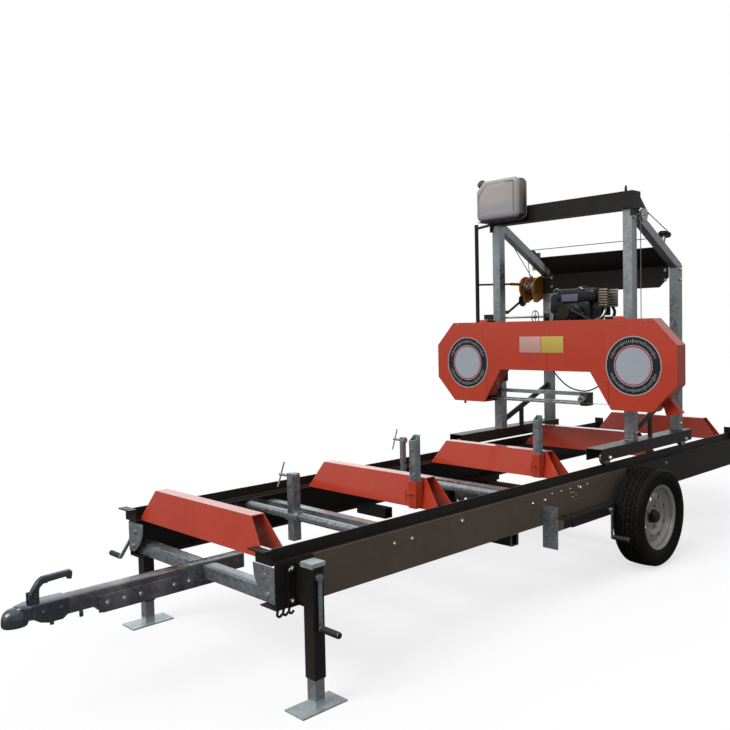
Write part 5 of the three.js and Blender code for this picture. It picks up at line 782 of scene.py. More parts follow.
PLATE_WHITE = sticker("bare pale plate", (0.62, 0.36, 0.30), (0.68, 0.42, 0.36), relief=0.02)
PLATE_YELLOW = sticker("bare yellow plate", (0.62, 0.46, 0.10), (0.66, 0.50, 0.12), relief=0.02)
WELD = Finish(
    "weld bead", "galvanised", (0.30, 0.31, 0.32), (0.42, 0.43, 0.44), roughness=0.5, spread=0.2,
    metallic=0.7, wear=0.0, rounding=0.0005, grain=350.0, relief=0.4, dust=0.1, dirt=0.3)
WELD_BLACK = Finish(
    "painted weld bead", "black_paint", (0.0125, 0.0115, 0.011), (0.02, 0.018, 0.017),
    roughness=0.4, wear=0.2, rounding=0.0005, grain=350.0, relief=0.4, dust=0.1, dirt=0.3)
BARE_STEEL = Finish(
    "bare rolled steel", "black_paint", (0.2, 0.14, 0.1), (0.36, 0.27, 0.2), roughness=0.36,
    metallic=0.6, wear=0.3, worn=(0.5, 0.45, 0.4), dust=0.03, dirt=0.1, mottle=14.0)

# Where a piece changes its finish, or where painted light is put on it.
BELOW_POSTS = Zone(high=(None, None, 0.7006))
BETWEEN_POSTS = Zone((1.1275, None, None), (1.6785, None, 1.5))
# Painted reflection: the front of the near rail's outer web, which gets the brown coat of painted
# ground reflection.
NEAR_WEB_PAINTED_REFLECTION = Zone((-1.53, None, None), (0.9, -0.5555, None))
JACK_CAPS = (Zone((-1.66, None, 0.5405), (-1.53, -0.59, None)),
             Zone((-1.66, 0.59, 0.5405), (-1.53, None, None)),
             Zone((-1.66, None, 0.46), (-1.6235, -0.6, None)))
SCALE_BAR = Zone((None, 0.76, None), (0.985, None, None))
SWING_LEG = Zone((0.03, None, None), (0.116, None, None))
SWING_ENDS = (Zone(high=(0.0312, None, None)), Zone(high=(None, -0.6402, None)))
GUIDE_BLOCK = Zone(high=(None, -0.226, None))
CHUTE = Zone((None, -1.0, None), (None, -0.6, 1.07))
# Painted highlight: the jack legs' foot plates take paler zinc, standing for the light on their
# tops.
FOOT_PLATE_TOP_LIGHT = Zone(high=(None, None, 0.03))

FRAME_PAINT = zoned("posts and black base", ZINC_DIP, BLACK, BELOW_POSTS, BETWEEN_POSTS)
# The rail's near web carries a painted reflection of the ground; the jack caps are real zinc.
RAIL_PAINT = zoned(
    "rail with zinc caps", zoned("rail web", BLACK, NEAR_WEB_REFLECTION_COAT, NEAR_WEB_PAINTED_REFLECTION), BRIGHT_ZINC, *JACK_CAPS)
BEAM_PAINT = zoned("beam and scale bar", BLACK, BROWNED, SCALE_BAR)
SWING_PAINT = zoned(
    "swing jack", zoned("swing jack tube and leg", BLACK, BARE_STEEL, SWING_LEG), ZINC_DIP,
    *SWING_ENDS)
GUIDE_PAINT = zoned("guide bars and block", ZINC_DIP, BROWNED, GUIDE_BLOCK)
HEAD_PAINT = zoned("head and chute", BLACK, ORANGE, CHUTE)
# The foot plate's paler zinc is painted top light; the leg's zinc is its own colour.
LEG_PAINT = zoned("jack leg and foot", ZINC_DIP, BRIGHT_ZINC, FOOT_PLATE_TOP_LIGHT)
NODE_FINISHES = {
    "top_beam": BEAM_PAINT, "swing_jack": SWING_PAINT, "guide_arm": GUIDE_PAINT,
    "head_frame": HEAD_PAINT, "engine_pulley": BLACK}
for each in Side:
    NODE_FINISHES.update({f"side_frame_{each.label}": FRAME_PAINT, f"rail_{each.label}": RAIL_PAINT,
                          f"jack_leg_{each.label}": LEG_PAINT,
                          f"jack_crank_{each.label}": ZINC_DIP})
SLOT_FINISHES = {
    each.slot: each for each in (BLACK, ORANGE, ZINC_DIP, ZINC_PLATE, SILVER, IRON, BLADE, MOTOR,
                                 YELLOW, TANK, CAP, RUBBER, TYRE, ROPE_PLAIN)}


# ---- Mesh making ------------------------------------------------------------------------


def finished(name: str, shape: Mesh, sharp: float = 38.0) -> bpy.types.Object:
    """Turn a mesh into an object whose faces shade smoothly up to an angle.

    Args:
        name: The piece's name.
        shape: The mesh, used up here.
        sharp: Edges sharper than this many degrees stay crisp.

    Returns:
        The object, linked to the scene.
    """
    bmesh.ops.recalc_face_normals(shape, faces=shape.faces)
    for face in shape.faces:
        face.smooth = True
    for edge in shape.edges:
        edge.smooth = len(edge.link_faces) == 2 and edge.calc_face_angle(0.0) < math.radians(sharp)
    mesh = bpy.data.meshes.new(name)
    shape.to_mesh(mesh)
    shape.free()
    made = bpy.data.objects.new(name, mesh)
    bpy.context.scene.collection.objects.link(made)
    return made


def turn_to(axis: Vector) -> Matrix:
    """The turn that carries +Z to an axis."""
    return axis.normalized().to_track_quat("Z", "Y").to_matrix().to_4x4()


def turns(count: int) -> list[float]:
    """The angles of evenly placed steps round a circle."""
    return [2 * math.pi * k / count for k in range(count)]


def strip(shape: Mesh, low: Sequence[MeshPoint], high: Sequence[MeshPoint]) -> None:
    """Join two rings of equally many points with four-sided faces."""
    for i, j in ((i, (i + 1) % len(low)) for i in range(len(low))):
        shape.faces.new((low[i], low[j], high[j], high[i]))


def lathe(profile: Profile, centre: Vector, axis: Vector, segments: int = 64,
          ripple: Optional[Callable[[int, int], float]] = None) -> Mesh:
    """A closed profile turned about an axis.

    Args:
        profile: Radius and place along the axis, in millimetres, once round the section.
        centre: A point on the axis, in metres.
        axis: The axis.
        segments: Steps round.
        ripple: From the profile's and the turn's number to a change of radius in millimetres.

    Returns:
        The mesh.
    """
    shape = bmesh.new()
    place = Matrix.Translation(centre) @ turn_to(axis)
    rings = []
    for k, (radius, along) in enumerate(profile):
        ring_points = []
        for i, turn in enumerate(turns(segments)):
            r = radius + (ripple(k, i) if ripple else 0.0)
            spot = Vector((r * math.cos(turn), r * math.sin(turn), along)) * MM
            ring_points.append(shape.verts.new(place @ spot))
        rings.append(ring_points)
    for ring_points, after in zip(rings, rings[1:] + rings[:1]):
        strip(shape, ring_points, after)
    bmesh.ops.remove_doubles(shape, verts=shape.verts, dist=1e-6)
    bmesh.ops.dissolve_degenerate(shape, edges=shape.edges, dist=1e-7)
    return shape


def block(low: Vector, high: Vector, rounding: float = 0.0, steps: int = 3) -> Mesh:
    """A box with rounded edges, between two corners.

    Args:
        low: The corner of least X, Y and Z, in metres.
        high: The opposite corner.
        rounding: The edges' radius, in millimetres.
        steps: Faces across a rounded edge.

    Returns:
        The mesh.
    """
    shape = bmesh.new()
    made = bmesh.ops.create_cube(shape, size=1.0)
    size = Vector((high.x - low.x, high.y - low.y, high.z - low.z))
    middle = (low + high) * 0.5
    for vert in made["verts"]:
        vert.co = Vector((vert.co.x * size.x, vert.co.y * size.y, vert.co.z * size.z)) + middle
    if rounding:
        bmesh.ops.bevel(shape, geom=list(shape.edges), offset=rounding * MM, segments=steps,
                        profile=0.5, affect="EDGES")
    return shape


def prism(outline: Sequence[Vector], reach: Vector, rounding: float = 0.0) -> Mesh:
    """A flat outline drawn out along a vector, with rounded rims.

    Args:
        outline: The points of the flat outline, in metres.
        reach: How far and which way it is drawn out.
        rounding: The rims' radius, in millimetres.

    Returns:
        The mesh.
    """
    shape = bmesh.new()
    low = [shape.verts.new(each) for each in outline]
    high = [shape.verts.new(each + reach) for each in outline]
    shape.faces.new(low)
    shape.faces.new(list(reversed(high)))
    for i, vert in enumerate(low):
        j = (i + 1) % len(low)
        shape.faces.new((vert, high[i], high[j], low[j]))
    if rounding:
        rims = [edge for edge in shape.edges
                if any(len(face.verts) == len(outline) for face in edge.link_faces)]
        bmesh.ops.bevel(shape, geom=rims, offset=rounding * MM, segments=3, profile=0.5,
                        affect="EDGES")
    return shape


def tube(path: Sequence[Vector], radius: float, sides: int = 12) -> Mesh:
    """A round tube along a path.

    Args:
        path: The centre line, in metres.
        radius: In millimetres.
        sides: Steps round.

    Returns:
        The mesh, with its own coordinates in the layer "along".
    """
    shape = bmesh.new()
    layer = shape.loops.layers.uv.new("along")
    last = len(path) - 1
    ways = [(path[min(i + 1, last)] - path[max(i - 1, 0)]).normalized() for i in range(last + 1)]
    across = ways[0].orthogonal().normalized()
    rings, gone = [], 0.0
    marks = []
    for i, point in enumerate(path):
        across = (across - ways[i] * across.dot(ways[i])).normalized()
        other = ways[i].cross(across)
        gone += (point - path[i - 1]).length if i else 0.0
        marks.append(gone)
        reaches = [(across * math.cos(a) + other * math.sin(a)) * radius * MM for a in turns(sides)]
        rings.append([shape.verts.new(point + reach) for reach in reaches])
    for i in range(last):
        for k in range(sides):
            n = (k + 1) % sides
            face = shape.faces.new((rings[i][k], rings[i][n], rings[i + 1][n], rings[i + 1][k]))
            spots = ((k, i), (k + 1, i), (k + 1, i + 1), (k, i + 1))
            for loop, (round_at, step) in zip(face.loops, spots):
                loop[layer].uv = (round_at / sides, marks[step] * 60.0)
    shape.faces.new(list(reversed(rings[0])))
    shape.faces.new(rings[-1])
    return shape


def joined(parts: Iterable[Mesh]) -> Mesh:
    """Several meshes as one.

    Args:
        parts: The meshes, used up here.

    Returns:
        The mesh.
    """
    whole = bmesh.new()
    for part in parts:
        carrier = bpy.data.meshes.new("carrier")
        part.to_mesh(carrier)
        part.free()
        whole.from_mesh(carrier)
        bpy.data.meshes.remove(carrier)
    return whole


def hexagon(centre: Vector, axis: Vector, width: float, depth: float) -> Mesh:
    """A bolt head with a chamfered top and a washer under it, standing out along an axis.

    Args:
        centre: The middle of the seat, in metres.
        axis: The way that the head stands out.
        width: Across the flats, in millimetres.
        depth: From the seat to the top, in millimetres.

    Returns:
        The mesh.
    """
    shape = bmesh.new()
    place = Matrix.Translation(centre) @ turn_to(axis)
    reach = width / 2 / math.cos(math.pi / 6)
    rings = []
    for radius, along in ((reach, 1.5), (reach, depth * 0.82), (reach * 0.86, depth)):
        spots = [Vector((radius * math.cos(a), radius * math.sin(a), along)) * MM
                 for a in (math.pi / 3 * k for k in range(6))]
        rings.append([shape.verts.new(place @ spot) for spot in spots])
    for low, high in zip(rings, rings[1:]):
        strip(shape, low, high)
    shape.faces.new(rings[-1])
    shape.faces.new(list(reversed(rings[0])))
    washer = lathe(plug(width * 0.72, 0.0, 1.5), centre, axis, 20)
    return joined((shape, washer))


def ring(centre: Vector, axis: Vector, major: float, minor: float, segments: int = 64) -> Mesh:
    """A round bar bent into a ring.

    Args:
        centre: The ring's middle, in metres.
        axis: The ring's axis.
        major: The ring's radius, in millimetres.
        minor: The bar's radius.
        segments: Steps round.

    Returns:
        The mesh.
    """
    section = [(major + minor * math.cos(a), minor * math.sin(a))
               for a in (math.pi / 6 * k for k in range(12))]
    return lathe(section, centre, axis, segments)


def plug(radius: float, low: float, high: float) -> Profile:
    """The profile of a plain round plug between two places on its axis."""
    return ((0.0, low), (radius, low), (radius, high), (0.0, high))


def rounded(profile: Profile, radius: float = 1.2) -> list[Span]:
    """The profile with each corner off the axis cut back by a small round.

    Args:
        profile: Radius and place along the axis, in millimetres.
        radius: How far a corner is cut back.

    Returns:
        The new profile.
    """
    points = [Vector((r, a)) for r, a in profile]
    out: list[Span] = []
    for i, here in enumerate(points):
        before, after = points[i - 1], points[(i + 1) % len(points)]
        if here.x < 0.01:
            out.append((here.x, here.y))
            continue
        back, on = before - here, after - here
        cut = min(radius, back.length * 0.4, on.length * 0.4)
        start, end = here + back.normalized() * cut, here + on.normalized() * cut
        for share in (0.0, 0.5, 1.0):
            bend = start.lerp(here, share).lerp(here.lerp(end, share), share)
            out.append((bend.x, bend.y))
    return out


def smooth_path(points: Sequence[Vector], steps: int) -> list[Vector]:
    """A smooth curve through points, as evenly numbered places along it.

    Args:
        points: Places that the curve goes through.
        steps: Places from one point to the next.

    Returns:
        The places along the curve.
    """
    out: list[Vector] = []
    last = len(points) - 1
    for i in range(last):
        p0, p1, p2, p3 = (points[max(i - 1, 0)], points[i], points[i + 1], points[min(i + 2, last)])
        for k in range(steps):
            t = k / steps
            out.append(0.5 * (2 * p1 + (p2 - p0) * t + (2 * p0 - 5 * p1 + 4 * p2 - p3) * t * t
                              + (3 * p1 - p0 - 3 * p2 + p3) * t * t * t))
    out.append(points[-1].copy())
    return out


class Workshop:
    """Puts finished pieces on their bodies and reports them."""

    def place(self, name: str, shape: Mesh, body: str, finish: Finish,
              stands_for: Sequence[str] = (), sharp: float = 38.0) -> bpy.types.Object:
        """Make one piece.

        Args:
            name: The piece's name.
            shape: Its mesh in the row frame.
            body: The body that it rides on.
            finish: Its finish.
            stands_for: CAD nodes that it replaces.
            sharp: Edges sharper than this stay crisp.

        Returns:
            The object.
        """
        made = finished(name, shape, sharp)
        made.data.materials.append(finish.material())
        if stands_for:
            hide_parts(*stands_for)
        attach(made, body)
        log.info("%s on %s in %s", name, body, finish.name)
        return made


SHOP = Workshop()


def arc_points(centre: Vector, first: Vector, second: Vector, radius: float, start: float,
               end: float, steps: int) -> list[Vector]:
    """Places on an arc, the radius in millimetres and the angles in radians."""
    return [centre + (first * math.cos(a) + second * math.sin(a)) * radius * MM
            for a in (start + (end - start) * i / steps for i in range(steps + 1))]


# ---- Sub-assemblies ---------------------------------------------------------------------

# Places that two sub-assemblies share, in millimetres behind the carriage's front posts.
SHEAVE_X, SHEAVE_Y, SHEAVE_Z = 86.0, 540.0, 2079.0
BRACE_X, BRACE_Z = 440.0, 1987.0
FAR_BRACE_Y = 552.0
DRUM_X, DRUM_Z = 496.7, 1700.0
ROLLERS = ((1, -383.0), (2, 597.0))
ROLLER_HEIGHT = 642.3
AHEAD: Point = (-1.0, 0.0, 0.0)
QUARTERS = ((-1, -1), (1, -1), (1, 1), (-1, 1))
Share = tuple[Span, Span, Span]


class Dressing:
    """Gives the carried-over solids their finishes."""

    def dress(self) -> None:
        """Put each node's finish on its object."""
        slots = {part["node"]: part["material_slot"] for part in frame["record"]["subparts"]}
        for name, node in frame["nodes"].items():
            finish = NODE_FINISHES.get(name, SLOT_FINISHES[slots[name]])
            node.data.materials.clear()
            node.data.materials.append(finish.material())
            log.info("solid %s in %s", name, finish.name)


@dataclass
class RoadWheel:
    """A road tyre with its tread, and the pressed rim with its hub."""

    side: Side
    place: float = 2645.0
    radius: float = 286.5
    centre_y: float = 696.0
    segments: int = 192
    tread_radius: float = 282.0
    sidewall: Profile = (
        (178.0, 62.0), (190.0, 68.5), (200.0, 76.0), (214.0, 83.0), (232.0, 86.8), (250.0, 86.4),
        (262.0, 83.5), (264.0, 84.6), (267.0, 84.4), (269.0, 81.4), (276.0, 75.0), (281.5, 67.0))
    ribs: Profile = (
        (283.0, 62.0), (283.6, 51.5), (277.0, 50.0), (277.0, 45.0), (284.8, 43.5), (285.4, 33.0),
        (278.0, 31.5), (278.0, 25.0), (286.0, 23.5), (286.4, 12.0), (286.4, 5.5), (278.5, 4.0))
    barrel: Profile = (
        (189, 70), (189, 66), (177, 64), (176, 40), (150, 26), (150, -26), (176, -40), (177, -64),
        (189, -66), (189, -70), (184, -70), (171, -60), (171, -38), (146, -22), (146, 24),
        (171, 38), (171, 60), (184, 70))
    disc: Profile = (
        (46.0, 8.0), (46.0, 18.0), (80.0, 19.0), (92.0, 30.0), (104.0, 36.0), (136.0, 32.0),
        (147.0, 24.0), (147.0, 14.0), (134.0, 26.0), (106.0, 30.0), (96.0, 24.0), (84.0, 12.0))
    cap: Profile = ((0, 15), (38, 15), (38, 38), (30, 52), (22, 55), (0, 55))
    slots: int = 8
    slot_ring: float = 119.0
    nuts: int = 5
    nut_ring: float = 66.0

    def centre(self) -> Vector:
        """The wheel's middle."""
        return bed(self.place, self.side.value * self.centre_y, self.radius)

    def section(self) -> tuple[list[Span], set[int]]:
        """Mirror the tyre's half section.

        Returns:
            The section once round, and the numbers of its tread places.
        """
        right = [*self.sidewall, *self.ribs]
        whole = right + [(r, -a) for r, a in reversed(right)]
        return whole, {k for k, (r, _) in enumerate(whole) if r > self.tread_radius}

    def build(self) -> None:
        """Make the tyre and the rim."""
        profile, tread = self.section()

        def sipes(k: int, i: int) -> float:
            """Cut across the tread ribs, shifted from rib to rib.

            Args:
                k: The number of the section's place.
                i: The number of the step round.

            Returns:
                The change of radius, in millimetres.
            """
            if k not in tread:
                return 0.0
            row = int((profile[k][1] + 90.0) // 19.0)
            return -4.5 if (i + row * 2) % 5 == 0 else 0.0

        axis = Vector((0.0, float(self.side.value), 0.0))
        centre, label = self.centre(), self.side.label
        body = f"wheel_{label}"
        tyre = lathe(profile, centre, axis, self.segments, sipes)
        SHOP.place(f"tyre_{label}_tread", tyre, body, TYRE, [f"tyre_{label}"], 30.0)
        SHOP.place(f"rim_{label}_pressing", self.pressing(axis), body, SILVER, [f"rim_{label}"],
                   34.0)
        SHOP.place(f"rim_{label}_cap", lathe(rounded(self.cap, 3.0), centre, axis, 48), body, BLACK)
        seats = [Vector((math.cos(a), 0.0, math.sin(a))) * self.nut_ring * MM
                 for a in turns(self.nuts)]
        nuts = [hexagon(centre + seat + axis * 18 * MM, axis, 19.0, 16.0) for seat in seats]
        SHOP.place(f"rim_{label}_nuts", joined(nuts), body, ZINC_PLATE)

    def pressing(self, axis: Vector) -> Mesh:
        """Make the barrel, the dished disc with its slots and the hub behind it.

        Args:
            axis: The wheel's axis.

        Returns:
            The mesh.
        """
        disc = self.slotted(rounded(self.disc, 2.5), axis)
        hub = lathe(rounded(((20.8, 10), (45, 10), (45, -26), (20.8, -26)), 2.0), self.centre(),
                    axis, 40)
        return joined((lathe(rounded(self.barrel, 2.0), self.centre(), axis, 96), disc, hub))

    def slotted(self, profile: Profile, axis: Vector) -> Mesh:
        """Cut the rounded slots through the disc.

        Args:
            profile: The disc's section.
            axis: The wheel's axis.

        Returns:
            The mesh.
        """
        disc = finished("disc_blank", lathe(profile, self.centre(), axis, 160), 30.0)
        cutters = []
        for k in range(self.slots):
            turn = 2 * math.pi * (k + 0.5) / self.slots
            middle = self.centre() + Vector((math.cos(turn), 0.0,
                                             math.sin(turn))) * self.slot_ring * MM
            cutters.append(lathe(plug(13.5, -40, 60), middle, axis, 24))
        cutter = finished("disc_cutter", joined(cutters))
        cut = disc.modifiers.new("slots", "BOOLEAN")
        cut.object, cut.operation, cut.solver = cutter, "DIFFERENCE", "EXACT"
        bpy.context.view_layer.update()
        shown = disc.evaluated_get(bpy.context.evaluated_depsgraph_get())
        shape = bmesh.new()
        shape.from_mesh(shown.to_mesh())
        for each in (disc, cutter):
            bpy.data.objects.remove(each)
        return shape


@dataclass
class Turned:
    """Sheaves, carriage rollers, the winch drum and the guide roller, with smooth rims."""

    sheave: Profile = (
        (6.3, -8), (40, -8), (40, -5), (35.5, -3.3), (34.8, 0), (35.5, 3.3), (40, 5), (40, 8),
        (6.3, 8))
    roller: Profile = (
        (8.3, -15), (43, -15), (43, -5), (38, -3.4), (38, 3.4), (43, 5), (43, 15), (8.3, 15))
    drum: Profile = (
        (8.3, -37.4), (50, -37.4), (50, -32.4), (24, -32.4), (24, 32.4), (50, 32.4), (50, 37.4),
        (8.3, 37.4))
    guide: Profile = ((6.3, -12), (22, -12), (22, 12), (6.3, 12))

    def build(self) -> None:
        """Make every turned piece."""
        x_way, y_way = Axis.X.vector, Axis.Y.vector
        for side in Side:
            label, s = side.label, side.value
            self.one(f"top_sheave_{label}", self.sheave, car(SHEAVE_X, s * SHEAVE_Y, SHEAVE_Z),
                     y_way, ZINC_PLATE)
            for number, x in ROLLERS:
                self.one(f"carriage_roller_{label}_{number}", self.roller,
                         car(x, s * 534, ROLLER_HEIGHT), y_way, ZINC_PLATE,
                         f"roller_{label}_{number}")
        self.one("brace_sheave_near", self.sheave, car(BRACE_X, -501.7, BRACE_Z),
                 Vector((0.3515, 0, 0.93619)), BLACK)
        self.one("brace_sheave_far", self.sheave, car(482.68, FAR_BRACE_Y, 1935.85),
                 Vector((0.98402, 0, 0.17808)), BLACK)
        self.one("winch_drum", self.drum, car(DRUM_X, 566, DRUM_Z), y_way, ZINC_PLATE)
        self.one("guide_roller", self.guide, car(-163, -250, 950.0), x_way, ZINC_PLATE)

    def one(self, node: str, profile: Profile, centre: Vector, axis: Vector, finish: Finish,
            body: Optional[str] = None) -> None:
        """Replace one node with its smooth form."""
        SHOP.place(f"{node}_turned", lathe(rounded(profile, 1.0), centre, axis, 72), body or node,
                   finish, [node])


@dataclass
class LiftRope:
    """The lift cable over its sheaves and on the drum."""

    radius: float = 3.0
    sheave_radius: float = 38.3
    drum_radius: float = 28.2
    pitch: float = 6.6
    turns: int = 3
    steps: int = 40

    def build(self) -> None:
        """Make the two ropes and their end clamp."""
        wrap, drum = self.sheave_radius, car(DRUM_X, 0, DRUM_Z)
        x_way, y_way, z_way = (each.vector for each in Axis)
        near_top, far_top = (car(SHEAVE_X, side.value * SHEAVE_Y, SHEAVE_Z) for side in Side)
        run = math.hypot(drum.x - far_top.x, far_top.z - drum.z) / MM
        far_lean = math.asin((wrap - self.drum_radius) / run)
        far_lean += math.atan2(far_top.z - drum.z, drum.x - far_top.x)
        far_angle = math.pi / 2 - far_lean
        along, fall = BRACE_X - SHEAVE_X, SHEAVE_Z - BRACE_Z
        run_lean = math.asin(wrap / math.hypot(along, fall)) + math.atan2(fall, along)
        down = Vector((math.cos(run_lean), 0, -math.sin(run_lean)))
        near_brace = car(BRACE_X, wrap - SHEAVE_Y, BRACE_Z)
        crossing = near_brace + down * wrap * MM
        drop_x, drop_z = drum.x - crossing.x, crossing.z - drum.z
        lean = math.atan2(drop_x, drop_z)
        lean += math.asin(self.drum_radius * MM / math.hypot(drop_x, drop_z))
        drop_down = Vector((math.sin(lean), 0, -math.cos(lean)))
        far_brace = Vector((crossing.x, FAR_BRACE_Y * MM, crossing.z)) + drop_down * wrap * MM
        far_rope = arc_points(far_top, x_way, z_way, wrap, math.pi, far_angle, 20)
        far_rope += self.winding(drum, far_angle, SHEAVE_Y, self.pitch, far_angle - lean)
        near_rope = arc_points(near_top, x_way, z_way, wrap, math.pi, math.pi / 2 - run_lean, 20)
        near_rope += arc_points(near_brace, y_way, down, wrap, math.pi, math.pi / 2, 20)
        near_rope += arc_points(far_brace, y_way, drop_down, wrap, -math.pi / 2, 0.0, 20)
        near_rope += self.winding(drum, lean, FAR_BRACE_Y + wrap, -self.pitch, 0.0)
        clamp = block(
            far_rope[-1] - Vector((0.5, 1.0, 3.0)) * MM,
            near_rope[-1] + Vector((6.0, 1.0, 3.0)) * MM, 1.0)
        shape = joined((tube(far_rope, self.radius), tube(near_rope, self.radius), clamp))
        SHOP.place("lift_cable_rope", shape, "carriage", ROPE, ["lift_cable"])

    def winding(self, drum: Vector, angle: float, along: float, pitch: float,
                extra: float) -> list[Vector]:
        """The turns on the drum, from an angle and a place along it.

        Args:
            drum: The drum's middle.
            angle: Where the rope meets the drum, in radians.
            along: The place along the drum, in millimetres.
            pitch: The way along the drum in one turn, in millimetres.
            extra: The angle beyond the full turns.

        Returns:
            The centre line.
        """
        turn = self.turns * 2 * math.pi + extra
        count = math.ceil(turn / (2 * math.pi) * self.steps)
        out = []
        for i in range(count + 1):
            now = angle - turn * i / count
            y = along + pitch * (turn * i / count) / (2 * math.pi)
            out.append(Vector((drum.x + math.cos(now) * self.drum_radius * MM, y * MM,
                               drum.z + math.sin(now) * self.drum_radius * MM)))
        return out


@dataclass
class WaterSupply:
    """The moulded water tank, its ribbed cap and the hose to the blade guide."""

    width: float = 350.0
    depth: float = 135.0
    height: float = 275.0
    corner: float = 42.0
    edge: float = 34.0
    slant: float = 62.0
    middle: float = 372.0
    setback: float = -122.0
    bottom: float = 2128.0
    edge_steps: int = 7
    skin: float = 1.5
    face_insets: tuple[float, ...] = (26.0, 60.0)
    hose_diameter: float = 0.0088
    hose_route: tuple[Point, ...] = (
        (-101.6, 0, 1150), (-101.6, -8, 1118), (-98, -60, 1060), (-98, -120, 1018),
        (-98, -180, 1000), (-98, -245, 997), (-98, -300, 1014), (-100, -355, 1046),
        (-101.6, -405, 1080))

    def outline(self, inset: float) -> list[Span]:
        """The tank's face in Y and Z, drawn in by a distance.

        Args:
            inset: How far the outline is drawn in, in millimetres.

        Returns:
            The outline once round.
        """
        left, right = self.middle - self.width / 2 + inset, self.middle + self.width / 2 - inset
        low, top = self.bottom + inset, self.bottom + self.height - inset
        r = max(self.corner - inset, 6.0)
        points: list[Span] = []

        def bend(cy: float, cz: float, start: float) -> None:
            """A quarter round about a centre."""
            points.extend((cy + r * math.cos(start + math.pi / 16 * k),
                           cz + r * math.sin(start + math.pi / 16 * k)) for k in range(9))

        bend(right - r, low + r, -math.pi / 2)
        cut = self.slant + inset * 0.4
        points.extend(((right, top - cut), (right - cut * 0.06, top - cut * 0.86),
                       (right - cut * 0.86, top - cut * 0.06), (right - cut, top)))
        bend(left + r, top - r, math.pi / 2)
        bend(left + r, low + r, math.pi)
        return points

    def build(self) -> None:
        """Make the tank, cap and hose."""
        seat = car(self.setback, self.middle + self.width / 2 - self.slant / 2,
                   self.bottom + self.height - self.slant / 2)
        way = Vector((0, math.sqrt(0.5), math.sqrt(0.5)))
        neck = lathe(rounded(plug(23, -20, 15.5), 1.5), seat, way, 48)
        SHOP.place("water_tank_moulding", joined((self.moulding(), neck)), "carriage", TANK,
                   ["water_tank"], 50.0)
        ribs = lathe(rounded(((0, 16.3), (29.4, 16.3), (29.4, 40), (26, 46), (0, 46)), 1.6), seat,
                     way, 144, lambda k, i: -1.1 if k in range(3, 10) and i % 4 > 1 else 0.0)
        SHOP.place("tank_cap_ribbed", ribs, "tank_cap", CAP, ["tank_cap"])
        self.hose()

    def moulding(self) -> Mesh:
        """The tank's body, with rounded edges and closed faces.

        Returns:
            The mesh.
        """
        shape = bmesh.new()
        half = self.depth / 2
        layers = []
        for k in range(self.edge_steps + 1):
            turn = math.pi / 2 * k / self.edge_steps
            layers.append((-half + self.edge * (1 - math.sin(turn)),
                           self.edge * (1 - math.cos(turn))))
        rows = layers + [(-x, inset) for x, inset in reversed(layers)]
        rings = [self.loop(shape, x, inset) for x, inset in rows]
        for low, high in zip(rings, rings[1:]):
            strip(shape, low, high)
        for rim, out in ((rings[0], -1), (rings[-1], 1)):
            self.panel(shape, rim, out)
        return shape

    def loop(self, shape: Mesh, x: float, inset: float) -> list[MeshPoint]:
        """The tank's outline as new points, at a place along X and drawn in by a distance."""
        return [shape.verts.new(car(self.setback + x, y, z))
                for y, z in self.outline(inset + self.skin)]

    def panel(self, shape: Mesh, rim: list[MeshPoint], out: int) -> None:
        """Close one flat face of the tank.

        Args:
            shape: The tank's mesh.
            rim: The points round the face.
            out: The face's direction along X.
        """
        rings = [rim] + [self.loop(shape, out * self.depth / 2, inset)
                         for inset in self.face_insets]
        for low, high in zip(rings, rings[1:]):
            strip(shape, low, high)
        shape.faces.new(rings[-1])

    def hose(self) -> None:
        """The thin hose from behind the cover to the guide block."""
        path = smooth_path([car(*place) for place in self.hose_route], 6)
        hose = SHOP.place("water_hose_tube", tube(path, self.hose_diameter / 2 * 1000.0, 14),
                          "head", RUBBER, ["water_hose"])


@dataclass
class Badge:
    """A round badge with rings and plain ticks, and no lettering."""

    y: float
    name: str
    front: float = -208.2
    height: float = 1168.0
    thickness: float = 0.6
    rings: tuple[tuple[float, float, Finish, str], ...] = (
        (176.0, 170.0, BADGE_PALE, "rim"), (170.0, 122.0, BADGE_BLACK, "band"),
        (122.0, 118.0, BADGE_PALE, "line"), (118.0, 110.0, BADGE_RED, "thread"),
        (110.0, 0.0, BADGE_PALE, "middle"))
    ticks: int = 72
    tick_ring: float = 146.0
    tick_half: float = 1.9
    open_share: float = 0.1

    def build(self) -> None:
        """Make the rings, the centre and the ticks."""
        centre = car(self.front, self.y, self.height)
        out = Vector(AHEAD)
        for high, low, finish, label in self.rings:
            section = ((low, 0.0), (high, 0.0), (high, self.thickness), (low, self.thickness))
            SHOP.place(f"badge_{self.name}_{label}", lathe(section, centre, out, 96), "blade_cover",
                       finish)
        marks = []
        half_round = self.ticks // 2
        for k, turn in enumerate(turns(self.ticks)):
            share = (k % half_round) / half_round
            if share < self.open_share or share > 1 - self.open_share:
                continue
            long = 12.0 if k % 6 == 0 else 7.0
            up = Vector((0, math.cos(turn), math.sin(turn)))
            across = Vector((0, -math.sin(turn), math.cos(turn)))
            middle = centre + up * self.tick_ring * MM + out * self.thickness * MM
            corners = [middle + up * long * a * MM + across * self.tick_half * b * MM
                       for a, b in QUARTERS]
            marks.append(prism(corners, out * 0.35 * MM))
        SHOP.place(f"badge_{self.name}_ticks", joined(marks), "blade_cover", BADGE_PALE)


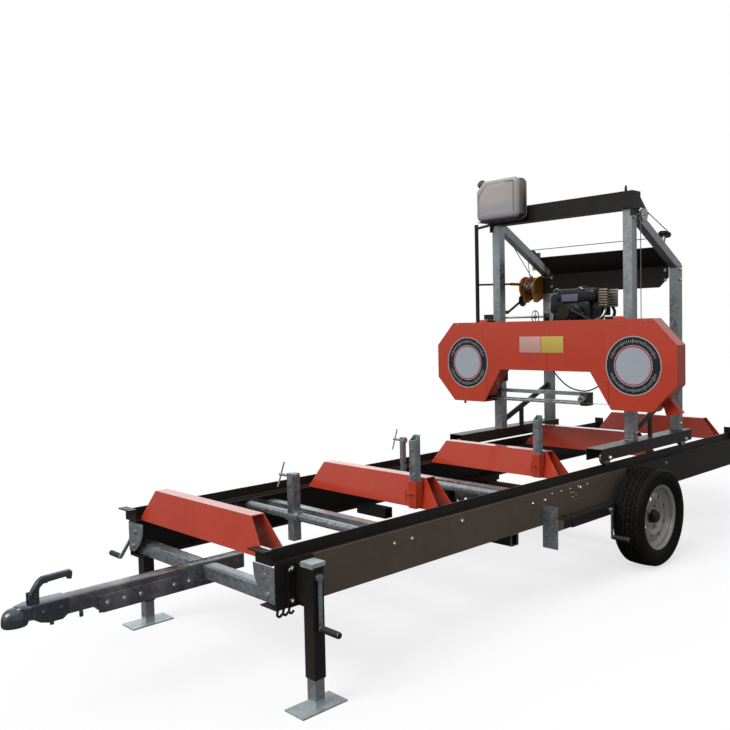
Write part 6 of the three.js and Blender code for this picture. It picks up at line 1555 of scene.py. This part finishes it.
@dataclass
class CoverTrim:
    """Badges, bare plates, sheet seams, rivets and hinge heads of the blade cover."""

    front: float = -208.0
    badges: tuple[tuple[float, str], ...] = ((-620.0, "near"), (620.0, "far"))
    seams: tuple[float, ...] = (456.0, -31.0, -460.0)
    top: float = 1443.0
    low_edge: float = 1126.0
    flat_half: float = 337.0
    slope: Span = (225.0, 140.0)
    rivets: tuple[float, ...] = (-700.0, -560.0, 560.0, 700.0)
    rivet_line: float = 1432.0
    hinge_heads: tuple[tuple[float, int], ...] = (
        (-510.6, -1), (-450.0, 1), (-390.0, 1), (510.6 + 60, 1), (450.0, -1))

    def build(self) -> None:
        """Make the trim."""
        for y, name in self.badges:
            Badge(y, name).build()
        for name, low, high, finish in (("pale", (17.0, 1241.0), (180.0, 1345.0), PLATE_WHITE),
                                        ("yellow", (-150.0, 1241.0), (13.0, 1345.0), PLATE_YELLOW)):
            plate = block(car(self.front - 0.9, *low), car(self.front + 0.1, *high), 0.3, 2)
            SHOP.place(f"cover_plate_{name}", plate, "blade_cover", finish)
        lines = []
        rise, run = self.slope
        for y in self.seams:
            past = abs(y) - self.flat_half
            low = self.low_edge
            if past >= 0:
                low -= 1.0 + past * rise / run
            lines.append(block(car(self.front - 0.5, y - 1.6, low + 6),
                               car(self.front + 0.1, y + 1.6, self.top), 0.25, 2))
        SHOP.place("cover_seams", joined(lines), "blade_cover", ORANGE)
        rivets = [lathe(rounded(((0, 0), (5, 0), (4.2, 2.2), (0, 2.8)), 0.8),
                        car(self.front, y, self.rivet_line), Vector(AHEAD), 20)
                  for y in self.rivets]
        SHOP.place("cover_rivets", joined(rivets), "blade_cover", ZINC_PLATE)
        heads = [lathe(rounded(((0, 0), (8.6, 0), (8.6, 4), (0, 5.5)), 1.0), car(-113, y, 1455),
                       Vector((0, way, 0)), 24) for y, way in self.hinge_heads]
        SHOP.place("hinge_pin_heads", joined(heads), "head", ZINC_PLATE)


@dataclass
class Engine:
    """The engine as its separate castings and covers, inside the space of its solid.

    A Share gives a part's ends as shares of the engine's length, width and height.
    """

    front: float = 78.0
    length: float = 250.0
    middle: float = -60.0
    width: float = 440.0
    low: float = 1392.3
    top: float = 1660.0
    shaft: float = 1498.0
    crankcase: Share = ((0.06, 0.76), (-0.22, 0.2), (0.05, 0.66))
    feet: Share = ((0.02, 0.8), (-0.25, 0.25), (0.0, 0.08))
    cylinder: Share = ((0.21, 0.69), (-0.33, -0.08), (0.34, 0.62))
    fins: int = 11
    fin_start: float = 0.2
    fin_end: float = 0.218
    fin_pitch: float = 0.046
    fuel_tank: Share = ((0.03, 0.9), (-0.33, 0.36), (0.62, 0.985))
    tank_rim: Share = ((0.022, 0.908), (-0.335, 0.365), (0.76, 0.78))
    cleaner: Share = ((0.06, 0.66), (0.16, 0.5), (0.34, 0.9))
    housing: Share = ((0.1, 0.7), (0.1, 0.46), (0.1, 0.5))
    panel: Share = ((0.018, 0.04), (-0.04, 0.24), (0.66, 0.84))
    silencer_box: Share = ((0.14, 0.62), (-0.44, -0.31), (0.52, 0.86))
    guard_ends: tuple[Span, ...] = ((0.1, 0.12), (0.64, 0.66))
    guard_bars: int = 7
    guard_low: float = 0.5
    guard_pitch: float = 0.062
    guard_bar: float = 0.034
    outlet: tuple[Point, ...] = (
        (0.3, -0.4, 0.55), (0.26, -0.41, 0.4), (0.2, -0.36, 0.24), (0.2, -0.2, 0.16))
    stay: tuple[Point, ...] = (
        (0.6, -0.42, 0.53), (0.6, -0.46, 0.38), (0.56, -0.42, 0.22), (0.5, -0.2, 0.12))
    throttle: tuple[Point, ...] = ((0.1, 0.26, 0.9), (0.02, 0.31, 0.99), (0.0, 0.37, 0.93))
    choke: tuple[Point, ...] = ((0.06, -0.02, 0.94), (0.0, -0.08, 1.0), (0.0, -0.14, 0.95))

    def at(self, x: float, y: float, z: float) -> Vector:
        """A point by shares of the engine's length, width and height."""
        return car(self.front + x * self.length, self.middle + y * self.width,
                   self.low + z * (self.top - self.low))

    def slab(self, share: Share, rounding: float) -> Mesh:
        """A rounded box between shares."""
        low, high = zip(*share)
        return block(self.at(*low), self.at(*high), rounding)

    def knob(self, x: float, y: float, z: float, radius: float, depth: float) -> Mesh:
        """A turned fitting that points forward.

        Args:
            x: The place, as shares of the engine's length, width and height.
            y: The second share.
            z: The third share.
            radius: In millimetres.
            depth: How far it stands out.

        Returns:
            The mesh.
        """
        profile = rounded(
            ((0, 0), (radius, 0), (radius, depth * 0.6), (radius * 0.7, depth), (0, depth)), 1.0)
        return lathe(profile, self.at(x, y, z), Vector(AHEAD), 28)

    def rod(self, route: tuple[Point, ...], radius: float, sides: int = 12) -> Mesh:
        """A bent rod or pipe through places given by shares."""
        return tube(smooth_path([self.at(*place) for place in route], 6), radius, sides)

    def put(self, name: str, shape: Mesh, finish: Finish = MOTOR, stands_for: Sequence[str] = (),
            sharp: float = 38.0) -> None:
        """Place one of the engine's parts on the saw head."""
        SHOP.place(f"engine_{name}", shape, "head", finish, stands_for, sharp)

    def build(self) -> None:
        """Make the engine's parts."""
        self.block()
        self.covers()
        self.silencer()
        self.fittings()

    def block(self) -> None:
        """Crankcase, feet, cylinder fins and shaft."""
        x_way = Axis.X.vector
        boss = lathe(rounded(((0, -30), (46, -30), (58, -16), (62, 20), (0, 20)), 4),
                     car(self.front, self.middle, self.shaft), x_way, 48)
        self.put("crankcase",
                 joined((self.slab(self.crankcase, 14.0), self.slab(self.feet, 4.0), boss)), MOTOR,
                 ["engine"])
        fins = []
        for k in range(self.fins):
            along = (self.fin_start + self.fin_pitch * k, self.fin_end + self.fin_pitch * k)
            fins.append(self.slab((along, (-0.37, -0.08), (0.3, 0.66)), 1.2))
        fins.append(self.slab(self.cylinder, 8.0))
        self.put("fins", joined(fins))
        output = lathe(rounded(plug(10, 0, 128), 1.0), car(-40.2, self.middle, self.shaft),
                       x_way, 32)
        self.put("shaft", output, ZINC_PLATE)

    def covers(self) -> None:
        """Fuel tank, air cleaner, fan shroud and starter."""
        x_way = Axis.X.vector
        self.put("tank", self.slab(self.fuel_tank, 30.0), sharp=60.0)
        self.put("tank_rim", self.slab(self.tank_rim, 2.0))
        cap = lathe(rounded(((0, 0), (30, 0), (30, 14), (26, 17), (0, 17)), 2.0),
                    car(self.front + self.length / 2, self.middle, self.top - 5), Axis.Z.vector, 96,
                    lambda k, i: -1.4 if i % 6 > 3 and k in range(2, 9) else 0.0)
        self.put("fuel_cap", cap)
        self.put("air_cleaner",
                 joined((self.slab(self.cleaner, 40.0), self.slab(self.housing, 30.0))), sharp=60.0)
        self.put("panel", self.slab(self.panel, 2.0), MOTOR_PLATE)
        rear = car(self.front + self.length, self.middle, self.shaft)
        shroud = lathe(
            rounded(((0, -62), (100, -62), (100, -36), (88, -26), (0, -26)), 5.0), rear, x_way, 72)
        self.put("shroud", shroud)
        starter = lathe(
            rounded(((0, -32), (75, -32), (75, -12), (64, -1), (24, -1), (20, -4), (0, -4)), 3.0),
            rear, x_way, 120, lambda k, i: -2.5 if i % 10 > 6 and k in range(3, 8) else 0.0)
        self.put("starter", starter)
        self.put("starter_grip", block(rear + Vector((-28, 62, 64)) * MM,
                                       rear + Vector((-10, 92, 78)) * MM, 5.0))

    def silencer(self) -> None:
        """Silencer, its slotted guard and the outlet."""
        self.put("silencer", self.slab(self.silencer_box, 16.0), sharp=60.0)
        ends = [self.slab((along, (-0.5, -0.36), (self.guard_low, 0.94)), 2.0)
                for along in self.guard_ends]
        bars, face = [], []
        for k in range(self.guard_bars):
            low = self.guard_low + self.guard_pitch * k
            high = self.guard_low + self.guard_bar + self.guard_pitch * k
            bars.append(self.slab(((0.1, 0.66), (-0.5, -0.49), (low, high)), 1.5))
            face.append(self.slab(((0.1, 0.108), (-0.5, -0.36), (low, high)), 1.5))
        self.put("guard", joined((*ends, *bars, *face)), GUARD, sharp=60.0)
        self.put("outlet", self.rod(self.outlet, 9.0, 20), ZINC_PLATE)
        self.put("stay", self.rod(self.stay, 10.0, 16))

    def fittings(self) -> None:
        """Levers, brass and pale fittings, and the bolts of the feet."""
        self.put("levers", joined((self.rod(self.throttle, 3.4), self.rod(self.choke, 3.4))),
                 ZINC_PLATE)
        self.put("brass_fittings",
                 joined((self.knob(0.06, 0.1, 0.34, 11, 20), self.knob(0.06, 0.0, 0.29, 8, 16))),
                 BRASS)
        self.put("pale_fittings",
                 joined((self.knob(0.06, 0.05, 0.4, 9, 18), self.knob(0.05, -0.12, 0.36, 10, 22))),
                 ZINC_PLATE)
        bolts = [hexagon(self.at(x, y, 0.08), Axis.Z.vector, 13.0, 8.0) for x in (0.08, 0.72)
                 for y in (-0.23, 0.23)]
        self.put("bolts", joined(bolts), ZINC_PLATE)


@dataclass
class Coupler:
    """Drawbar tube with its cross arm and shoe, the ball coupler's casting and its lever."""

    top: float = 450.0
    tube: float = 65.0
    front: float = -640.0
    rear: float = 235.0
    arm_place: float = 55.0
    arm_tube: float = 60.0
    arm_low: float = 382.3
    arm_half: float = 558.7
    shoe: tuple[float, float, float] = (-450.0, 140.0, 32.0)
    pivot: Span = (-680.0, 476.0)
    saddle_wall: float = 8.5
    nose_place: float = -742.0
    nose: Profile = (
        (0, 42), (25, 36), (27, 0), (36, 0), (40, 10), (39, 34), (34, 52), (24, 63), (0, 68))
    nose_stretch: Span = (1.3, 1.1)
    neck: Profile = (
        (-745, -20), (-722, -33), (-700, -37), (-640, -39.5), (-572, -39.5), (-560, -30),
        (-560, 30), (-572, 39.5), (-640, 39.5), (-700, 37), (-722, 33), (-745, 20))
    lever_side: Profile = (
        (-15, -13), (13, -13), (16, 6), (24, 26), (32, 40), (44, 44), (52, 36), (60, 46), (128, 50),
        (132, 34), (146, 32), (150, 58), (142, 68), (36, 64), (18, 52), (2, 28), (-13, 6))
    lever_half: float = 11.0

    @property
    def half(self) -> float:
        """Half the width of the drawbar's tube."""
        return self.tube / 2

    @property
    def low(self) -> float:
        """The height of the tube's underside."""
        return self.top - self.tube

    def build(self) -> None:
        """Make the drawbar, its coupler and the lever."""
        self.beam()
        self.casting()
        self.lever()

    def plate(self, side: Profile, start: float, width: float, rounding: float) -> Mesh:
        """A side outline in X and Z drawn out across the machine, sizes in millimetres."""
        return prism([bed(x, start, z) for x, z in side], Vector((0, width * MM, 0)), rounding)

    def beam(self) -> None:
        """Square tube, cross arm, shoe and side strap."""
        half, low = self.half, self.low
        bar = block(bed(self.front, -half, low), bed(self.rear, half, self.top), 6.0)
        SHOP.place("drawbar_tube", bar, "bed", DRAWBAR_COAT, ["drawbar"])
        arm = block(bed(self.arm_place - self.arm_tube / 2, -self.arm_half, self.arm_low),
                    bed(self.arm_place + self.arm_tube / 2, self.arm_half,
                        self.arm_low + self.arm_tube), 6.0)
        SHOP.place("drawbar_cross_arm", arm, "bed", ZINC_DIP)
        start, end, depth = self.shoe
        shoe = self.plate(((start, low), (start + 8, low - depth * 0.45), (start + 26, low - depth),
                           (end, low - depth), (end, low)), -half + 3, self.tube - 6, 2.0)
        SHOP.place("drawbar_shoe", shoe, "bed", DRAWBAR_COAT)
        strap = self.plate(((start + 6, low - 26), (start + 6, low + 40), (end, low + 40),
                            (end, low - 26)), -half - 6, 6.5, 1.5)
        SHOP.place("drawbar_side_strap", strap, "bed", DRAWBAR_COAT)
        heads = [hexagon(bed(start + x, -half - 6, low + 8), Vector((0, -1, 0)), 15.0, 8.0)
                 for x in (40, 110, 180, 330, 400)]
        heads.extend(hexagon(bed(x, half + 0.2, low + 24), Vector((0, 1, 0)), 20.0, 11.0)
                     for x in (-385, -225, -65))
        SHOP.place("drawbar_bolt_heads", joined(heads), "bed", ZINC_PLATE)

    def casting(self) -> None:
        """The rounded nose, its neck and the saddle on the tube."""
        half, low, top = self.half, self.low, self.top
        nose = lathe(rounded(self.nose, 5.0), Vector((0, 0, 0)), Axis.Z.vector, 72)
        before, behind = self.nose_stretch
        for vert in nose.verts:
            vert.co.x *= before if vert.co.x < 0 else behind
            vert.co += bed(self.nose_place, 0, low - 4)
        neck = prism([bed(x, y, low + 14) for x, y in self.neck],
                     Vector((0, 0, (self.tube - 13) * MM)), 9.0)
        saddle = self.plate(((-668, low - 2), (-640, low - 10), (-586, low - 10), (-560, low + 8),
                             (-560, top + 2), (-690, top + 2), (-690, low + 12)),
                            -half - self.saddle_wall, self.tube + 2 * self.saddle_wall, 4.0)
        lugs = [block(bed(x, -half - 5, low - 22), bed(x + 14, -half + 6, low + 2), 3.0)
                for x in (-632, -520)]
        place, height = self.pivot
        cheeks = [block(bed(place - 17, s * 14, top), bed(place + 17, s * 19, height + 12), 3.0)
                  for s in (-1, 1)]
        SHOP.place("coupler_casting", joined((nose, neck, saddle, *cheeks, *lugs)), "bed",
                   COUPLER_CAST, sharp=50.0)
        pin = lathe(rounded(plug(6, -24, 24), 1.2), bed(place, 0, height), Axis.Y.vector, 24)
        bolts = [hexagon(bed(x, s * (half + self.saddle_wall), top - 30), Vector((0, s, 0)), 15.0,
                         8.0) for x in (-655, -590) for s in (-1, 1)]
        SHOP.place("coupler_bolts", joined((pin, *bolts)), "bed", COUPLER_CAST)

    def lever(self) -> None:
        """The thick cast lever with its hooked end."""
        place, height = self.pivot
        bar = self.plate([(place + x, height + z) for x, z in self.lever_side], -self.lever_half,
                         2 * self.lever_half, 4.0)
        SHOP.place("coupler_lever_bar", bar, "coupler_lever", COUPLER_CAST, ["coupler_lever"], 50.0)


@dataclass
class TensionDrive:
    """The hand wheel, its threaded rod and collars."""

    x: float = 62.0
    z: float = 1474.0
    bracket: float = 150.0
    bracket_half: float = 10.6
    wheel: float = 240.0
    wheel_radius: float = 42.0
    rod: float = 7.0
    root: float = 6.2
    thread_start: float = 300.0
    thread_pitch: float = 2.5
    collar: float = 14.0
    collar_width: float = 6.0
    end: float = 606.0

    def build(self) -> None:
        """Make the screw as one turned piece with its wheel."""
        y_way = Axis.Y.vector
        middle = car(self.x, self.wheel, self.z)
        start = self.bracket - self.bracket_half - self.collar_width
        behind = self.bracket + self.bracket_half
        profile = [(0.0, start), (self.collar - 0.6, start), (self.collar, start + 0.6),
                   (self.collar, start + self.collar_width - 0.6),
                   (self.collar - 0.6, start + self.collar_width),
                   (self.rod, start + self.collar_width), (self.rod, behind), (self.collar, behind),
                   (self.collar, behind + self.collar_width),
                   (self.rod, behind + self.collar_width), (self.rod, self.thread_start)]
        y = self.thread_start
        while y < self.end - 4:
            profile.extend(((self.rod, y), (self.root, y + 1.0), (self.rod, y + 2.0)))
            y += self.thread_pitch
        profile.extend(((6.4, self.end), (0.0, self.end)))
        rod = lathe(profile, car(self.x, 0, self.z), y_way, 28)
        rim = ring(middle, y_way, self.wheel_radius, 3.6)
        hub = lathe(rounded(plug(13, -9, 9), 1.5), middle, y_way, 32)
        reach = self.wheel_radius - 1
        spokes = [tube([car(self.x - reach * c, self.wheel, self.z - reach * s),
                        car(self.x + reach * c, self.wheel, self.z + reach * s)], 3.0)
                  for c, s in ((1, 0), (0, 1))]
        SHOP.place("tension_screw_wheel", joined((rod, rim, hub, *spokes)), "tension_screw",
                   ZINC_PLATE, ["tension_screw"])


@dataclass
class Fasteners:
    """Bolts and weld beads, with the gussets, plates and hooks that they hold."""

    web: float = 565.0
    jack_plate: float = 571.0
    bunks: int = 5
    first_bunk: float = 10.0
    bunk_pitch: float = 1020.0
    bunk_middle: float = 56.0
    post_line: float = 494.0
    rear_post: float = 612.0
    panel_rows: tuple[float, ...] = (1700.0, 1765.0)
    gusset: Profile = ((-430, 540), (-563, 540), (-563, 400), (-515, 402), (-465, 440), (-436, 490))
    hook: tuple[Point, ...] = ((0, -558, 378), (-4, -557, 358), (8, -556, 348), (20, -556, 356))
    corner_plate: Profile = (
        (-48, 2100), (-48, 2208), (50, 2208), (176, 2096), (160, 2076), (100, 2126), (48, 2126),
        (48, 2100))
    bolts: list[tuple[str, str, Vector, Vector, float]] = field(default_factory=list)
    beads: list[tuple[str, Finish, list[Vector], float]] = field(default_factory=list)

    def bolt(self, group: str, body: str, at: Vector, way: Point, width: float = 16.0) -> None:
        """Note one bolt head."""
        self.bolts.append((group, body, at, Vector(way), width))

    def bead(self, body: str, finish: Finish, path: Sequence[Vector], size: float = 3.0) -> None:
        """Note one weld bead along a path."""
        self.beads.append((body, finish, list(path), size))

    def build(self) -> None:
        """Place the heads and the beads."""
        self.posts()
        self.rails()
        self.near_rail()
        self.top_beam()
        self.winch()
        groups: dict[tuple[str, str], list[Mesh]] = {}
        for group, body, at, way, width in self.bolts:
            groups.setdefault((group, body), []).append(hexagon(at, way, width, width * 0.62))
        for (group, body), shapes in groups.items():
            SHOP.place(f"bolts_{group}", joined(shapes), body, ZINC_PLATE)
        welds: dict[tuple[str, str], list[Mesh]] = {}
        finishes = {}
        for body, finish, path, size in self.beads:
            finishes[finish.name] = finish
            welds.setdefault((body, finish.name), []).append(self.run(path, size))
        for (body, label), shapes in welds.items():
            SHOP.place(f"welds_{body}_{label.replace(' ', '_')}", joined(shapes), body,
                       finishes[label])

    def run(self, path: Sequence[Vector], size: float) -> Mesh:
        """A bead with the small scales that a torch leaves.

        Args:
            path: The bead's line, in metres.
            size: Its radius, in millimetres.

        Returns:
            The mesh.
        """
        fine: list[Vector] = []
        for a, b in zip(path, path[1:]):
            count = max(2, int((b - a).length / 0.004))
            fine.extend(a.lerp(b, i / count) for i in range(count))
        fine.append(path[-1])
        shape = tube(fine, size, 8)
        rings = len(fine)
        shape.verts.ensure_lookup_table()
        for i in range(rings):
            swell = 1.0 + 0.16 * math.sin(i * 2.1) + 0.06 * math.sin(i * 0.83)
            for k in range(8):
                vert = shape.verts[i * 8 + k]
                vert.co = fine[i] + (vert.co - fine[i]) * swell
        return shape

    def foot(self, x: float, y: float, z: float, half: float) -> list[Vector]:
        """The square line round a post's foot."""
        corners = ((-half, -half), (half, -half), (half, half), (-half, half), (-half, -half))
        return [car(x + a, y + b, z) for a, b in corners]

    def posts(self) -> None:
        """Bolts and welds of the carriage posts."""
        for side in Side:
            s = side.value
            out, rear = (0, s, 0), self.rear_post
            for x in (0.0, rear):
                self.bead("carriage", WELD, self.foot(x, s * self.post_line, 700.5, 31.0), 3.0)
            for x, z in ((0.0, 742.0), (0.0, 2060.0), (rear, 742.0),
                         *((rear, z) for z in self.panel_rows)):
                self.bolt("posts", "carriage", car(x, s * 524, z), out, 17.0)
            for z in self.panel_rows:
                self.bolt("panel", "carriage", car(576.5, s * 440, z), AHEAD, 15.0)
            for z in (1052.0, 1414.0):
                self.bolt("sleeves", "head", car(0.0, s * 532, z), out, 15.0)
                self.bolt("sleeves", "head", car(38.0, s * self.post_line, z - 30), Axis.X.value,
                          15.0)
            for _, x in ROLLERS:
                self.bolt("rollers", "carriage", car(x, s * 565, ROLLER_HEIGHT), out, 22.0)
            self.bead("carriage", WELD, [car(31, s * 486, 772), car(31, s * 502, 772)], 3.0)

    def rails(self) -> None:
        """Bolts of the bunks, jacks, axle and cross plates, and the front gussets."""
        for k in range(self.bunks):
            x = self.first_bunk + self.bunk_pitch * k + self.bunk_middle
            for s in (-1, 1):
                self.bolt("rail_web", "bed", bed(x, s * self.web, 520), (0, s, 0), 16.0)
        for side in Side:
            s = side.value
            rows = (("jack_plate", (75, 165), (400, 525), self.jack_plate, 16.0),
                    ("axle_plate", (2560, 2730), (400,), self.web, 16.0),
                    ("cross_plate", (635, 745, 1655, 1765), (505,), self.web, 14.0))
            for group, xs, zs, face, width in rows:
                for x in xs:
                    for z in zs:
                        self.bolt(group, "bed", bed(x, s * face, z), (0, s, 0), width)
            self.bead("bed", WELD_BLACK, [bed(92, s * 669, 540), bed(148, s * 669, 540)], 2.2)
            plate = prism(
                [bed(-6, -s * y, z) for y, z in self.gusset], Vector((5.6 * MM, 0, 0)), 1.5)
            SHOP.place(f"front_gusset_{side.label}", plate, "bed", ZINC_DIP)
            for y, z in ((500, 500), (520, 430)):
                self.bolt("front_gusset", "bed", bed(-6, s * y, z), AHEAD, 18.0)

    def near_rail(self) -> None:
        """The small heads in the near rail's web and the hooks below its front end."""
        for x in (1833, 1919, 2007, 2088, 2181):
            self.bolt("near_row", "bed", bed(x, -self.web, 528), (0, -1, 0), 9.0)
        for x, z in ((2016, 505), (2040, 500), (2030, 478), (2065, 484)):
            self.bolt("near_cluster", "bed", bed(x, -self.web, z), (0, -1, 0), 6.5)
        hooks = [tube(smooth_path([bed(x + along, y, z) for along, y, z in self.hook], 6), 5.0)
                 for x in (14, 42, 70)]
        SHOP.place("near_end_hooks", joined(hooks), "bed", BLACK)

    def top_beam(self) -> None:
        """The plates at the top beam's ends and the ring in its lifting eye."""
        plates = [prism([car(x, y, z) for x, z in self.corner_plate], Vector((0, 4.5 * MM, 0)), 1.2)
                  for y in (-529.0, 524.5)]
        SHOP.place("top_corner_plates", joined(plates), "carriage", BLACK)
        eye = ring(car(0.0, -470.0, 2234.0), Vector((-0.565, 0.825, 0)), 20.0, 6.0, 40)
        SHOP.place("lifting_eye_ring", eye, "carriage", BLACK)

    def winch(self) -> None:
        """Bolts of the winch."""
        for x, z in ((554.0, 1765.0), (554.0, 1640.0), (504.0, 1600.0)):
            self.bolt("winch", "carriage", car(x, 612.3, z), Axis.Y.value, 11.0)
        self.bolt("winch_pin", "carriage", car(DRUM_X, 624.2, DRUM_Z), Axis.Y.value, 20.0)


@dataclass
class Grips:
    """Rubber grips over the crank handles, with ribs."""

    radius: float = 12.6
    rib: float = 0.6
    ribs: int = 7
    length: float = 95.0
    winch_length: float = 84.0
    arm: float = 14.0
    gap: float = 4.0
    jack_face: float = 668.8
    jack_reach: float = 192.0
    far_turn: float = 0.62
    swing_face: float = 612 + 27.5
    winch_reach: float = 194.0
    winch_turn: float = 1.1

    def build(self) -> None:
        """Make each grip on its crank."""
        for side in Side:
            s = side.value
            turn = self.far_turn if side is Side.FAR else 0.0
            start = bed(120 - math.sin(turn) * self.jack_reach,
                        s * (self.jack_face + self.arm + self.gap),
                        500 - math.cos(turn) * self.jack_reach)
            self.one(f"jack_grip_{side.label}", start, Vector((0, s, 0)), self.length,
                     f"jack_crank_{side.label}")
        swing = bed(2105 + 193, -(self.swing_face + self.arm + self.gap), 372 - 152)
        self.one("swing_grip", swing, Vector((0, -1, 0)), self.length, "swing_jack")
        crank = car(486.7 - math.sin(self.winch_turn) * self.winch_reach, 656.0,
                    1605 - math.cos(self.winch_turn) * self.winch_reach)
        self.one("winch_grip", crank, Vector((0, 1, 0)), self.winch_length, "winch_crank")

    def one(self, name: str, start: Vector, way: Vector, length: float, body: str) -> None:
        """Make one grip with shallow ribs.

        Args:
            name: The piece's name.
            start: Where the grip begins, in metres.
            way: The handle's direction.
            length: In millimetres.
            body: The crank's body.
        """
        high = self.radius + self.rib
        profile: list[Span] = [(0.0, 0.0), (self.radius, 0.0)]
        step = length / self.ribs
        for k in range(self.ribs):
            low = k * step
            profile.extend(((high, low + step * 0.2), (high, low + step * 0.7),
                            (self.radius, low + step * 0.9)))
        profile.extend(((self.radius * 0.8, length + 2.0), (0.0, length + 3.0)))
        SHOP.place(name, lathe(profile, start, way, 36), body, RUBBER)


# ---- Studio -----------------------------------------------------------------------------


@dataclass(frozen=True)
class Glow:
    """A bright wall of the studio that polished faces reflect."""

    way: Point
    low: float
    high: float
    strength: float


@dataclass(frozen=True)
class Lamp:
    """A broad far lamp, with its place, what it is aimed at and its spread in degrees."""

    name: str
    strength: float
    place: Point
    spread: float
    aim: Point = (0.4, 0.0, 0.8)


@dataclass
class Studio:
    """Pale floor, soft light and the camera."""

    eye: Point = (-3.511, -2.9535, 1.430)
    lens: float = 39.81
    film: float = 36.0
    far_limit: float = 200.0
    right: Point = (0.7223667406109526, -0.691161213991584, -0.021965161797459262)
    down: Point = (-0.04829570873755115, -0.018738818827660757, -0.998657289157037)
    ahead: Point = (0.6898215831478792, 0.7224576340122817, -0.04691642016106626)
    white: Colour = (1.0, 1.0, 1.0)
    daylight: Colour = (0.97, 0.98, 1.0)
    mirror_tint: Colour = (0.95, 0.98, 1.0)
    sky_light: float = 0.55
    ceiling: float = 0.85
    darkest: float = 0.05
    floor_reach: float = 60.0
    floor_seen: Colour = (0.42, 0.42, 0.42)
    floor_reflected: Colour = (0.2, 0.2, 0.2)
    floor_glow: float = 0.665
    glows: tuple[Glow, ...] = (
        Glow((0.70, 0.71, 0.0), 0.35, 0.95, 1.4), Glow((-0.72, 0.69, 0.0), -0.1, 1.0, 0.55),
        Glow((0.70, -0.71, 0.0), 0.3, 1.0, 0.45))
    lamps: tuple[Lamp, ...] = (Lamp("key lamp", 1.75, (-5.0, 0.2, 5.4), 35.0),
                               Lamp("fill lamp", 0.14, (-2.0, -6.0, 2.5), 60.0))

    def camera(self) -> None:
        """Make the camera where the picture was taken from."""
        data = bpy.data.cameras.new("camera")
        data.lens, data.sensor_width = self.lens, self.film
        data.clip_end = self.far_limit
        made = bpy.data.objects.new("camera", data)
        bpy.context.scene.collection.objects.link(made)
        columns = (Vector(self.right), -Vector(self.down), -Vector(self.ahead))
        turn = Matrix(columns).transposed().to_4x4()
        made.matrix_world = Matrix.Translation(Vector(self.eye)) @ turn
        bpy.context.scene.camera = made

    def world(self) -> None:
        """A white sky for the eye and for reflections, and a calmer one for light."""
        world = bpy.data.worlds.new("studio sky")
        bpy.context.scene.world = world
        world.use_nodes = True
        world.node_tree.nodes.clear()
        graph = Graph(world.node_tree)
        where = graph.add("TexCoord").outputs["Generated"]
        height = graph.add("SeparateXYZ", {0: where}).outputs[2]
        level = graph.spread(height, -0.1, 0.9, 0.3, 1.0)
        soft = graph.add("Background", {
            "Color": self.daylight, "Strength": graph.maths("MULTIPLY", level, self.sky_light)})
        seen = graph.add("Background", {"Color": self.white, "Strength": 1.0})
        bright: object = graph.maths("MULTIPLY", graph.spread(height, 0.3, 0.95), self.ceiling)
        for glow in self.glows:
            dot = graph.add("VectorMath", {0: where, 1: glow.way},
                            operation="DOT_PRODUCT").outputs["Value"]
            wall = graph.maths("MULTIPLY", graph.spread(dot, glow.low, glow.high), glow.strength)
            bright = graph.maths("MAXIMUM", bright, wall)
        bright = graph.maths("MAXIMUM", bright, self.darkest)
        mirror = graph.add("Background", {"Color": self.mirror_tint, "Strength": bright})
        path = graph.add("LightPath")
        glossy = graph.add("MixShader", {0: path.outputs["Is Glossy Ray"], 1: soft.outputs[0],
                                         2: mirror.outputs[0]})
        camera = graph.add("MixShader", {0: path.outputs["Is Camera Ray"], 1: glossy.outputs[0],
                                         2: seen.outputs[0]})
        out = graph.add("OutputWorld")
        graph.feed(out.inputs[0], camera.outputs[0])

    def floor(self) -> None:
        """A wide pale floor that keeps the shadow."""
        shape = bmesh.new()
        reach, drop = self.floor_reach, -0.0005
        corners = [shape.verts.new(Vector((x * reach, y * reach, drop))) for x, y in QUARTERS]
        shape.faces.new(corners)
        made = finished("floor", shape)
        material = bpy.data.materials.new("pale floor")
        material.use_nodes = True
        material.node_tree.nodes.clear()
        graph = Graph(material.node_tree)
        diffuse = graph.add("BsdfDiffuse", {"Color": self.floor_seen})
        glow = graph.add("Emission", {"Color": self.white, "Strength": self.floor_glow})
        both = graph.add("AddShader", {0: diffuse.outputs[0], 1: glow.outputs[0]})
        plain = graph.add("BsdfDiffuse", {"Color": self.floor_reflected})
        path = graph.add("LightPath")
        mixed = graph.add("MixShader", {0: path.outputs["Is Camera Ray"], 1: plain.outputs[0],
                                        2: both.outputs[0]})
        out = graph.add("OutputMaterial")
        graph.feed(out.inputs[0], mixed.outputs[0])
        made.data.materials.append(material)

    def shine(self, lamp: Lamp) -> None:
        """Place one broad lamp.

        Args:
            lamp: What is known of it.
        """
        data = bpy.data.lights.new(lamp.name, "SUN")
        data.energy, data.angle = lamp.strength, math.radians(lamp.spread)
        made = bpy.data.objects.new(lamp.name, data)
        bpy.context.scene.collection.objects.link(made)
        way = Vector(lamp.aim) - Vector(lamp.place)
        made.rotation_euler = way.to_track_quat("-Z", "Y").to_euler()

    def build(self) -> None:
        """Set the whole studio."""
        bpy.context.scene.view_settings.view_transform = "Standard"
        self.camera()
        self.world()
        self.floor()
        for lamp in self.lamps:
            self.shine(lamp)


def main() -> None:
    """Build the studio and every sub-assembly, and report each piece."""
    Studio().build()
    Dressing().dress()
    for side in Side:
        RoadWheel(side).build()
    Turned().build()
    LiftRope().build()
    WaterSupply().build()
    CoverTrim().build()
    Engine().build()
    Coupler().build()
    TensionDrive().build()
    Fasteners().build()
    Grips().build()
    bpy.context.view_layer.update()


if __name__ == "__main__":
    main()
